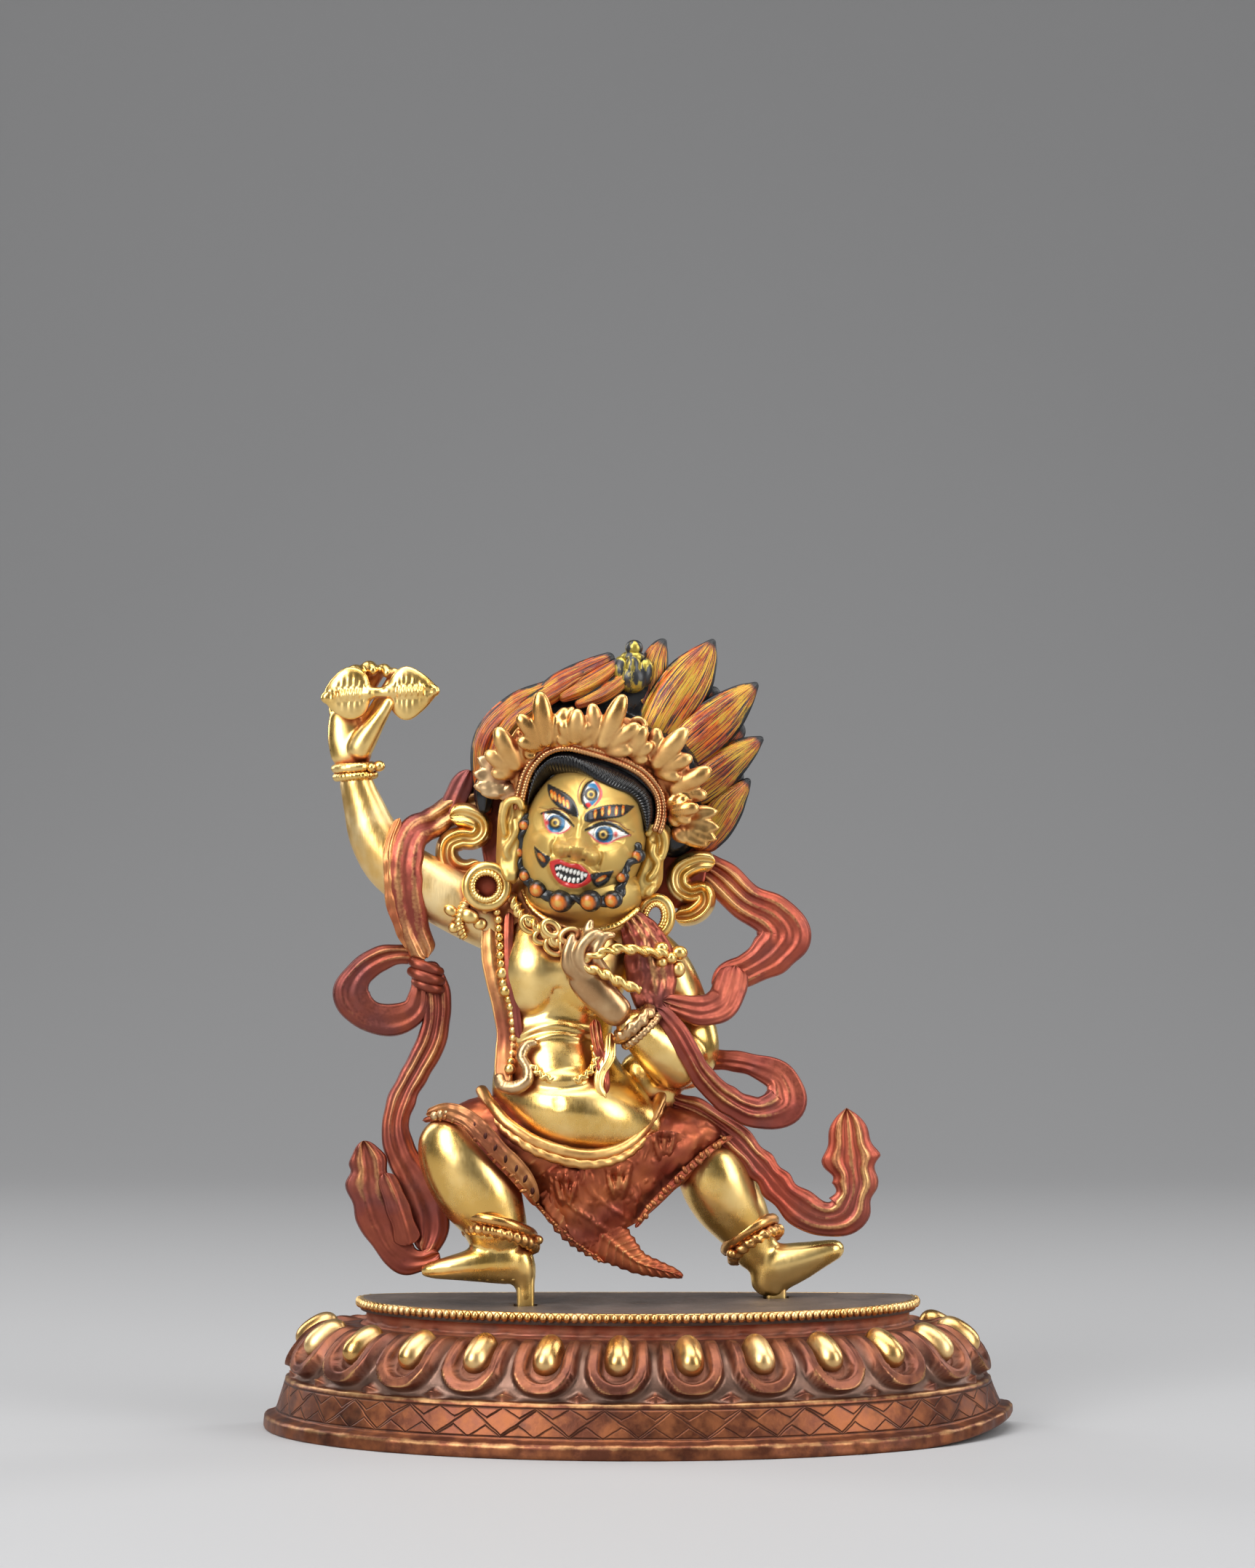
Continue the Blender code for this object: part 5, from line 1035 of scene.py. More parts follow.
def earMesh(look):
    outer, inner = evenly(look["outer"], 90), evenly(look["inner"], 90)
    s = np.linspace(0, 1, 30)[None, :, None]
    flat = outer[:, None] * (1 - s) + inner[:, None] * s
    t = np.linspace(0, 1, 90)[:, None]
    edge = np.minimum(np.minimum(s[..., 0], 1 - s[..., 0]) * 3.2, np.minimum(t, 1 - t) * 12)
    s = s[..., 0]
    rise = 1.0 * ease(edge, 0, 0.7) + 0.35 * bell(s, 0.16, 0.12) * ease(t, 0, 0.1)
    rise = rise - 0.25 * bell(s, 0.42, 0.12) * ease(0.75 - t, 0, 0.3)
    rise = rise + 0.30 * bell(s, 0.66, 0.12) * bell(t, 0.30, 0.16)
    rise = rise + 0.35 * bell(t, 0.86, 0.10) * bell(s, 0.5, 0.4)
    for cx, cz, r in look["hollows"]:
        d = np.hypot((flat[..., 0] - cx) / r, (flat[..., 1] - cz) / (r * 1.5))
        rise = rise - 0.40 * ease(1.2 - d, 0, 1.1) + 0.25 * bell(d, 1.35, 0.5)
    y = look["y"][0] + (look["y"][1] - look["y"][0]) * s * 0.4 + 0 * t
    front = np.stack([flat[..., 0], y - rise, flat[..., 1]], -1)
    back = np.stack([flat[..., 0], y + 1.6, flat[..., 1]], -1)
    return slabMesh("ear", front, back)


earCurls = {"right": [[(-20.2, -7.0, 69.6, 0.45), (-20.6, -7.3, 72.4, 0.62), (-19.9, -7.8, 74.8, 0.66),
                       (-18.2, -8.2, 75.2, 0.62), (-17.5, -8.2, 73.6, 0.5)],
                      [(-18.9, -7.6, 72.6, 0.40), (-18.5, -7.9, 70.8, 0.62), (-19.2, -7.6, 69.2, 0.52),
                       (-20.1, -7.2, 67.6, 0.62), (-19.6, -7.2, 66.2, 0.45)],
                      [(-20.4, -6.8, 65.0, 0.5), (-19.8, -7.1, 63.6, 0.7), (-19.4, -7.0, 62.8, 0.4)]],
            "left": [[(3.6, -6.0, 66.0, 0.45), (4.2, -6.0, 68.6, 0.62), (3.6, -6.4, 70.6, 0.66),
                      (2.0, -6.8, 71.0, 0.62), (1.4, -7.0, 69.6, 0.5)],
                     [(2.6, -6.4, 68.8, 0.40), (2.2, -6.6, 67.2, 0.60), (3.0, -6.2, 65.6, 0.52),
                      (2.4, -6.4, 64.0, 0.60), (1.4, -6.6, 63.0, 0.45)],
                     [(2.6, -5.8, 62.4, 0.5), (1.6, -6.2, 61.2, 0.7), (1.0, -6.2, 60.8, 0.4)]]}
for side in ("right", "left"):
    forms = [earMesh(ears[side])] + [sweep("curl", rows, 50, 14) for rows in earCurls[side]]
    piece(side + "Ear", fused("ear", forms, 0.00024, 3), mattGold)
piece("rightEarring", gather("rings", [sweep("outer", ringPath(-23.0, -6.2, 62.1, 2.95, 2.95, 0.88), 110,
    18, True), sweep("inner", ringPath(-23.1, -6.9, 62.1, 2.10, 2.10, 0.50), 150, 12, True,
                     rope=(2, 26, 0.14))]), jewelGold)
piece("leftEarring", gather("rings", [sweep("outer", ringPath(2.6, -4.6, 57.4, 2.25, 2.85, 0.85, 12), 120,
    18, True), sweep("inner", ringPath(2.5, -5.3, 57.4, 1.45, 2.05, 0.50, 12), 160, 14, True,
                     rope=(2, 26, 0.14))]), jewelGold)
piece("rightLobe", balls("lobe", [(-23.1, -4.6, 62.1, 2.5, 0.7, 2.5, 0)], 30, 16), redBand)
plates = {"right": [(-21.0, 3.0, 77.0, 5.0), (-21.4, 2.6, 72.0, 5.6), (-21.2, 2.2, 67.0, 5.0),
                    (-20.4, 2.0, 63.0, 3.6)],
          "left": [(5.0, 2.6, 74.0, 6.0), (6.0, 2.4, 69.0, 8.0), (6.4, 2.2, 64.0, 8.0),
                   (4.8, 2.0, 59.0, 6.0)]}
for side in ("right", "left"):
    piece(side + "CheekPlate", ribbon(side, plates[side], 50, ((-0.3, 0.2, 0.3),), 1.6, 0.3), scarfRust)

# Hair: a black mass, painted locks swept over its right and flames off its left.
hair = {"mass": [(-6.4, -1.6, 81.0, 13.6, 5.6, 7.6, 8), (3.6, -1.0, 78.0, 6.2, 4.4, 7.6, 0),
                 (-4.0, 1.2, 90.6, 8.6, 2.4, 3.2, -20), (6.4, 1.4, 72.4, 4.0, 2.6, 6.4, 18),
                 (-2.0, 2.6, 79.6, 12.4, 3.4, 12.0, 0), (-10.0, 1.4, 86.0, 9.0, 2.4, 5.4, 20),
                 (0.6, 1.6, 87.6, 6.4, 2.2, 5.6, -14)],
        "locks": [[(-22.9, 0.6, 73.0, 0.9, 1.2), (-24.0, 0.4, 79.4, 1.3, 1.5), (-23.0, 0.4, 85.1, 1.8, 1.8),
                   (-18.8, 0.2, 89.5, 1.8, 1.8), (-14.0, 0.2, 92.0, 1.3, 1.4),
                   (-11.0, 0.4, 93.6, 0.6, 0.8)], [(-22.0, -0.4, 77.0, 0.7, 1.0),
                       (-21.6, -0.6, 82.0, 1.5, 1.5), (-19.6, -0.8, 86.4, 1.8, 1.6),
                       (-15.8, -1.0, 89.6, 1.6, 1.5), (-11.6, -0.8, 92.4, 1.4, 1.4),
                       (-7.6, -0.4, 94.8, 0.8, 1.0)], [(-16.0, -0.4, 90.2, 0.9, 1.2),
                           (-12.0, -0.2, 93.0, 1.6, 1.5), (-7.4, 0.0, 95.2, 1.5, 1.4),
                           (-3.6, 0.3, 97.2, 0.8, 1.0)], [(-12.0, -1.2, 90.6, 0.8, 1.0),
                               (-8.0, -1.4, 92.4, 1.5, 1.4), (-4.6, -1.2, 94.6, 1.3, 1.2),
                               (-2.6, -0.8, 96.6, 0.6, 0.8)], [(-9.6, -2.0, 89.6, 0.7, 1.0),
                                   (-5.6, -2.2, 91.2, 1.3, 1.3), (-2.4, -1.8, 93.4, 1.1, 1.1),
                                   (-1.0, -1.2, 95.4, 0.5, 0.7)]],
        "flames": [[(0.6, 0.8, 88, 2.6, 1.4), (1.8, 0.8, 92.6, 2.6, 1.3), (2.5, 0.9, 96.2, 2.1, 1.1),
                    (3.4, 1.0, 98.6, 1.2, 0.8), (4.2, 1.0, 99.7, 0.3, 0.3)],
                   [(2.0, -0.2, 84.0, 3.2, 1.5), (5.0, -0.4, 89.4, 3.9, 1.5), (7.9, 0.0, 93.8, 3.6, 1.3),
                    (10.0, 0.6, 97.0, 2.2, 1.0), (11.1, 0.8, 98.9, 0.9, 0.6), (11.6, 0.8, 99.7, 0.25, 0.3)],
                   [(4.4, -0.2, 80.8, 3.2, 1.5), (9.0, -0.6, 84.8, 3.8, 1.5), (12.9, -0.2, 88.2, 3.3, 1.3),
                    (15.9, 0.5, 91.0, 2.0, 1.0), (17.6, 0.8, 92.5, 0.8, 0.6), (18.2, 0.8, 93.1, 0.25, 0.3)],
                   [(6.8, 0.4, 75.6, 3.0, 1.5), (11.2, 0.0, 79.0, 3.3, 1.4), (14.5, 0.2, 81.6, 2.6, 1.2),
                    (17.0, 0.6, 83.4, 1.6, 0.9), (18.6, 0.8, 84.5, 0.6, 0.5), (19.0, 0.8, 84.8, 0.25, 0.3)],
                   [(8.8, 0.8, 67.6, 1.8, 1.2), (11.2, 0.3, 71.2, 2.9, 1.4), (13.7, 0.4, 74.8, 2.6, 1.2),
                    (15.7, 0.7, 77.0, 1.4, 0.9), (17.0, 0.8, 78.5, 0.3, 0.3)]],
        "between": [[(1.2, 1.6, 88, 2.2, 1.4), (3.4, 1.6, 92.4, 2.4, 1.3), (4.8, 1.8, 95.8, 0.8, 0.6)],
                    [(5.0, 1.2, 82, 3.0, 1.5), (9.4, 1.4, 88.4, 2.8, 1.3), (12.0, 1.6, 92.4, 0.9, 0.7)],
                    [(7.4, 1.2, 78, 3.0, 1.5), (12.4, 1.4, 83.2, 2.8, 1.3), (16.0, 1.6, 86.8, 0.9, 0.7)],
                    [(8.6, 1.4, 72, 2.6, 1.4), (13.0, 1.4, 77.2, 2.4, 1.3), (15.8, 1.6, 79.8, 0.9, 0.7)]],
        "strand": [(-22.4, -0.8, 80.4, 1.1, 1.0), (-23.3, -1.2, 77.2, 1.5, 1.2),
                   (-23.4, -1.2, 74.8, 1.3, 1.1), (-23.5, -1.0, 73.2, 0.7, 0.7)],
        "backTips": [(-19.0, 84.6), (-15.6, 88.2), (-11.6, 90.6), (-7.4, 92.4), (-3.2, 93.6), (1.2, 92.4),
                     (5.2, 89.6), (8.2, 85.6), (9.8, 80.6), (10.0, 75.0)],
        "knot": [(-0.8, -1.4, 93.8, 2.3, 1.9, 2.3, 0), (-2.3, -1.0, 94.8, 1.7, 1.6, 2.4, -10),
                 (0.8, -1.0, 94.6, 1.6, 1.5, 2.3, 10), (-0.8, -1.6, 95.2, 1.4, 1.5, 2.4, 0),
                 (-0.8, -1.0, 97.0, 1.9, 1.5, 1.0, 0), (-0.6, -0.9, 98.4, 1.35, 1.25, 1.25, 0)]}


piece("hairMass", fused("hairMass", [balls("mass", hair["mass"], 40, 26)], 0.00075, 4), gloss)
nape = []
for k, (x, z) in enumerate(hair["backTips"]):  # locks combed up the back of the head from the nape
    low, foot = -9.0 + 0.75 * k, 64.6 + 0.35 * k
    mid, waist = (low + x) / 2 + 0.32 * (x + 4.0), (foot + z) / 2
    nape.append([(low, 5.6, foot, 1.2, 1.3), (0.6 * low + 0.4 * mid, 7.6, 0.5 * (foot + waist), 2.0, 1.5),
                 (mid, 7.8, waist, 2.3, 1.6), (0.4 * mid + 0.6 * x, 5.8, 0.4 * waist + 0.6 * z, 2.0, 1.5),
                 (x, 3.0, z, 0.8, 0.9)])


def lockMesh(name, locks, steps, around, rope, seed):  # twisted strands, each with a seed for its strokes
    return gather(name, [setMark(sweep(name, rows, steps, around, rope=rope, marks=True), "seed", k + seed)
                         for k, rows in enumerate(locks)])


piece("hairBack", lockMesh("back", nape, 46, 16, (5, 0.4, 0.10), 40), hairDark)
piece("hairLocks", lockMesh("locks", hair["locks"], 66, 24, (8, 0.5, 0.12), 0), hairSide)
piece("hairFlames", lockMesh("flames", hair["flames"], 60, 36, (13, 0.12, 0.07), 11), hairFire)
piece("hairShadows", lockMesh("shadows", hair["between"], 50, 20, (6, 0.3, 0.10), 23), hairDark)
piece("hairStrand", sweep("strand", hair["strand"], 60, 24, rope=(7, 0.2, 0.08)), gloss)
piece("topKnot", balls("knot", hair["knot"], 30, 20), knotGold)
print("stage: hair")

# The trunk: level ellipses, its front swelling with breasts, belly and folds.
trunk = {"stations": [(-6.5, 0.5, 17, 8.5, 5.0), (-7.5, -1.0, 22, 12.0, 8.0), (-9.0, -2.2, 27, 12.6, 8.8),
                      (-10.8, -2.2, 31.5, 11.4, 8.0), (-12.4, -1.4, 36, 9.2, 6.6),
                      (-12.6, -1.0, 40, 8.6, 6.0), (-12.4, -1.2, 45, 9.8, 6.0),
                      (-12.0, -1.0, 50, 11.4, 6.0), (-11.5, 0.0, 54.5, 12.0, 5.8),
                      (-9.5, -1.0, 58.5, 9.0, 5.4), (-8.5, -2.0, 63, 6.5, 5.0)],
         "domes": [(-16.6, 50.0, 6.6, 7.4, 2.5), (-7.0, 49.6, 6.0, 7.0, 2.2), (-12.3, 35.9, 6.6, 4.2, 1.5),
                   (-9.6, 27.2, 11.5, 7.2, 1.6)],
         "rolls": [([(-18.6, 39.0), (-15.5, 40.4), (-12.0, 40.9), (-7.1, 39.7)], 0.85, 0.62),
                   ([(-18.0, 37.9), (-15.0, 39.1), (-12.0, 39.6), (-8.6, 39.0)], 0.65, 0.50),
                   ([(-18.5, 42.2), (-15.7, 42.4), (-13.6, 44.2), (-12.4, 46.4)], -0.55, 0.45),
                   ([(-12.0, 46.6), (-11.8, 50.0), (-12.4, 53.6)], -0.35, 0.8),
                   ([(-19.5, 32.6), (-14.0, 31.4), (-8.6, 31.6), (-4.6, 33.2)], -0.40, 0.7),
                   ([(-12.4, 29.6), (-12.1, 28.4)], -0.25, 0.4)]}


def trunkMesh():
    rows = through(trunk["stations"], 132)
    a = np.linspace(0, turn, 100, endpoint=False)
    x = rows[:, 0:1] + rows[:, 3:4] * np.cos(a)
    y = rows[:, 1:2] + rows[:, 4:5] * np.sin(a)
    z = rows[:, 2:3] + 0 * a
    rise = sum(dome(x, z, *shape) for shape in trunk["domes"])
    flat = np.stack([x.ravel(), z.ravel()], 1)
    for line, height, width in trunk["rolls"]:
        away = outlineDistance(flat, through(line, 24), False)[0]
        rise = rise + height * bell(away, 0, width).reshape(x.shape)
    y = y - rise * np.clip(-np.sin(a), 0, 1) ** 0.5
    return tubeMesh("trunk", np.stack([x, y, z], -1))


piece("trunk", trunkMesh(), bodyGold)
piece("shoulders", fused("shoulders", [balls("caps", [(-17.4, -0.8, 58.6, 5.4, 4.0, 6.0, 0),
    (-8.2, -2.6, 57.6, 9.4, 5.4, 4.8, 0), (-2.4, -0.6, 54.6, 5.0, 4.4, 5.0, 0)], 40, 26),
    sweep("arm", [(-16.0, 0.0, 53.6, 4.0), (-21.0, -0.3, 56.2, 4.5), (-26.4, -0.6, 59.0, 4.7),
                  (-31.5, -0.6, 61.8, 4.6), (-36.8, -0.2, 65.2, 4.5), (-40.0, 0.1, 69.6, 3.95),
                  (-41.7, 0.2, 74.2, 3.15), (-42.7, 0.2, 77.4, 2.65), (-43.2, 0.2, 80.5, 2.4)], 90, 40)],
                         0.00050, 7), armGold)

# The raised hand round the vajra.
raised = {"palm": [(-43.2, 0.4, 79.6, 2.8, 2.1), (-43.6, 0.5, 82.4, 3.2, 2.0), (-44.3, 0.8, 85.2, 3.0, 1.8),
                   (-44.8, 1.2, 87.6, 2.3, 1.6), (-44.8, 1.6, 89.4, 1.6, 1.4)],
          "thumb": [(-43.2, -0.6, 81.4, 2.0), (-41.6, -1.0, 84.4, 1.95), (-40.0, -1.6, 86.8, 1.45),
                    (-38.6, -2.1, 88.9, 1.05), (-37.5, -2.2, 90.8, 0.85)],
          "fingers": [[(-45.6, 1.4, 86.4, 1.05), (-46.0, 2.2, 90.0, 1.05), (-44.6, 2.2, 93.6, 1.0),
                       (-42.9, 0.9, 95.0, 0.95), (-42.2, -0.9, 94.0, 0.8)],
                      [(-44.3, 1.6, 86.6, 1.05), (-44.0, 2.6, 90.4, 1.05), (-42.2, 2.4, 94.2, 1.0),
                       (-40.8, 0.9, 95.6, 0.95), (-40.2, -0.9, 94.4, 0.8)],
                      [(-43.0, 1.6, 86.6, 1.0), (-41.8, 2.6, 90.4, 1.0), (-39.8, 2.2, 94.0, 0.95),
                       (-38.6, 0.7, 95.2, 0.9), (-38.0, -0.9, 94.0, 0.7)]],
          "index": [(-42.0, 0.8, 86.0, 0.9), (-39.6, 1.2, 90.0, 0.85), (-37.6, 0.9, 93.4, 0.8),
                    (-36.8, 0.6, 95.4, 0.6)]}
hand = [sweep("palm", raised["palm"], 40, 26), sweep("thumb", raised["thumb"], 36, 18),
        sweep("index", raised["index"], 36, 16)]
hand += [sweep("finger", rows, 40, 16) for rows in raised["fingers"]]
piece("raisedHand", fused("raisedHand", hand, 0.00026, 3), jewelGold)
piece("raisedBracelet", gather("raisedBracelet", [sweep("roll",
    bangle(-43.2, 0.2, 80.2, 2.75, 2.5, 0.72, 4), 105, 16, True, lump=0.08),
    sweep("roll", bangle(-43.0, 0.2, 78.9, 2.85, 2.6, 0.60, 4), 105, 16, True, rope=(1, 30, 0.12)),
    balls("knob", [(-39.4, -1.2, 80.4, 0.95, 0.9, 0.85, 0), (-40.6, -2.2, 80.2, 0.7, 0.7, 0.7, 0)], 20,
          12)]), jewelGold)

# The vajra: a ribbed grip, a thick prong along each end and leaf-shaped fins above and below it.
vajra = {"axis": [(-48.3, -1.6, 90.7, 0.70), (-47.6, -1.6, 90.8, 0.90), (-46.6, -1.6, 91.0, 0.70),
                  (-44.4, -1.8, 91.2, 0.95), (-42.2, -1.8, 91.4, 0.85), (-40.9, -1.8, 91.5, 1.15),
                  (-40.0, -1.8, 91.6, 0.85), (-38.9, -1.8, 91.6, 0.85), (-38.0, -1.8, 91.7, 1.15),
                  (-36.8, -1.8, 91.7, 0.85), (-34.6, -1.8, 91.8, 0.95), (-32.2, -1.6, 91.9, 0.70),
                  (-30.9, -1.6, 91.9, 0.90), (-30.1, -1.6, 92.0, 0.70)],
         "ribs": (-46.2, -45.3, -44.4, -43.5, -42.6, -36.4, -35.5, -34.6, -33.7, -32.8),
         "fins": [[(-41.0, 92.4), (-42.0, 94.2), (-44.0, 94.8), (-46.0, 93.4), (-47.4, 91.6)],
                  [(-41.0, 90.6), (-42.0, 88.8), (-43.8, 88.2), (-46.0, 89.2), (-47.4, 90.6)],
                  [(-37.8, 92.6), (-36.6, 94.2), (-35.1, 94.9), (-32.8, 93.8), (-31.0, 92.4)],
                  [(-37.8, 90.6), (-36.6, 88.8), (-35.0, 88.1), (-32.8, 89.6), (-31.0, 91.4)]]}
forms = [sweep("axis", vajra["axis"], 220, 26)]
for x in vajra["ribs"]:
    level = 91.6 + 0.042 * (x + 40)
    rows = [(x, -1.8 + 1.05 * math.cos(a), level + 1.05 * math.sin(a), 0.2)
            for a in np.linspace(0, turn, 12, endpoint=False)]
    forms.append(sweep("rib", rows, 30, 8, True))
for rows in vajra["fins"]:
    mid = 91.3 if rows[0][0] < -40 else 91.8
    edge = through(rows, 30)
    t = np.linspace(0, 1.0, 14)[None]
    x, z = edge[:, 0:1] + 0 * t, mid + (edge[:, 1:2] - mid) * t
    y = -1.7 - 0.28 * np.abs(np.sin(9 * math.pi * np.linspace(0, 1, 30)))[:, None] * np.sin(math.pi * t)
    forms.append(slabMesh("web", np.stack([x, y - 0.55, z], -1), np.stack([x, y + 0.75, z], -1)))
    thick = 0.58
    edge = [(x, -1.6, z, thick * (0.8 + 0.5 * math.sin(math.pi * k / 4)), thick * 0.9)
            for k, (x, z) in enumerate(rows)]
    forms.append(sweep("fin", edge, 44, 14))
piece("vajra", fused("vajra", forms, 0.00022, 1), jewelGold)
piece("armlet", gather("armlet", [sweep("roll", [(-24.2, -4.6, 61.6, 0.7), (-26.2, -5.2, 59.4, 0.8),
    (-27.2, -5.0, 56.6, 0.8), (-26.4, -4.0, 54.0, 0.6)], 80, 14, rope=(2, 14, 0.16)),
    balls("bosses", [(-24.6, -5.4, 60.0, 1.3, 0.9, 1.1, 0), (-25.6, -5.6, 57.6, 1.5, 1.0, 1.2, 20),
                     (-28.4, -4.8, 58.4, 1.3, 0.9, 0.9, 30), (-24.0, -5.0, 56.4, 1.1, 0.8, 1.0, 0),
                     (-28.0, -4.6, 55.8, 0.9, 0.7, 0.9, 0), (-23.4, -4.6, 58.6, 0.9, 0.7, 0.9, 0)], 20,
          12)]), jewelGold)
print("stage: raised arm")

# The left arm across the chest.
leftArm = {"upper": [(-2.0, -0.5, 54.6, 4.2), (3.6, -0.5, 49.5, 4.4), (6.6, 0.0, 43.5, 4.2),
                     (8.0, -0.5, 37.5, 4.4), (7.0, -2.0, 33.2, 3.6)],
           "fore": [(8.6, -1.5, 33.6, 3.6), (6.4, -3.4, 35.2, 4.5), (3.2, -6.4, 37.6, 4.1),
                    (0.0, -8.8, 40.2, 3.0), (-2.6, -10.2, 42.6, 2.4)]}
forms = [sweep("upper", leftArm["upper"], 80, 36), sweep("fore", leftArm["fore"], 80, 36),
         balls("elbow", [(6.4, -1.0, 34.6, 4.6, 4.4, 3.4, 14), (1.8, 1.5, 32.0, 4.2, 4.0, 5.6, -38)], 36,
               24)]
piece("leftArm", fused("leftArm", forms, 0.00050, 7), bodyGold)
leftHand = {"back": [(-1.6, -10.4, 41.6, 2.3, 1.9), (-4.0, -11.0, 43.8, 2.5, 1.8),
                     (-6.4, -11.4, 46.2, 2.8, 1.7), (-8.4, -11.8, 48.4, 2.5, 1.5),
                     (-9.6, -12.2, 50.0, 1.6, 1.2)],
            "fingers": [[(-8.2, -12.0, 47.6, 1.05), (-10.4, -12.8, 49.6, 1.1), (-10.8, -13.2, 51.6, 0.95),
                         (-10.2, -13.2, 53.8, 0.75), (-9.7, -13.0, 55.0, 0.5)],
                        [(-6.8, -12.0, 48.2, 1.0), (-8.8, -13.4, 50.6, 1.0), (-8.6, -14.0, 53.0, 0.9),
                         (-6.8, -13.8, 54.8, 0.8), (-5.4, -13.4, 54.9, 0.6)],
                        [(-6.0, -11.4, 50.4, 0.9), (-7.9, -12.6, 53.0, 1.0), (-7.6, -12.9, 55.6, 0.8),
                         (-7.0, -12.8, 57.2, 0.5)], [(-4.6, -11.6, 48.6, 0.9), (-6.4, -13.0, 51.4, 0.95),
                             (-5.2, -13.2, 54.4, 0.8), (-3.4, -12.6, 54.6, 0.6)]]}
forms = [sweep("back", leftHand["back"], 50, 30)] + [sweep("finger", rows, 36, 16)
    for rows in leftHand["fingers"]]
piece("leftHand", fused("leftHand", forms, 0.00026, 3), wornGold)
piece("leftBracelet", gather("leftBracelet", [sweep("roll",
    bangle(-0.6, -9.8, 41.2, 3.1, 2.5, 0.95, 42, 0.5), 112, 18, True, lump=0.22),
    sweep("roll", bangle(0.6, -9.2, 40.2, 3.3, 2.7, 0.65, 42, 0.5), 112, 16, True, rope=(1, 26, 0.14))]),
      wornGold)

# The noose: twisted cord from the fist, ending in two hooks.
noose = {"upper": [(-9.4, -13.0, 50.6, 0.62), (-7.1, -13.6, 51.5, 0.70), (-3.8, -13.2, 52.5, 0.72),
                   (-0.6, -11.6, 52.4, 0.72), (2.3, -9.0, 52.0, 0.72), (4.6, -7.4, 51.8, 0.7)],
         "lower": [(-8.7, -13.2, 50.0, 0.62), (-5.6, -13.4, 49.0, 0.70), (-2.6, -12.8, 47.4, 0.72),
                   (0.5, -11.2, 46.2, 0.66)],
         "hooks": [(3.5, -7.6, 52.7, 1.15, 1.1, 1.0, 0), (6.2, -6.4, 52.0, 1.35, 1.2, 1.1, 0),
                   (3.6, -7.4, 50.6, 0.95, 1.0, 0.95, 0), (6.1, -6.4, 49.5, 1.1, 1.1, 1.3, 0),
                   (5.0, -7.2, 51.2, 1.0, 1.1, 1.0, 0)]}
cords = [sweep("cord", noose["upper"], 140, 18, rope=(2, 7, 0.30)),
         sweep("cord", noose["lower"], 112, 18, rope=(2, 5, 0.30)), balls("hooks", noose["hooks"], 22, 14)]
piece("noose", gather("noose", cords), jewelGold)
chest = {"links": [(-16.5, 56.3), (-14.4, 54.6), (-12.8, 53.0), (-12.0, 54.2), (-13.2, 55.7),
                   (-10.4, 54.6)],
         "cord": [(-20.0, -5.2, 61.6, 0.7), (-18.7, -6.2, 59.5, 0.75), (-17.8, -7.4, 57.8, 0.75),
                  (-16.2, -8.6, 56.6, 0.75), (-14.2, -9.8, 55.2, 0.75), (-11.8, -11.0, 53.4, 0.75),
                  (-10.2, -11.8, 51.8, 0.7)]}
forms = [sweep("chain", chest["cord"], 154, 16, rope=(2, 10, 0.32))]
for k, (x, z) in enumerate(chest["links"]):
    forms.append(sweep("link", ringPath(x, -8.6 - 0.6 * k, z, 1.35, 0.95, 0.52, 40 - 60 * (k % 2)), 50, 14,
                       True))
piece("neckChain", gather("neckChain", forms), jewelGold)
collar = [(-17.6, -4.6, 61.6, 0.4), (-16.0, -7.0, 58.6, 0.45), (-12.6, -9.0, 56.4, 0.45),
          (-8.0, -9.6, 55.4, 0.45), (-3.4, -8.8, 56.2, 0.45), (0.2, -6.6, 58.8, 0.4)]
piece("collar", sweep("collar", collar, 160, 14, lump=0.06), bodyGold)
print("stage: left arm")

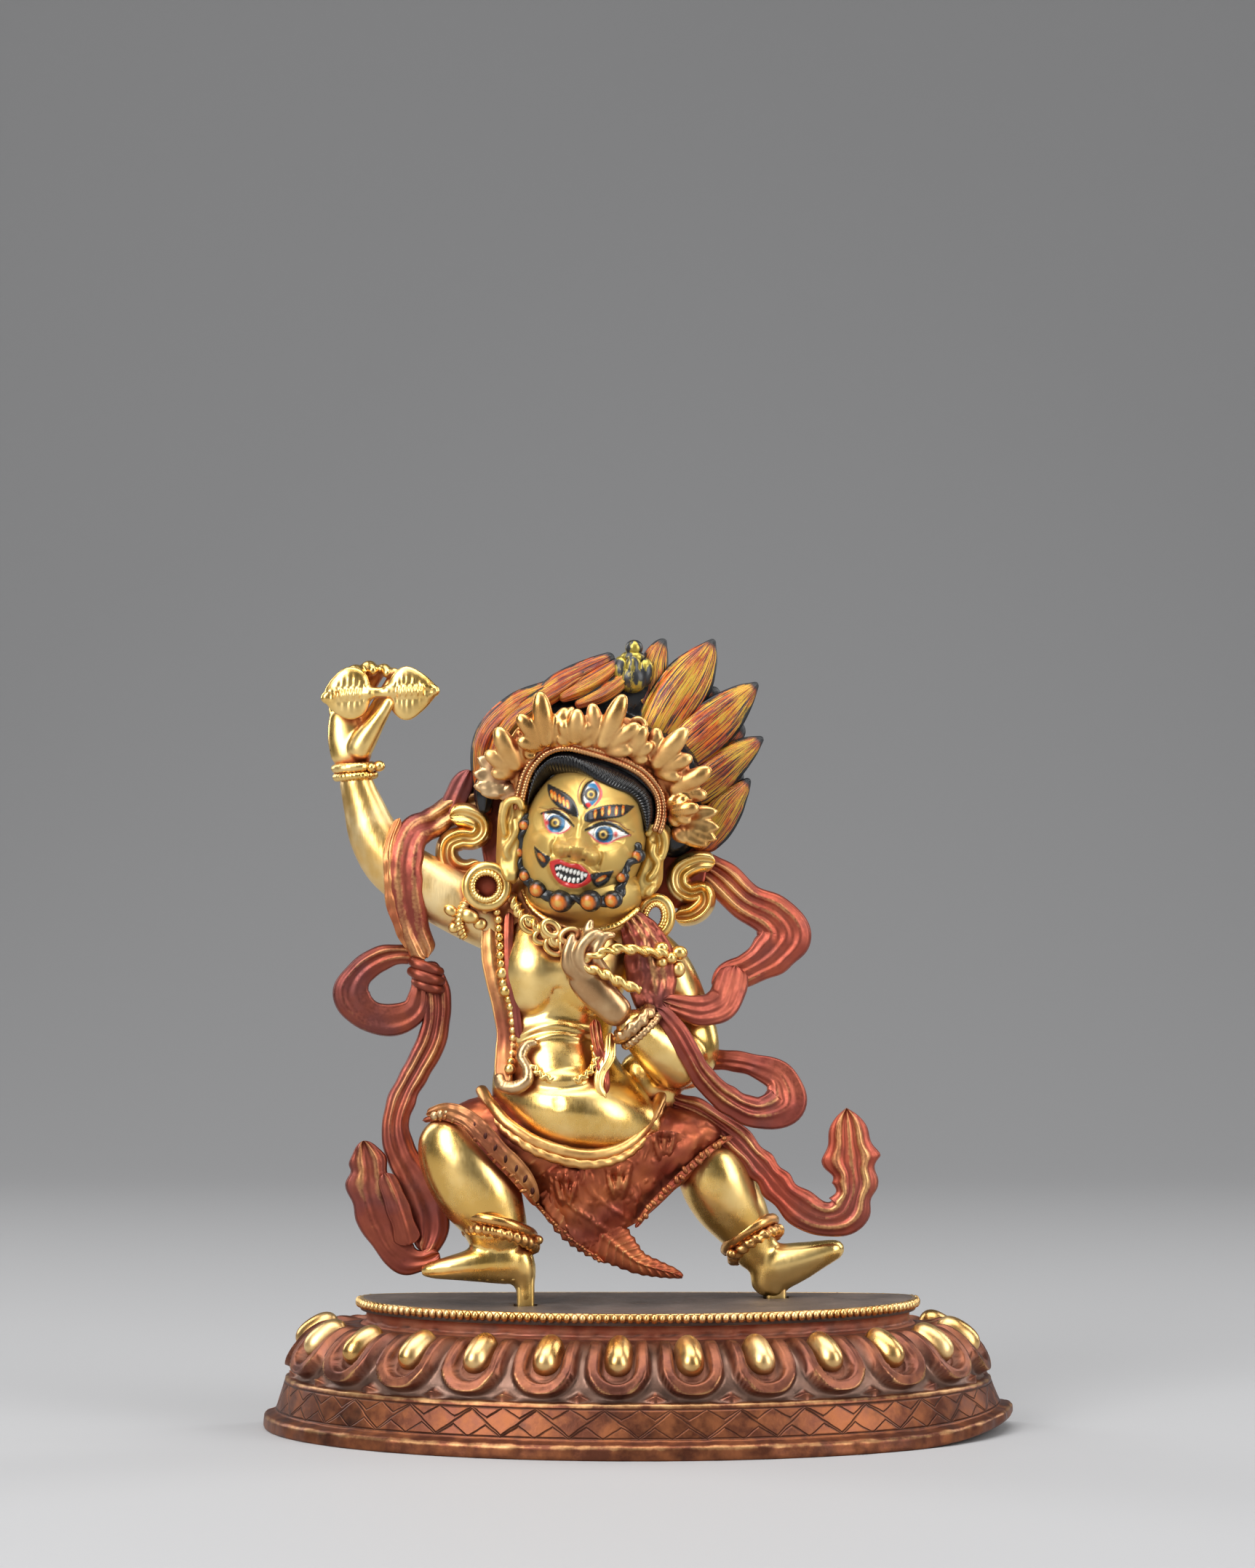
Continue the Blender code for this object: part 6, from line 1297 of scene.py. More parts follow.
# The scarf edge over the chest, its curl, the beads beside it and the garland over the belly.
vest = {"edge": [(-22.4, -3.0, 58.6, 2.0), (-22.6, -3.8, 55.0, 2.6), (-22.4, -4.4, 51.0, 2.8),
                 (-21.8, -4.8, 47.4, 2.6), (-20.9, -4.8, 43.6, 2.6), (-20.3, -4.8, 40.0, 2.5),
                 (-20.4, -5.6, 36.6, 2.6), (-20.4, -7.4, 33.4, 2.8), (-19.6, -8.8, 31.9, 1.8)],
        "curl": [(-21.2, -8.0, 33.6, 0.8), (-20.6, -9.2, 31.8, 1.0), (-18.6, -10.2, 31.5, 1.05),
                 (-16.9, -10.4, 32.6, 0.95), (-16.8, -10.0, 34.4, 0.85), (-17.7, -9.4, 36.2, 0.85),
                 (-16.9, -9.0, 37.9, 0.8), (-15.2, -8.8, 38.4, 0.55)],
        "beads": [(-21.4, 58.2, 0.62), (-21.2, 57.0, 0.7), (-21.15, 55.7, 0.66), (-21.0, 54.4, 0.72),
                  (-20.95, 53.0, 0.7), (-20.9, 51.6, 0.74), (-20.8, 50.3, 0.72), (-20.6, 48.9, 1.0),
                  (-20.4, 47.4, 0.8), (-20.1, 46.2, 1.05), (-19.6, 44.9, 0.75), (-19.3, 43.8, 0.82),
                  (-19.15, 42.6, 0.7), (-19.0, 41.5, 0.75), (-18.95, 40.2, 0.7), (-18.9, 39.0, 0.75),
                  (-19.0, 37.8, 0.7), (-19.15, 36.6, 0.74), (-19.35, 35.4, 0.7), (-19.5, 34.3, 0.88)],
        "cloth": [(-19.6, -5.0, 58.0, 1.6), (-19.7, -6.0, 53.0, 1.5), (-19.4, -6.4, 48.0, 1.4),
                  (-18.6, -5.9, 43.6, 1.3), (-18.1, -5.8, 39.0, 1.2)],
        "garland": [(-15.8, 34.6), (-14.8, 33.4), (-13.2, 32.7), (-11.6, 32.3), (-10.0, 32.4), (-8.5, 33.0),
                    (-7.1, 34.2), (-6.4, 35.9), (-6.6, 37.9)],
        "hang": [(-6.6, -7.6, 41.6, 1.9), (-6.2, -8.6, 38.6, 1.9), (-5.6, -9.4, 36.0, 2.1),
                 (-5.4, -9.8, 33.2, 2.2), (-4.9, -9.6, 30.6, 1.4)],
        "second": [(-4.2, -8.4, 39.6, 1.4), (-4.4, -9.4, 36.3, 1.9), (-5.7, -10.0, 33.8, 1.7),
                   (-5.9, -10.2, 31.6, 1.4), (-4.9, -10.0, 30.0, 0.9)]}
piece("vestEdge", ribbon("edge", vest["edge"], 130, ((-0.15, 0.25, 0.2),), 1.7, 0.55), vestCopper)
piece("vestCurl", sweep("curl", vest["curl"], 120, 20, lump=0.05), wornGold)
piece("vestCloth", ribbon("cloth", vest["cloth"], 90, ((0.0, 0.3, 0.2),), 1.4, 0.2), scarfRust)
beads = [(x, -5.4 - 0.9 * float(bell(z, 50, 9)) - 3.6 * float(ease(37.5 - z, 0, 4)), z, r, r * 0.9, r, 0)
         for x, z, r in vest["beads"]]
piece("vestBeads", balls("beads", beads, 16, 10), jewelGold)


def garlandMesh():  # two rows of small petals laid along the path, leaning outward by turns
    path = evenly(vest["garland"], 26)
    ahead = unit(np.gradient(path, axis=0))
    rows = []
    for k, ((x, z), (dx, dz)) in enumerate(zip(path, ahead)):
        lean = math.degrees(math.atan2(dx, dz)) + (38 if k % 2 else -38)
        y = -10.4 + 0.34 * max(0.0, z - 33) - 0.1 * abs(x + 11)
        rows.append((x, y, z, 0.42, 0.42, 0.95, lean))
    cord = [(x, -10.0 + 0.34 * max(0.0, z - 33) - 0.1 * abs(x + 11), z, 0.5) for x, z in vest["garland"]]
    return gather("garland", [balls("petals", rows, 16, 12), sweep("cord", cord, 90, 14)])


piece("garland", garlandMesh(), jewelGold)
piece("vestHang", ribbon("hang", vest["hang"], 100, ((-0.3, 0.2, 0.4), (0.4, 0.2, 0.35)), 1.7, 0.3,
                         rough=0.3), redBand)
piece("vestSecond", ribbon("second", vest["second"], 90, ((0.0, 0.3, 0.3),), 1.7, 0.4), jewelGold)
shoulderCloth = [(-1.4, -5.0, 57.6, 4.0), (1.2, -6.0, 53.0, 7.0), (2.0, -6.4, 48.6, 8.0),
                 (2.4, -6.8, 44.8, 6.4), (3.2, -7.0, 41.6, 3.2)]
flutes = ((-0.5, 0.14, 0.5), (-0.1, 0.14, 0.6), (0.35, 0.14, 0.5))
piece("shoulderCloth", ribbon("cloth", shoulderCloth, 110, flutes, 2.2, 0.3, rough=0.3), scarfPlum)
belt = [(-24.0, -2.2, 30.4), (-22.2, -7.4, 27.7), (-19.4, -10.0, 24.7), (-14.6, -11.2, 21.9),
        (-8.2, -11.4, 20.3), (-3.0, -9.8, 21.2), (0.6, -7.4, 23.9), (2.6, -4.2, 27.2), (3.8, -0.4, 30.4)]
rolls = [sweep("roll", [(x, y + 0.3, z + 0.95, 0.95) for x, y, z in belt], 100, 16, lump=0.05),
         sweep("roll", [(x, y + 0.1, z - 0.45, 0.80) for x, y, z in belt], 150, 12, rope=(2, 22, 0.10))]
piece("belt", gather("belt", rolls), beltGold)
print("stage: vest and belt")

# Shins, feet and the tangs under the heels.
legs = {"rightShin": [(-29.6, -4.6, 27.4, 2.6), (-29.0, -5.0, 25.2, 4.6), (-27.8, -5.2, 22.0, 5.9),
                      (-25.8, -5.4, 18.2, 6.4), (-23.4, -5.4, 14.2, 6.0), (-22.0, -5.4, 11.2, 5.1),
                      (-21.2, -5.4, 8.2, 4.6), (-20.8, -5.4, 5.6, 4.2)],
        "rightFoot": [(-17.2, -5.4, 5.2, 2.4, 2.3), (-18.6, -5.4, 4.9, 3.2, 2.9),
                      (-21.6, -5.6, 4.8, 3.2, 3.2), (-24.8, -6.2, 4.5, 2.6, 3.2),
                      (-28.2, -6.8, 4.1, 1.95, 2.8), (-31.2, -7.2, 3.75, 1.35, 2.0),
                      (-33.2, -7.4, 3.6, 0.8, 1.2)],
        "rightHeel": [(-18.8, -5.4, 7.4, 3.0), (-18.2, -5.4, 5.0, 2.6), (-17.6, -5.4, 3.0, 2.2),
                      (-17.2, -5.4, 1.4, 1.6), (-17.1, -5.4, -0.6, 1.5), (-17.2, -5.4, -2.0, 1.75)],
        "leftShin": [(10.8, 3.6, 24.2, 2.4), (10.8, 3.6, 22.0, 4.4), (11.6, 3.8, 18.4, 5.6),
                     (13.2, 4.4, 14.9, 5.5), (15.5, 5.2, 11.4, 4.7), (17.2, 5.8, 8.4, 3.7),
                     (18.2, 6.0, 5.6, 3.2), (18.8, 6.0, 3.6, 2.8)],
        "leftFoot": [(17.0, 6.0, 4.4, 2.6, 2.4), (18.8, 6.0, 4.1, 3.5, 2.7), (21.4, 5.9, 4.2, 3.6, 3.0),
                     (24.6, 5.6, 5.1, 3.0, 3.0), (27.6, 5.2, 6.1, 2.2, 2.6), (30.0, 5.0, 6.9, 1.6, 2.1),
                     (31.4, 4.8, 7.3, 1.2, 1.7)],
        "leftHeel": [(18.4, 6.0, 4.4, 2.4), (19.6, 6.0, 2.2, 2.5), (20.7, 6.0, 0.6, 2.0),
                     (21.0, 6.0, -0.8, 1.75)]}
for side in ("right", "left"):
    forms = [sweep("shin", legs[side + "Shin"], 90, 50), sweep("foot", legs[side + "Foot"], 70, 34),
             sweep("heel", legs[side + "Heel"], 30, 24)]
    piece(side + "Leg", fused("leg", forms, 0.00048, 7), bodyGold)
tangs = {"right": (-17.1, -5.4, 2.6, 3.4), "left": (21.0, 6.0, 3.0, 3.0)}


def tangMesh(x, y, width, top):  # a squared stem from the foot to 2.6 mm under the deck's top
    upper, low = place((x, y, top)), stance["deckTop"] - 0.0026
    a = np.linspace(0, turn, 28, endpoint=False)
    c, s = np.cos(a), np.sin(a)
    x = np.sign(c) * np.abs(c) ** 0.35 * width / 2 * stance["unit"]
    box = np.stack([x, np.sign(s) * np.abs(s) ** 0.35 * 0.0012, 0 * a], 1)
    grid = np.stack([box + (upper[0], upper[1], level) for level in np.linspace(low, upper[2], 14)])
    return tubeMesh("tang", grid, metres=True)


for side, measures in tangs.items():
    piece(side + "Tang", tangMesh(*measures), jewelGold)
anklets = {"right": [(-21.3, -5.4, 10.3, 5.3, 5.7, 0.92, -14, 0),
                     (-20.9, -5.4, 8.5, 5.2, 5.6, 0.88, -14, 26)],
           "left": [(17.0, 5.8, 9.1, 4.2, 4.0, 0.92, 32, 0), (17.9, 5.8, 7.6, 4.1, 3.9, 0.82, 32, 18)]}
for side in ("right", "left"):
    rolls = []
    for *ring, turns in anklets[side]:
        rope = (1, turns, 0.18 if turns else 0)
        rolls.append(sweep("roll", bangle(*ring, -0.8), 160 if turns else 90, 12, True, rope=rope,
                           lump=0.03))
    end = (-15.2, -6.8, 8.3) if side == "right" else (14.2, 3.0, 6.2)
    rolls.append(balls("knob", [(*end, 0.8, 0.8, 0.75, 0)], 18, 12))
    piece(side + "Anklet", gather("anklet", rolls), crownGold)
drops = [(-19.0 - 1.8 * k + 0.3 * math.sin(2.4 * k), -6.8 - 0.18 * k, 2.34 + 0.0145 * k * k, 0.42, 0.5,
          0.42, 0) for k in range(7)]
drops += [(21.2 + 0.9 * k, 4.4 - 0.06 * k, 2.2 + 0.43 * k, 0.34, 0.4, 0.34, 0) for k in range(10)]
# seven under the right sole, ten under the left
piece("soleBeads", balls("soleBeads", drops, 12, 8), jewelGold)
print("stage: legs")

# The tiger skin: a sleeve over each thigh, the apron between them with its tail, claws and fringed hem.
skin = {"right": [(-5.0, 0.2, 21.5, 6.0, 6.6), (-10.0, -0.6, 21.8, 7.0, 7.6), (-16.0, -1.6, 22.6, 7.2, 7.8),
                  (-22.0, -2.8, 23.6, 6.8, 7.0), (-27.0, -3.8, 24.8, 5.2, 5.8),
                  (-30.2, -4.2, 26.2, 2.6, 3.6)],
        "left": [(-7.0, 1.0, 21.0, 6.0, 6.4), (-2.0, 0.8, 21.2, 7.2, 7.6), (3.4, 1.6, 22.5, 6.9, 7.2),
                 (8.2, 2.8, 24.1, 4.5, 5.8), (11.4, 3.6, 24.2, 2.6, 4.6), (13.2, 4.0, 23.9, 1.3, 3.0)],
        "topLine": [(-19.0, 24.6), (-14.0, 21.4), (-8.0, 20.2), (-3.0, 21.2), (0.6, 23.6), (4.0, 25.0),
                    (8.0, 24.0)],
        "lowLine": [(-17.6, 16.2), (-15.6, 13.4), (-12.0, 9.8), (-8.6, 7.0), (-4.0, 9.0), (1.6, 12.2),
                    (8.2, 18.6)],
        "tail": [(-12.4, -6.2, 17.0, 7.0), (-9.4, -5.8, 12.6, 8.6), (-5.6, -5.2, 9.2, 8.0),
                 (-2.6, -4.6, 6.8, 5.6), (0.0, -4.2, 4.9, 3.6), (3.0, -4.0, 3.9, 2.6),
                 (5.6, -3.8, 3.2, 1.6), (6.8, -3.8, 2.7, 0.6)],
        "claws": [(-11.0, 16.2), (-3.0, 17.2), (4.0, 23.0)]}


def thighMesh(rows, seed):  # the sleeve, stippled with short raised locks of fur
    path = through(rows, 96)
    ahead = heading(path[:, :3])
    out = unit(towardEye - ahead * (ahead @ towardEye)[:, None])
    side = np.cross(ahead, out)
    a = np.linspace(0, turn, 88, endpoint=False)
    run = travelled(path[:, :3])[:, None]
    end = np.minimum(run / 3.0, (run[-1] - run) / 2.0)
    close = np.sqrt(np.clip(1 - (1 - np.clip(end, 0, 1)) ** 2, 0.02, 1))
    fur = np.clip(np.cos(run * 2.3 + 1.5 * np.cos(7 * a) + seed), 0, 1)
    fur = fur * np.clip(np.cos(17 * a + 2.2 * np.sin(run * 0.8)), 0, 1)
    radius = close * (1 + 0.030 * fur)
    grid = path[:, None, :3] + side[:, None] * (path[:, 3:4] * radius * np.cos(a))[..., None]
    grid = grid + out[:, None] * (path[:, 4:5] * radius * np.sin(a))[..., None]
    grid += out[:, None] * (wobble(grid.reshape(-1, 3), 3.2, seed).reshape(96, -1) * 0.22)[..., None]
    return tubeMesh("thigh", grid, False, {"crest": fur * 0.8})


def apronMesh():  # front sheet between the belt and the hem, carved with fur, stripes and claws
    top, low = evenly(skin["topLine"], 132), evenly(skin["lowLine"], 132)
    t = np.linspace(0, 1, 80)[None, :, None]
    flat = top[:, None] * (1 - t) + low[:, None] * t
    x, z = flat[..., 0], flat[..., 1]
    points = np.stack([x.ravel(), z.ravel()], 1)
    sway, drift = wobble(points, 4.0, 7).reshape(x.shape), wobble(points, 3.0, 8).reshape(x.shape)
    strokes = np.clip(np.cos(5.2 * x + 2.2 * sway), 0, 1)
    strokes = strokes * np.clip(np.cos(2.0 * z + 3.0 * drift + 1.3 * x), 0, 1)
    rise = 0.22 * wobble(points, 3.4, 4).reshape(x.shape) + 0.22 * strokes
    stripes = np.clip(np.sin(x * 1.1 + 0.9 * z + 1.6 * np.sin(0.5 * z)), 0, 1) ** 3 * bell(x, -6, 9)
    rise += 0.30 * stripes
    crest = 0.5 * stripes + 0.35 * strokes
    for cx, cz in skin["claws"]:
        for k in (-1, 0, 1):
            claw = dome(x, z, cx + 1.1 * k, cz - 0.5 * abs(k), 0.62, 2.4, 1.0, 14 * k, 0.7)
            rise += 1.0 * claw
            crest = np.maximum(crest, claw * 0.7)
        rise += dome(x, z, cx, cz + 2.2, 2.4, 1.4, 0.9, 0, 0.8)
    y = -9.6 + 0.045 * (x + 7.5) ** 2 * 0.55 + 3.6 * t[..., 0] ** 1.5
    front = np.stack([x, y - rise, z], -1)
    back = np.stack([x, y + 2.6, z], -1)
    return slabMesh("apron", front, back, {"crest": np.clip(crest, 0, 1)})


def tailMesh(rows):  # a flat tail with chevrons of fur pointing to its tip
    path = through(rows, 112)
    ahead = heading(path[:, :3])
    side = unit(np.cross(ahead, towardEye))
    run = travelled(path[:, :3])[:, None]
    s = np.linspace(-1, 1, 35)[None]
    furStep = 1.35
    chevron = np.clip(np.cos(2 * math.pi * (run - 1.6 * np.abs(s)) / furStep), 0, 1) ** 1.5
    chevron = chevron * np.clip(1 - np.abs(s) ** 6, 0, 1)
    spine = bell(s, 0, 0.12)
    lift = 1.0 * np.sqrt(np.clip(1 - s**2 * 0.96, 0, 1)) + 0.22 * chevron + 0.25 * spine
    saw = 1 + 0.05 * np.cos(2 * math.pi * run / furStep) * np.abs(s)
    front = path[:, None, :3] + side[:, None] * (path[:, 3:4] / 2 * s * saw)[..., None]
    back = front.copy()
    front[..., 1] -= lift
    back[..., 1] += 0.9
    return slabMesh("tail", front, back, {"crest": 0.75 * chevron + 0.3 * spine * np.ones_like(chevron)})


piece("rightThigh", thighMesh(skin["right"], 2), skirtRust)
piece("leftThigh", thighMesh(skin["left"], 6), skirtRust)
piece("apron", apronMesh(), skirtRust)
piece("seat", fused("seat", [balls("seat", [(-7.4, 1.4, 21.4, 12.0, 7.4, 6.8, 4),
    (-13.5, 1.0, 21.8, 8.0, 7.0, 6.2, 0), (0.5, 1.8, 21.6, 7.4, 6.8, 6.0, 0)], 40, 26)], 0.00060, 4),
      skirtRust)
piece("furTail", tailMesh(skin["tail"]), skirtRust)
hems = {"right": [(-32.2, -5.6, 26.6, 1.3), (-29.6, -8.8, 27.0, 1.5), (-26.6, -11.0, 26.0, 1.7),
                  (-24.2, -11.6, 23.6, 1.9), (-21.8, -11.4, 20.8, 1.9), (-19.2, -10.4, 18.2, 1.9),
                  (-17.0, -9.0, 15.6, 1.7), (-15.8, -7.6, 13.8, 1.2)],
        "left": [(-0.4, -6.4, 10.2, 1.2), (1.6, -6.4, 13.0, 1.5), (4.2, -5.6, 15.8, 1.6),
                 (6.8, -4.4, 18.3, 1.7), (9.6, -2.9, 20.9, 1.7), (12.4, -1.3, 23.1, 1.4),
                 (14.2, -0.2, 24.0, 1.0)],
        "tail": [(-15.8, -6.6, 14.2, 0.9), (-12.6, -6.4, 10.6, 1.0), (-8.8, -6.0, 7.4, 1.0),
                 (-5.2, -5.4, 4.9, 0.9)]}
hemBand = [(-31.6, -6.2, 27.6, 1.6), (-29.0, -9.2, 28.0, 2.4), (-26.0, -11.2, 26.8, 2.8),
           (-23.4, -11.9, 24.4, 3.0), (-21.0, -11.7, 21.7, 3.0), (-18.4, -10.7, 19.2, 2.8),
           (-16.4, -9.2, 16.6, 2.2), (-15.6, -7.8, 14.4, 1.4)]
piece("hemBand", ribbon("band", hemBand, 120, ((-0.30, 0.2, 0.25), (0.45, 0.2, 0.3)), 1.3, 0.3, rough=0.12),
      furTuft)
# dark balls along the hem band stand in for the shade inside its slots: painted shade
slots = evenly([row[:3] for row in hemBand], 12)[2:-1]
slots = [(x + 0.2, y - 0.36, z - 0.25, 0.36, 0.5, 0.85, 14 + 10 * math.sin(2.1 * k)) for k,
         (x, y, z) in enumerate(slots)]
piece("hemSlots", balls("slots", slots, 16, 10), slotShade)
for key, rows in hems.items():
    rows = [(x, y + 0.2, z, 0.7 * w) for x, y, z, w in rows]
    piece(key + "Hem", ribbon(key, rows, 100, ((0.0, 0.35, 0.25),), 1.1, 0.3, rough=0.16), skirtRust)


def hemStitches():  # tufts of fur across the hem, in a row along it
    rows = []
    for key, count, size in (("right", 15, 0.8), ("left", 17, 0.95), ("tail", 16, 0.75)):
        path = evenly(hems[key], count + 2)[1:-1]
        ahead = unit(np.gradient(path[:, :3], axis=0))
        for k, ((x, y, z, w), (dx, _, dz)) in enumerate(zip(path, ahead)):
            swing, tall = 18 * math.sin(2.3 * k + count), size * (0.62 + 0.14 * math.sin(3.1 * k))
            lean = math.degrees(math.atan2(dx, dz)) + 90 + 14 + swing
            rows.append((x + 0.2 * math.sin(1.9 * k), y - 0.45, z + 0.2 * math.cos(2.7 * k), 0.47 * size,
                         0.55, tall * w * 0.66, lean))
    return balls("stitches", rows, 11, 8)


piece("hemStitches", hemStitches(), furTuft)
drops = [(-30.9 + 0.95 * k, -8.6 - 0.45 * k, 27.2 + 0.32 * k - 0.06 * k * k, 0.66, 0.6, 0.72, 0)
         for k in range(7)]
piece("hemBeads", balls("hemBeads", drops, 16, 10), wornGold)
print("stage: tiger skin")

# The long scarf: behind the head, over both arms, its bows and its tails. Each run gives its colour,
# its stations (x, y, z, width), its flutes, its thickness and whether it is a closed loop.
scarfColours = {"plum": scarfPlum, "deep": scarfDeep, "rust": scarfRust}
evenFlutes = ((-0.42, 0.18, 0.62), (0.40, 0.18, 0.62))
scarf = {"behindHead": ("plum", [(-29.0, 3.6, 73.8, 4.0), (-25.0, 3.8, 73.6, 8.0), (-18.0, 3.8, 71.0, 9.0),
    (-8.0, 3.8, 68.0, 9.0), (4.0, 3.8, 64.8, 9.0), (10.0, 3.6, 63.6, 6.4)], evenFlutes, 2.2, False),
         "overRightArm": ("plum", [(-22.5, 3.0, 75.6, 4.0), (-27.5, 2.2, 74.0, 5.0),
             (-31.2, 0.5, 71.8, 4.6), (-34.2, -2.6, 70.0, 5.0), (-35.4, -4.2, 66.0, 5.4),
             (-35.2, -4.0, 61.0, 5.4), (-34.2, -2.4, 56.0, 4.8), (-32.4, -1.2, 51.6, 4.2)],
                          ((-0.46, 0.27, 1.15), (0.44, 0.27, 1.15)), 2.2, False),
         "neckFold": ("plum", [(-28.8, 1.6, 72.6, 3.0), (-27.8, 1.4, 75.2, 3.8), (-26.6, 1.4, 77.8, 3.4),
             (-25.6, 1.4, 79.8, 2.0)], ((0.0, 0.2, 0.6),), 2.4, False),
         "downRight": ("deep", [(-32.6, -1.4, 50.4, 3.4), (-31.0, -0.8, 47.4, 4.0),
             (-30.6, -0.8, 43.0, 4.4), (-31.4, -1.0, 38.6, 4.4), (-33.6, -1.4, 34.2, 4.2),
             (-35.8, -2.0, 30.0, 4.2), (-36.9, -2.6, 25.6, 4.0), (-36.0, -3.2, 21.4, 4.8),
             (-33.8, -3.8, 17.4, 5.8), (-32.0, -4.0, 13.4, 6.4), (-31.6, -4.0, 9.6, 5.4),
             (-32.6, -4.2, 6.4, 4.0)], evenFlutes, 1.9, False),
         "rightBow": ("deep", [(-34.2, -0.8, 51.4, 2.6), (-38.4, -0.8, 51.4, 3.6), (-42.2, -0.8, 49.0, 4.4),
             (-43.6, -0.8, 45.6, 5.6), (-41.2, -0.8, 42.6, 4.8), (-37.2, -0.8, 41.8, 4.8),
             (-33.8, -0.8, 43.6, 4.2), (-33.2, -0.8, 48.0, 2.4)], ((0.52, 0.20, 0.60), (-0.25, 0.22, 0.40)),
                      1.8, True),
         "rightTail": ("deep", [(-30.2, -4.6, 6.2, 2.6), (-32.6, -4.6, 5.2, 3.6), (-35.2, -4.4, 5.4, 4.6),
             (-37.8, -4.4, 7.6, 5.0), (-39.4, -4.4, 11.4, 6.0), (-40.8, -4.4, 15.6, 6.4),
             (-41.0, -4.4, 19.6, 5.8), (-41.8, -4.4, 23.4, 2.6)], evenFlutes, 1.8, False),
         "tailFold": ("deep", [(-34.8, -5.4, 7.6, 4.0), (-35.8, -5.6, 11.0, 3.8), (-37.2, -5.6, 15.0, 3.4),
             (-38.6, -5.4, 18.4, 2.6)], ((0.0, 0.2, 0.4),), 1.2, False),
         "leftNeckBow": ("rust", [(8.6, 3.2, 66.0, 3.4), (12.4, 3.2, 63.6, 5.4), (16.4, 3.0, 59.8, 6.0),
             (20.4, 2.8, 57.6, 6.6), (22.2, 2.8, 54.8, 8.2), (20.2, 2.6, 51.8, 6.8), (16.6, 2.4, 49.4, 5.2),
             (13.6, 2.0, 48.2, 4.4), (12.8, 1.6, 46.0, 3.8)],
                         ((-0.58, 0.12, 0.80), (-0.05, 0.12, 0.70), (0.50, 0.13, 0.80)), 1.8, False),
         "shoulderFold": ("plum", [(3.6, -7.2, 44.8, 2.4), (6.6, -6.6, 43.8, 3.8), (9.8, -5.4, 43.2, 4.8),
             (12.6, -3.4, 44.2, 5.4), (13.9, -1.6, 46.6, 5.2), (14.6, 0.2, 49.4, 4.6)],
                          ((-0.55, 0.15, 0.55), (0.0, 0.15, 0.65), (0.52, 0.15, 0.55)), 1.9, False),
         "overLeftArm": ("plum", [(3.0, -8.6, 43.4, 2.4), (5.6, -9.2, 40.4, 3.4), (7.8, -8.6, 36.6, 3.4),
             (10.0, -7.0, 33.0, 3.6), (13.4, -4.4, 29.8, 4.2), (18.0, -2.6, 27.7, 4.8),
             (22.2, -1.4, 29.0, 6.6), (21.6, -0.6, 32.9, 5.2), (17.8, 0.0, 34.8, 3.6),
             (14.0, 0.8, 35.6, 3.2), (9.6, 1.6, 35.8, 3.2)], ((-0.45, 0.16, 0.55), (0.15, 0.16, 0.55)), 1.8,
                         False),
         "leftTail": ("rust", [(3.4, 1.0, 29.6, 3.6), (9.0, 0.6, 27.6, 4.2), (14.4, 1.2, 24.0, 4.4),
             (18.8, 1.8, 19.4, 4.6), (22.8, 2.2, 14.8, 5.2), (27.4, 2.8, 11.7, 5.6), (31.4, 2.8, 12.2, 6.2),
             (33.0, 2.8, 16.4, 6.4), (32.4, 2.8, 20.6, 8.0), (32.0, 2.8, 24.6, 6.6),
             (31.7, 2.8, 28.4, 0.8)], ((-0.50, 0.14, 0.75), (0.0, 0.13, 0.45), (0.50, 0.14, 0.75)), 1.8,
                      False)}
for k, (key, (kind, rows, flutes, thick, loop)) in enumerate(scarf.items()):
    wave = 0.10 if "Tail" in key else 0.03
    piece(key, ribbon(key, rows, 124, flutes, thick, 0.26, loop, 0.05, k, wave), scarfColours[kind])
scrolls = {"right": [(-28.5, 0.2, 72.7, 2.2), (-26.5, 0.0, 72.9, 2.5), (-24.4, 0.0, 72.1, 2.5),
                     (-23.9, 0.0, 70.6, 2.3), (-25.0, 0.0, 69.4, 2.3), (-27.0, 0.0, 69.4, 2.4),
                     (-28.8, 0.0, 68.5, 2.5), (-29.0, 0.0, 66.4, 2.5), (-27.9, 0.0, 64.9, 2.4),
                     (-25.9, 0.0, 64.5, 2.3), (-23.9, 0.2, 65.5, 2.0)],
           "left": [(11.6, 0.6, 65.8, 2.0), (9.0, 0.4, 65.8, 2.4), (6.5, 0.4, 64.4, 2.5),
                    (6.3, 0.4, 62.3, 2.4), (7.8, 0.4, 61.1, 2.3), (9.8, 0.4, 61.3, 2.2),
                    (10.0, 0.4, 59.5, 2.3), (8.2, 0.4, 57.9, 2.4), (5.7, 0.6, 57.5, 2.0)]}
for side, rows in scrolls.items():
    wider = [(x, y, z, 1.5 * w) for x, y, z, w in rows]
    flutes = ((-0.50, 0.24, 1.05), (0.50, 0.24, 1.05))
    piece(side + "Scroll", ribbon(side, wider, 120, flutes, 2.4, 0.0, False, 0.03, 31), jewelGold)
knot = [[(-34.6, -1.8, 51.0, 0.7), (-33.4, -3.4, 50.2, 0.9), (-31.2, -3.4, 49.4, 0.9),
         (-29.8, -1.8, 49.0, 0.7)], [(-34.8, -1.8, 49.4, 0.7), (-33.4, -3.6, 48.7, 0.9),
             (-31.2, -3.6, 47.9, 0.9), (-29.6, -1.8, 47.6, 0.7)],
        [(-34.2, -1.6, 47.8, 0.6), (-33.0, -3.2, 47.2, 0.8), (-31.0, -3.2, 46.5, 0.8),
         (-29.6, -1.6, 46.4, 0.6)]]
piece("scarfKnot", gather("knot", [sweep("wrap", rows, 60, 20) for rows in knot]), scarfDeep)
scarfEdge = [(-36.4, -2.6, 72.2, 1.2), (-37.7, -4.2, 68.6, 1.7), (-37.9, -4.6, 64.6, 1.8),
             (-37.6, -4.4, 60.0, 1.7), (-36.4, -3.4, 56.0, 1.6), (-35.0, -2.0, 52.8, 1.2)]
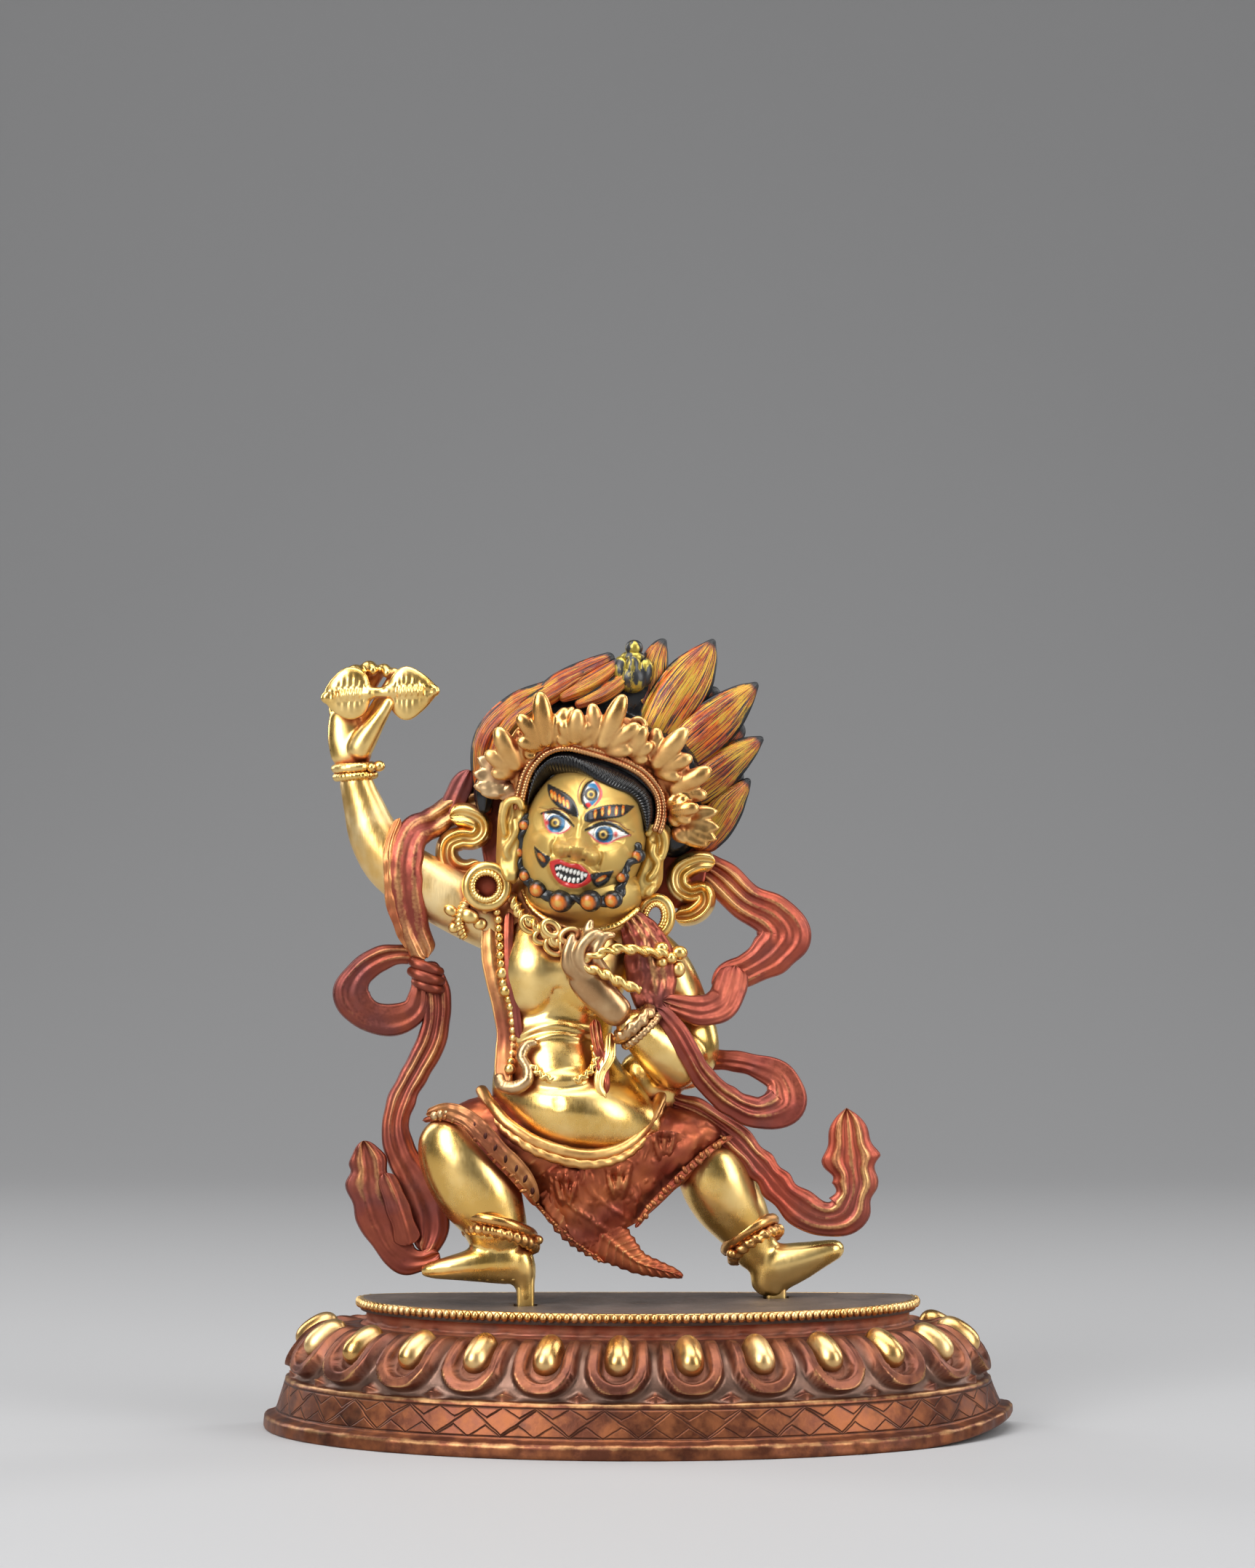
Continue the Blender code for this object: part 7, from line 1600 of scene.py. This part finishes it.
piece("scarfEdge", ribbon("edge", scarfEdge, 120, ((-0.2, 0.2, 0.3),), 1.5, 0.3, rough=0.16, wave=0.10),
      vestCopper)
print("stage: scarf")

# The lotus base, in metres: its profile carried round half an ellipse in front and a flat back.
base = {"deckHalf": 0.0412, "deckFront": 0.0242, "deckBack": 0.0060, "widestY": 0.014176, "backShare": 0.28,
        "squareness": 3.4, "ledgeHeight": 0.0074, "footHalf": 0.0553, "curlRise": 0.0022, "curlStart": 0.70,
        "beadPitch": 0.00114}
petals = {"pitch": 0.0098, "count": 15, "shift": -0.28,
          "slope": [(0.0106, 0.0075), (0.0096, 0.0082), (0.0092, 0.0098), (0.0083, 0.0114),
                    (0.0067, 0.0132), (0.0045, 0.0145), (0.0021, 0.0151), (-0.0002, 0.0153)]}


def planPoint(offset, angle):
    # x and y of the plan, moved out by offset: an ellipse in front, a superellipse behind
    c, s = np.cos(angle), np.sin(angle)
    half, front, middle = base["deckHalf"] + offset, base["deckFront"] + offset, base["widestY"]
    rear = base["deckBack"] + offset * base["backShare"]
    power = 2 / base["squareness"]
    front = np.stack([half * c, middle + front * s], -1)
    back = np.stack([half * np.sign(c) * np.abs(c) ** power, middle + rear * np.abs(s) ** power], -1)
    return np.where((s <= 0)[..., None], front, back)


def runs(offset):  # the plan's angles, and how far round it each one lies
    fine = 7200
    angle = np.linspace(-math.pi / 2, 1.5 * math.pi, fine + 1)
    return angle, travelled(planPoint(offset, angle))


def stations(offset, frontStep, backStep):
    # runs along the outline from the front's middle, closer together in front, and their angles
    angle, run = runs(offset)
    whole = run[-1]
    reach = petals["pitch"] * (petals["count"] / 2 + 0.4)
    front = np.arange(-reach, reach, frontStep)
    rest = np.arange(reach, whole - reach, backStep)
    along = np.concatenate([front, rest])
    return along, np.interp(along % whole, run, angle)


def curled(points):  # the foot's right end bent up
    outward = (points[..., 0] / base["footHalf"] - base["curlStart"]) / (1 - base["curlStart"])
    lift = base["curlRise"] * np.clip(outward, 0, 1) ** 2
    low = np.clip(1 - points[..., 2] / base["ledgeHeight"], 0, 1)
    points[..., 2] += lift * low
    return points


def carried(profile, along, angle, rise=None):
    # a profile (reach and height) taken round the plan; rise moves each point out along the normal
    profile = np.asarray(profile, float)
    ahead = unit(np.gradient(profile, axis=0))
    rise = np.zeros((len(along), len(profile))) if rise is None else rise
    reach = profile[None, :, 0] + rise * ahead[None, :, 1]
    height = profile[None, :, 1] - rise * ahead[None, :, 0]
    plan = planPoint(reach, angle[:, None] * np.ones_like(reach))
    return curled(np.concatenate([plan, height[..., None]], -1))


def ringMesh(name, grid, marks):  # a profile's points carried round: closed both ways
    rows, cols = grid.shape[:2]
    marks = {key: values.reshape(-1) for key, values in marks.items()}
    return meshOf(name, grid.reshape(-1, 3), gridFaces(rows, cols, True, True), [], marks)


def footMesh():  # foot rim, band and ledge as one ring with a flat underside
    along, angle = stations(0.012, 0.0010, 0.0030)
    foot = spaced([(0.0128, 0.0), (0.01380, 0.0), (0.01390, 0.0004), (0.01380, 0.0017), (0.0135, 0.0021),
                   (0.0126, 0.0024), (0.0122, 0.0026)], 22)
    band = spaced([(0.0122, 0.0026), (0.0108, 0.0070)], 26)[1:]
    ledge = spaced([(0.0108, 0.0070), (0.0109, 0.0073), (0.0105, 0.0076), (0.0088, 0.0078),
                    (0.0030, 0.0078)], 16)[1:]
    inside = spaced([(0.0030, 0.0078), (0.0030, 0.0006), (0.0040, 0.0), (0.0128, 0.0)], 14)[1:-1]
    profile = np.concatenate([foot, band, ledge, inside])
    reach, height = profile[None, :, 0], profile[None, :, 1]
    broad = 0.00022 * wobble(np.stack([along / 0.004, 0 * along], 1), 1.0, 3)[:, None]
    fine = 0.00008 * wobble(np.stack([along / 0.0015, 0 * along], 1), 1.0, 5)[:, None]
    dents = broad * bell(height, 0.0012, 0.0014) + fine * bell(height, 0.0074, 0.0008)
    grid = carried(profile, along, angle, dents * (reach > 0.0085) * (height > 0.0003))
    level = np.zeros(len(profile))
    level[len(foot):len(foot) + len(band)] = np.linspace(1 / len(band), 1, len(band))
    level[len(foot) + len(band):] = 1.2
    level[:len(foot)] = -0.2
    edge = bell(profile[:, 1], 0.0073, 0.00035) * (profile[:, 0] > 0.0100)
    edge = edge + 0.7 * bell(profile[:, 1], 0.0018, 0.0005) * (profile[:, 0] > 0.0130)
    rows = len(along)
    return ringMesh("foot", grid, {"along": np.repeat(along[:, None], len(profile), 1),
                                   "level": np.repeat(level[None], rows, 0),
                                   "crest": np.repeat(edge[None], rows, 0)})


def lobes(along, upward):
    # rise of the lobes, their lips and the studs between them, and how worn or dusty each spot is (the
    # lower lip partly worn, partly a painted highlight); upward is the share of the slope below each row of
    # points
    s = ((along / petals["pitch"] - petals["shift"] + 0.5) % 1.0 - 0.5)[:, None]
    half = petals["pitch"] * (petals["count"] / 2)
    inFront = ease(half - np.abs(along - petals["shift"] * petals["pitch"]), -0.0006, 0.0003)[:, None]
    v = upward[None]
    shoulder = 0.50
    q = np.sqrt((s / 0.425) ** 2 + (np.clip(shoulder - v, 0, None) / 0.345) ** 2)
    valley = ease(q, 0.98, 1.10)
    collar = ease(q, 0.50, 0.64) * (1 - ease(q, 0.95, 1.03))
    lip = bell(q, 0.90, 0.06)
    fade = ease(1 - v, 0.06, 0.34)
    rise = fade * (0.00140 * collar + 0.00010 * lip - 0.00022 * bell(q, 0.50, 0.05) - 0.00025 * valley)
    stud = np.clip(1 - np.abs((np.abs(s) - 0.5) / 0.17) - np.abs(v - 0.13) / 0.11, 0, 1)
    rise = rise + 0.00135 * np.clip(stud, 0, 0.8)
    # the lower lip's edge colour, kept to the bottom of each U: partly rubbed wear, partly a painted
    # highlight
    worn = 0.80 * lip * fade * ease(shoulder + 0.05 - v, 0, 0.25) + 0.55 * ease(stud, 0.3, 0.8)
    return rise * inFront, worn * inFront, 0.75 * valley * (1 - ease(stud, 0, 0.3)) * fade * inFront


def petalMesh():
    along, angle = stations(0.0052, 0.00034, 0.0026)
    upSteps = 58
    slope = through(petals["slope"], upSteps)
    rise, worn, dusty = lobes(along, np.linspace(0, 1, upSteps))
    inside = spaced([(-0.0002, 0.0153), (-0.0012, 0.0148), (-0.0012, 0.0070), (0.0106, 0.0066)], 10)[1:]
    profile = np.concatenate([slope, inside])
    pad = ((0, 0), (0, len(inside)))
    rise, worn, dusty = np.pad(rise, pad), np.pad(worn, pad), np.pad(dusty, pad)
    marks = {"along": np.repeat(along[:, None], len(profile), 1), "crest": worn, "line": dusty}
    return ringMesh("petals", carried(profile, along, angle, rise), marks)


boss = {"middle": 0.0079, "halfLength": 0.0035, "halfWidth": 0.00205, "height": 0.00255, "sunk": 0.0002}


def bossMesh():  # gilt pills bent along the slope: half width times (1 - |u|^3.6)^0.5
    fine = 300
    slope = through(petals["slope"], fine)
    length = travelled(slope)
    ahead = unit(np.gradient(slope, axis=0))
    angle, run = runs(0.0052)
    u = -np.cos(np.linspace(0, math.pi, 26)[1:-1])
    lon = np.linspace(0, turn, 22, endpoint=False)
    count = np.arange(fine)
    at = np.interp(boss["middle"] + boss["halfLength"] * u, length, count)
    reach, height = (np.interp(at, count, slope[:, k]) for k in range(2))
    way = np.stack([np.interp(at, count, ahead[:, k]) for k in range(2)], 1)
    body = np.clip(1 - np.abs(u) ** 3.6, 0, 1) ** 0.5
    meshes = []
    for k in range(petals["count"]):
        along = (petals["shift"] + k - (petals["count"] - 1) / 2) * petals["pitch"]
        a = np.interp(along % run[-1], run, angle)
        plan = planPoint(reach, np.full(len(u), a))
        outward = unit(planPoint(np.array(0.011), np.array(a)) - planPoint(np.array(0.0), np.array(a)))
        tangent = np.array([-outward[1], outward[0], 0.0])
        normal = np.concatenate([outward[None] * way[:, 1:2], -way[:, 0:1]], 1)
        centre = np.concatenate([plan, height[:, None]], 1) - normal * boss["sunk"]
        grid = centre[:, None] + tangent * (boss["halfWidth"] * body[:, None] * np.cos(lon))[..., None]
        grid = grid + normal[:, None] * (boss["height"] * body[:, None] * np.sin(lon))[..., None]
        meshes.append(tubeMesh("boss", grid, metres=True))
    return gather("bosses", meshes)


def neckMesh():  # the inset wall under the deck, torn and patched where it meets the petals
    along, angle = stations(0.0, 0.0009, 0.0026)
    profile = spaced([(0.0002, 0.0147), (-0.0006, 0.0151), (-0.0011, 0.0156), (-0.0012, 0.0166),
                      (-0.0010, 0.0172), (-0.0006, 0.0176), (-0.0014, 0.0178), (-0.0034, 0.0176),
                      (-0.0034, 0.0147)], 36)
    at = np.stack([along / 0.0016, along * 0], 1)
    tear = wobble(at, 1.0, 8)
    z = profile[None, :, 1]
    seam = 0.01565 + 0.00030 * tear[:, None]  # the height of the solder seam
    rise = -0.00045 * bell(z, seam, 0.00018) * ease(tear, -0.5, 0.4)[:, None]
    rise = rise + 0.00022 * ease(seam - z, -0.0001, 0.0002)
    rise = rise * (profile[None, :, 0] > -0.0019) * (z < 0.0172)
    line = bell(z, seam, 0.00016) * ease(tear, -0.3, 0.5)[:, None] * (profile[None, :, 0] > -0.0019)
    crest = (0.9 * bell(profile[:, 1], 0.0174, 0.0003) * (profile[:, 0] > -0.001))[None]
    marks = {"line": 0.8 * line, "crest": np.repeat(crest, len(along), 0)}
    return ringMesh("neck", carried(profile, along, angle, rise), marks)


def deckMesh():  # the deck sheet, a little dished, before its slots are cut
    along, angle = stations(0.0, 0.0014, 0.0020)
    ring = planPoint(np.full(len(along), -0.0003), angle)
    rings = 22
    shrink = np.linspace(1, 0.012, rings)
    middle = np.array([0.0, 0.004])
    top = middle + (ring - middle)[None] * shrink[:, None, None]
    plan = np.concatenate([top, top[::-1]])
    z = stance["deckTop"] - np.repeat([0.0003, 0.0020], rings)
    dish = 0.00018 * wobble(plan.reshape(-1, 2) / 0.012, 1.0, 2).reshape(plan.shape[:2])
    dish = dish * np.concatenate([1 - shrink**6, np.zeros(rings)])[:, None]
    points = np.concatenate([plan, (z[:, None] + dish)[..., None]], -1)
    rows, cols = 2 * rings, len(along)
    quads = gridFaces(rows, cols, False, True)
    j, last = np.arange(cols), (rows - 1) * cols
    ends = np.stack([j, (j + 1) % cols, (j + 1) % cols + last, j + last], -1)
    return meshOf("deck", points.reshape(-1, 3), np.concatenate([quads, ends]), [], {})


def cutSlots(deck):  # a slot round each tang, 0.45 mm wider on every side
    for x, y, width, _ in tangs.values():
        spot = place((x, y, 3.0))
        size = np.array([width * stance["unit"] + 0.0009, 0.0024 + 0.0009, 0.010])
        bm = bmesh.new()
        bmesh.ops.create_cube(bm, size=1)
        for v in bm.verts:
            v.co = [v.co[k] * size[k] + (spot[0], spot[1], stance["deckTop"])[k] for k in range(3)]
        mesh = bpy.data.meshes.new("cutter")
        bm.to_mesh(mesh)
        bm.free()
        cutter = bpy.data.objects.new("cutter", mesh)
        bpy.context.collection.objects.link(cutter)
        cut = deck.modifiers.new("slot", "BOOLEAN")
        cut.operation, cut.object = "DIFFERENCE", cutter
        graph = bpy.context.evaluated_depsgraph_get()
        whole = bpy.data.meshes.new_from_object(deck.evaluated_get(graph))
        deck.modifiers.clear()
        deck.data = whole
        bpy.data.objects.remove(cutter)


def zigzagBand():
    # the band's cut pattern: a zigzag as long as a petal, with a smaller chevron in each triangle
    material = patina("bandCopperCut", brown=(0.120, 0.038, 0.020), orange=(0.245, 0.082, 0.032),
                      dust=(0.10, 0.055, 0.038), dustMost=0.5, edge=(0.40, 0.23, 0.10))
    shader = material.node_tree.nodes["Principled BSDF"]
    add, wire = nodeTools(material.node_tree)

    def mathOf(kind, first, second):
        return add("Math", {0: first, 1: second}, operation=kind)

    spot = add("TexCoord", {}, out="Object")
    unsteady = remap(add, cloud(add, spot, 260, 2.0), 0.3, 0.7, -0.045, 0.045)
    u = mathOf("ADD", mathOf("DIVIDE", mark(add, "along"), petals["pitch"] * 0.5), unsteady)
    v = mark(add, "level")
    wave = mathOf("PINGPONG", u, 1.0)  # 0..1 and back

    def groove(distance, width):
        return remap(add, mathOf("ABSOLUTE", distance, 0.0), 0.0, width, 1.0, 0.0)

    inside = remap(add, mathOf("ABSOLUTE", mathOf("SUBTRACT", v, 0.5), 0.0), 0.50, 0.52, 1.0, 0.0)
    zig = groove(mathOf("SUBTRACT", v, remap(add, wave, 0.0, 1.0, 0.10, 0.90)), 0.052)
    half = mathOf("PINGPONG", mathOf("MULTIPLY", u, 2.0), 1.0)
    small = groove(mathOf("SUBTRACT", v, remap(add, half, 0.0, 1.0, 0.04, 0.40)), 0.045)
    smallTop = groove(mathOf("SUBTRACT", v, remap(add, half, 0.0, 1.0, 0.96, 0.64)), 0.045)
    rails = mathOf("MAXIMUM", groove(mathOf("SUBTRACT", v, 0.95), 0.05),
                   groove(mathOf("SUBTRACT", v, 0.06), 0.05))
    cut = mathOf("MULTIPLY", inside, mathOf("MAXIMUM", mathOf("MAXIMUM", zig, rails),
        mathOf("MAXIMUM", small, smallTop)))
    old = shader.inputs["Base Color"].links[0].from_socket
    darker = blendOf(add, mathOf("MULTIPLY", cut, 0.85), old, (0.030, 0.012, 0.008))
    wire(darker, shader.inputs["Base Color"])
    normal = shader.inputs["Normal"].links[0].from_socket
    sunk = add("Bump", {"Strength": 0.7, "Distance": 0.00018, "Height": mathOf("SUBTRACT", 1.0, cut),
                        "Normal": normal})
    wire(sunk, shader.inputs["Normal"])
    return material


def undersideMesh():  # the flat plate that closes the base from below
    along, angle = stations(0.0, 0.0016, 0.0016)
    ring = planPoint(np.full(len(along), 0.0060), angle)
    middle = np.array([0.0, 0.010])
    outward = np.array([0.02, 0.35, 0.70, 1.0, 1.0, 0.70, 0.35, 0.02])
    level = np.repeat([0.0, 0.0012], 4)
    plan = middle + (ring - middle)[None] * outward[:, None, None]
    height = level[:, None, None] * np.ones((1, len(along), 1))
    return tubeMesh("underside", np.concatenate([plan, height], -1), metres=True)


piece("baseFoot", footMesh(), zigzagBand(), "lotus_base")
piece("baseUnderside", undersideMesh(), footCopper, "lotus_base")
piece("basePetals", petalMesh(), lotusCopper, "lotus_base")
piece("petalBosses", bossMesh(), bossGold, "lotus_base")
piece("baseNeck", neckMesh(), neckCopper, "lotus_base")
deck = piece("deckSheet", deckMesh(), deckDusty, "lotus_base")
cutSlots(deck)


def beadRim():  # round beads in a row along the deck's edge
    angle, run = runs(0.0)
    count = int(run[-1] / base["beadPitch"])
    along = np.arange(count) * run[-1] / count
    p = planPoint(np.full(count, -0.0001), np.interp(along, run, angle))
    rng = np.random.default_rng(4)
    size = 0.00058 * rng.uniform(0.90, 1.08, count)
    level = np.full(count, stance["deckTop"] - 0.00095)
    rows = np.stack([p[:, 0], p[:, 1], level, size, size, size * 1.18, np.zeros(count)], 1)
    return balls("beads", rows, 9, 6, metres=True)


piece("deckBeads", beadRim(), bossGold, "lotus_base")


def lipMesh():  # the thin lip that carries the beads
    along, angle = stations(0.0, 0.0012, 0.0020)
    profile = spaced([(-0.0012, 0.0186), (-0.0007, 0.01905), (-0.0002, 0.0190), (-0.0001, 0.0184),
                      (-0.0004, 0.0177), (-0.0012, 0.0176), (-0.0012, 0.0185)], 24)
    return ringMesh("lip", carried(profile, along, angle), {})


piece("deckLip", lipMesh(), bossGold, "lotus_base")
print("stage: base")


def markHollows():
    # the share of metal around each point: cells of 0.5 mm that hold a point, box-blurred and read
    # just off the surface
    cell = 0.0005
    clouds = [pointsOf(thing.data) for thing in made]
    normals = [pointsOf(thing.data, "normal") for thing in made]
    everything = np.concatenate(clouds)
    low = everything.min(0) - 0.006
    shape = ((everything.max(0) + 0.006 - low) / cell).astype(int) + 1
    filled = np.zeros(shape)
    spot = ((everything - low) / cell).astype(int)
    filled[spot[:, 0], spot[:, 1], spot[:, 2]] = 1

    def blurred(field, reach):
        for axis in range(3):
            pad = [(reach + 1, reach) if k == axis else (0, 0) for k in range(3)]
            summed = np.cumsum(np.pad(field, pad), axis)
            n, width = field.shape[axis], 2 * reach + 1
            field = (np.take(summed, np.arange(width, n + width), axis)
                     - np.take(summed, np.arange(n), axis)) / width
        return field

    near, wide = blurred(blurred(filled, 1), 1), blurred(blurred(filled, 3), 2)

    def read(field, p):
        f = (p - low) / cell - 0.5
        i = np.clip(f.astype(int), 0, np.array(field.shape) - 2)
        f = np.clip(f - i, 0, 1)
        value = 0
        for dx in (0, 1):
            for dy in (0, 1):
                for dz in (0, 1):
                    weight = np.abs(1 - dx - f[:, 0]) * np.abs(1 - dy - f[:, 1]) * np.abs(1 - dz - f[:, 2])
                    value = value + weight * field[i[:, 0] + dx, i[:, 1] + dy, i[:, 2] + dz]
        return value

    for thing, co, no in zip(made, clouds, normals):
        value = 1.1 * read(near, co + no * 0.0011) + 1.2 * read(wide, co + no * 0.0022)
        setMark(thing.data, "hollow", value)


markHollows()
print("stage: hollows")

# The photograph's viewing angle, a pale sweep of floor and backdrop, and soft studio lights.
camera = bpy.data.objects.new("camera", bpy.data.cameras.new("camera"))
bpy.context.collection.objects.link(camera)
camera.location = (-0.00154, -0.693, 0.0946)
camera.rotation_euler = (math.pi / 2, 0, 0)
camera.data.lens = 110.05
camera.data.sensor_width = 36
camera.data.clip_start = 0.01
bpy.context.scene.camera = camera


def floorMesh():  # a flat floor that curves up into a backdrop: z = r - sqrt(r^2 - (y - y0)^2) beyond y0
    bend = np.linspace(0, math.pi / 2, 24)[1:]
    y = np.concatenate([np.linspace(-1.2, 0.45, 12), 0.45 + 0.5 * np.sin(bend), np.full(8, 0.95)])
    z = np.concatenate([np.zeros(12), 0.5 - 0.5 * np.cos(bend), np.linspace(0.5, 1.6, 9)[1:]])
    x = np.linspace(-1.4, 1.4, 12)
    grid = np.stack([x[None] + 0 * y[:, None], y[:, None] + 0 * x, z[:, None] + 0 * x], -1)
    faces = gridFaces(len(y), len(x), False, False)[:, ::-1]
    return meshOf("floor", grid.reshape(-1, 3), faces, [], {})


paper = bpy.data.materials.new("floorPaper")
paper.use_nodes = True
paper.node_tree.nodes["Principled BSDF"].inputs["Base Color"].default_value = (0.34, 0.34, 0.345, 1)
paper.node_tree.nodes["Principled BSDF"].inputs["Roughness"].default_value = 0.65
floor = bpy.data.objects.new("floor", floorMesh())
floor.data.materials.append(paper)
bpy.context.collection.objects.link(floor)

lamps = {"keyLeft": ((-0.40, -0.48, 0.40), 0.34, 0.50, 5.2),
         "topSoft": ((0.0, -0.10, 0.60), 0.60, 0.36, 3.6),
         "fillRight": ((0.50, -0.34, 0.26), 0.26, 0.50, 2.6),
         "rimLeft": ((-0.42, 0.26, 0.30), 0.14, 0.42, 1.1),
         "rimRight": ((0.44, 0.22, 0.30), 0.14, 0.42, 1.1)}
for name, (spot, wide, tall, watts) in lamps.items():
    light = bpy.data.lights.new(name, "AREA")
    light.shape, light.size, light.size_y, light.energy = "RECTANGLE", wide, tall, watts
    lamp = bpy.data.objects.new(name, light)
    bpy.context.collection.objects.link(lamp)
    lamp.location = spot
    away = np.array(spot) - (0, 0, 0.07)
    lamp.rotation_euler = (math.acos(away[2] / np.linalg.norm(away)), 0,
                           math.atan2(away[1], away[0]) + math.pi / 2)
world = bpy.data.worlds.new("studio")
world.use_nodes = True
world.node_tree.nodes["Background"].inputs["Color"].default_value = (0.55, 0.55, 0.56, 1)
world.node_tree.nodes["Background"].inputs["Strength"].default_value = 0.20
bpy.context.scene.world = world
bpy.context.scene.view_settings.view_transform = "Standard"
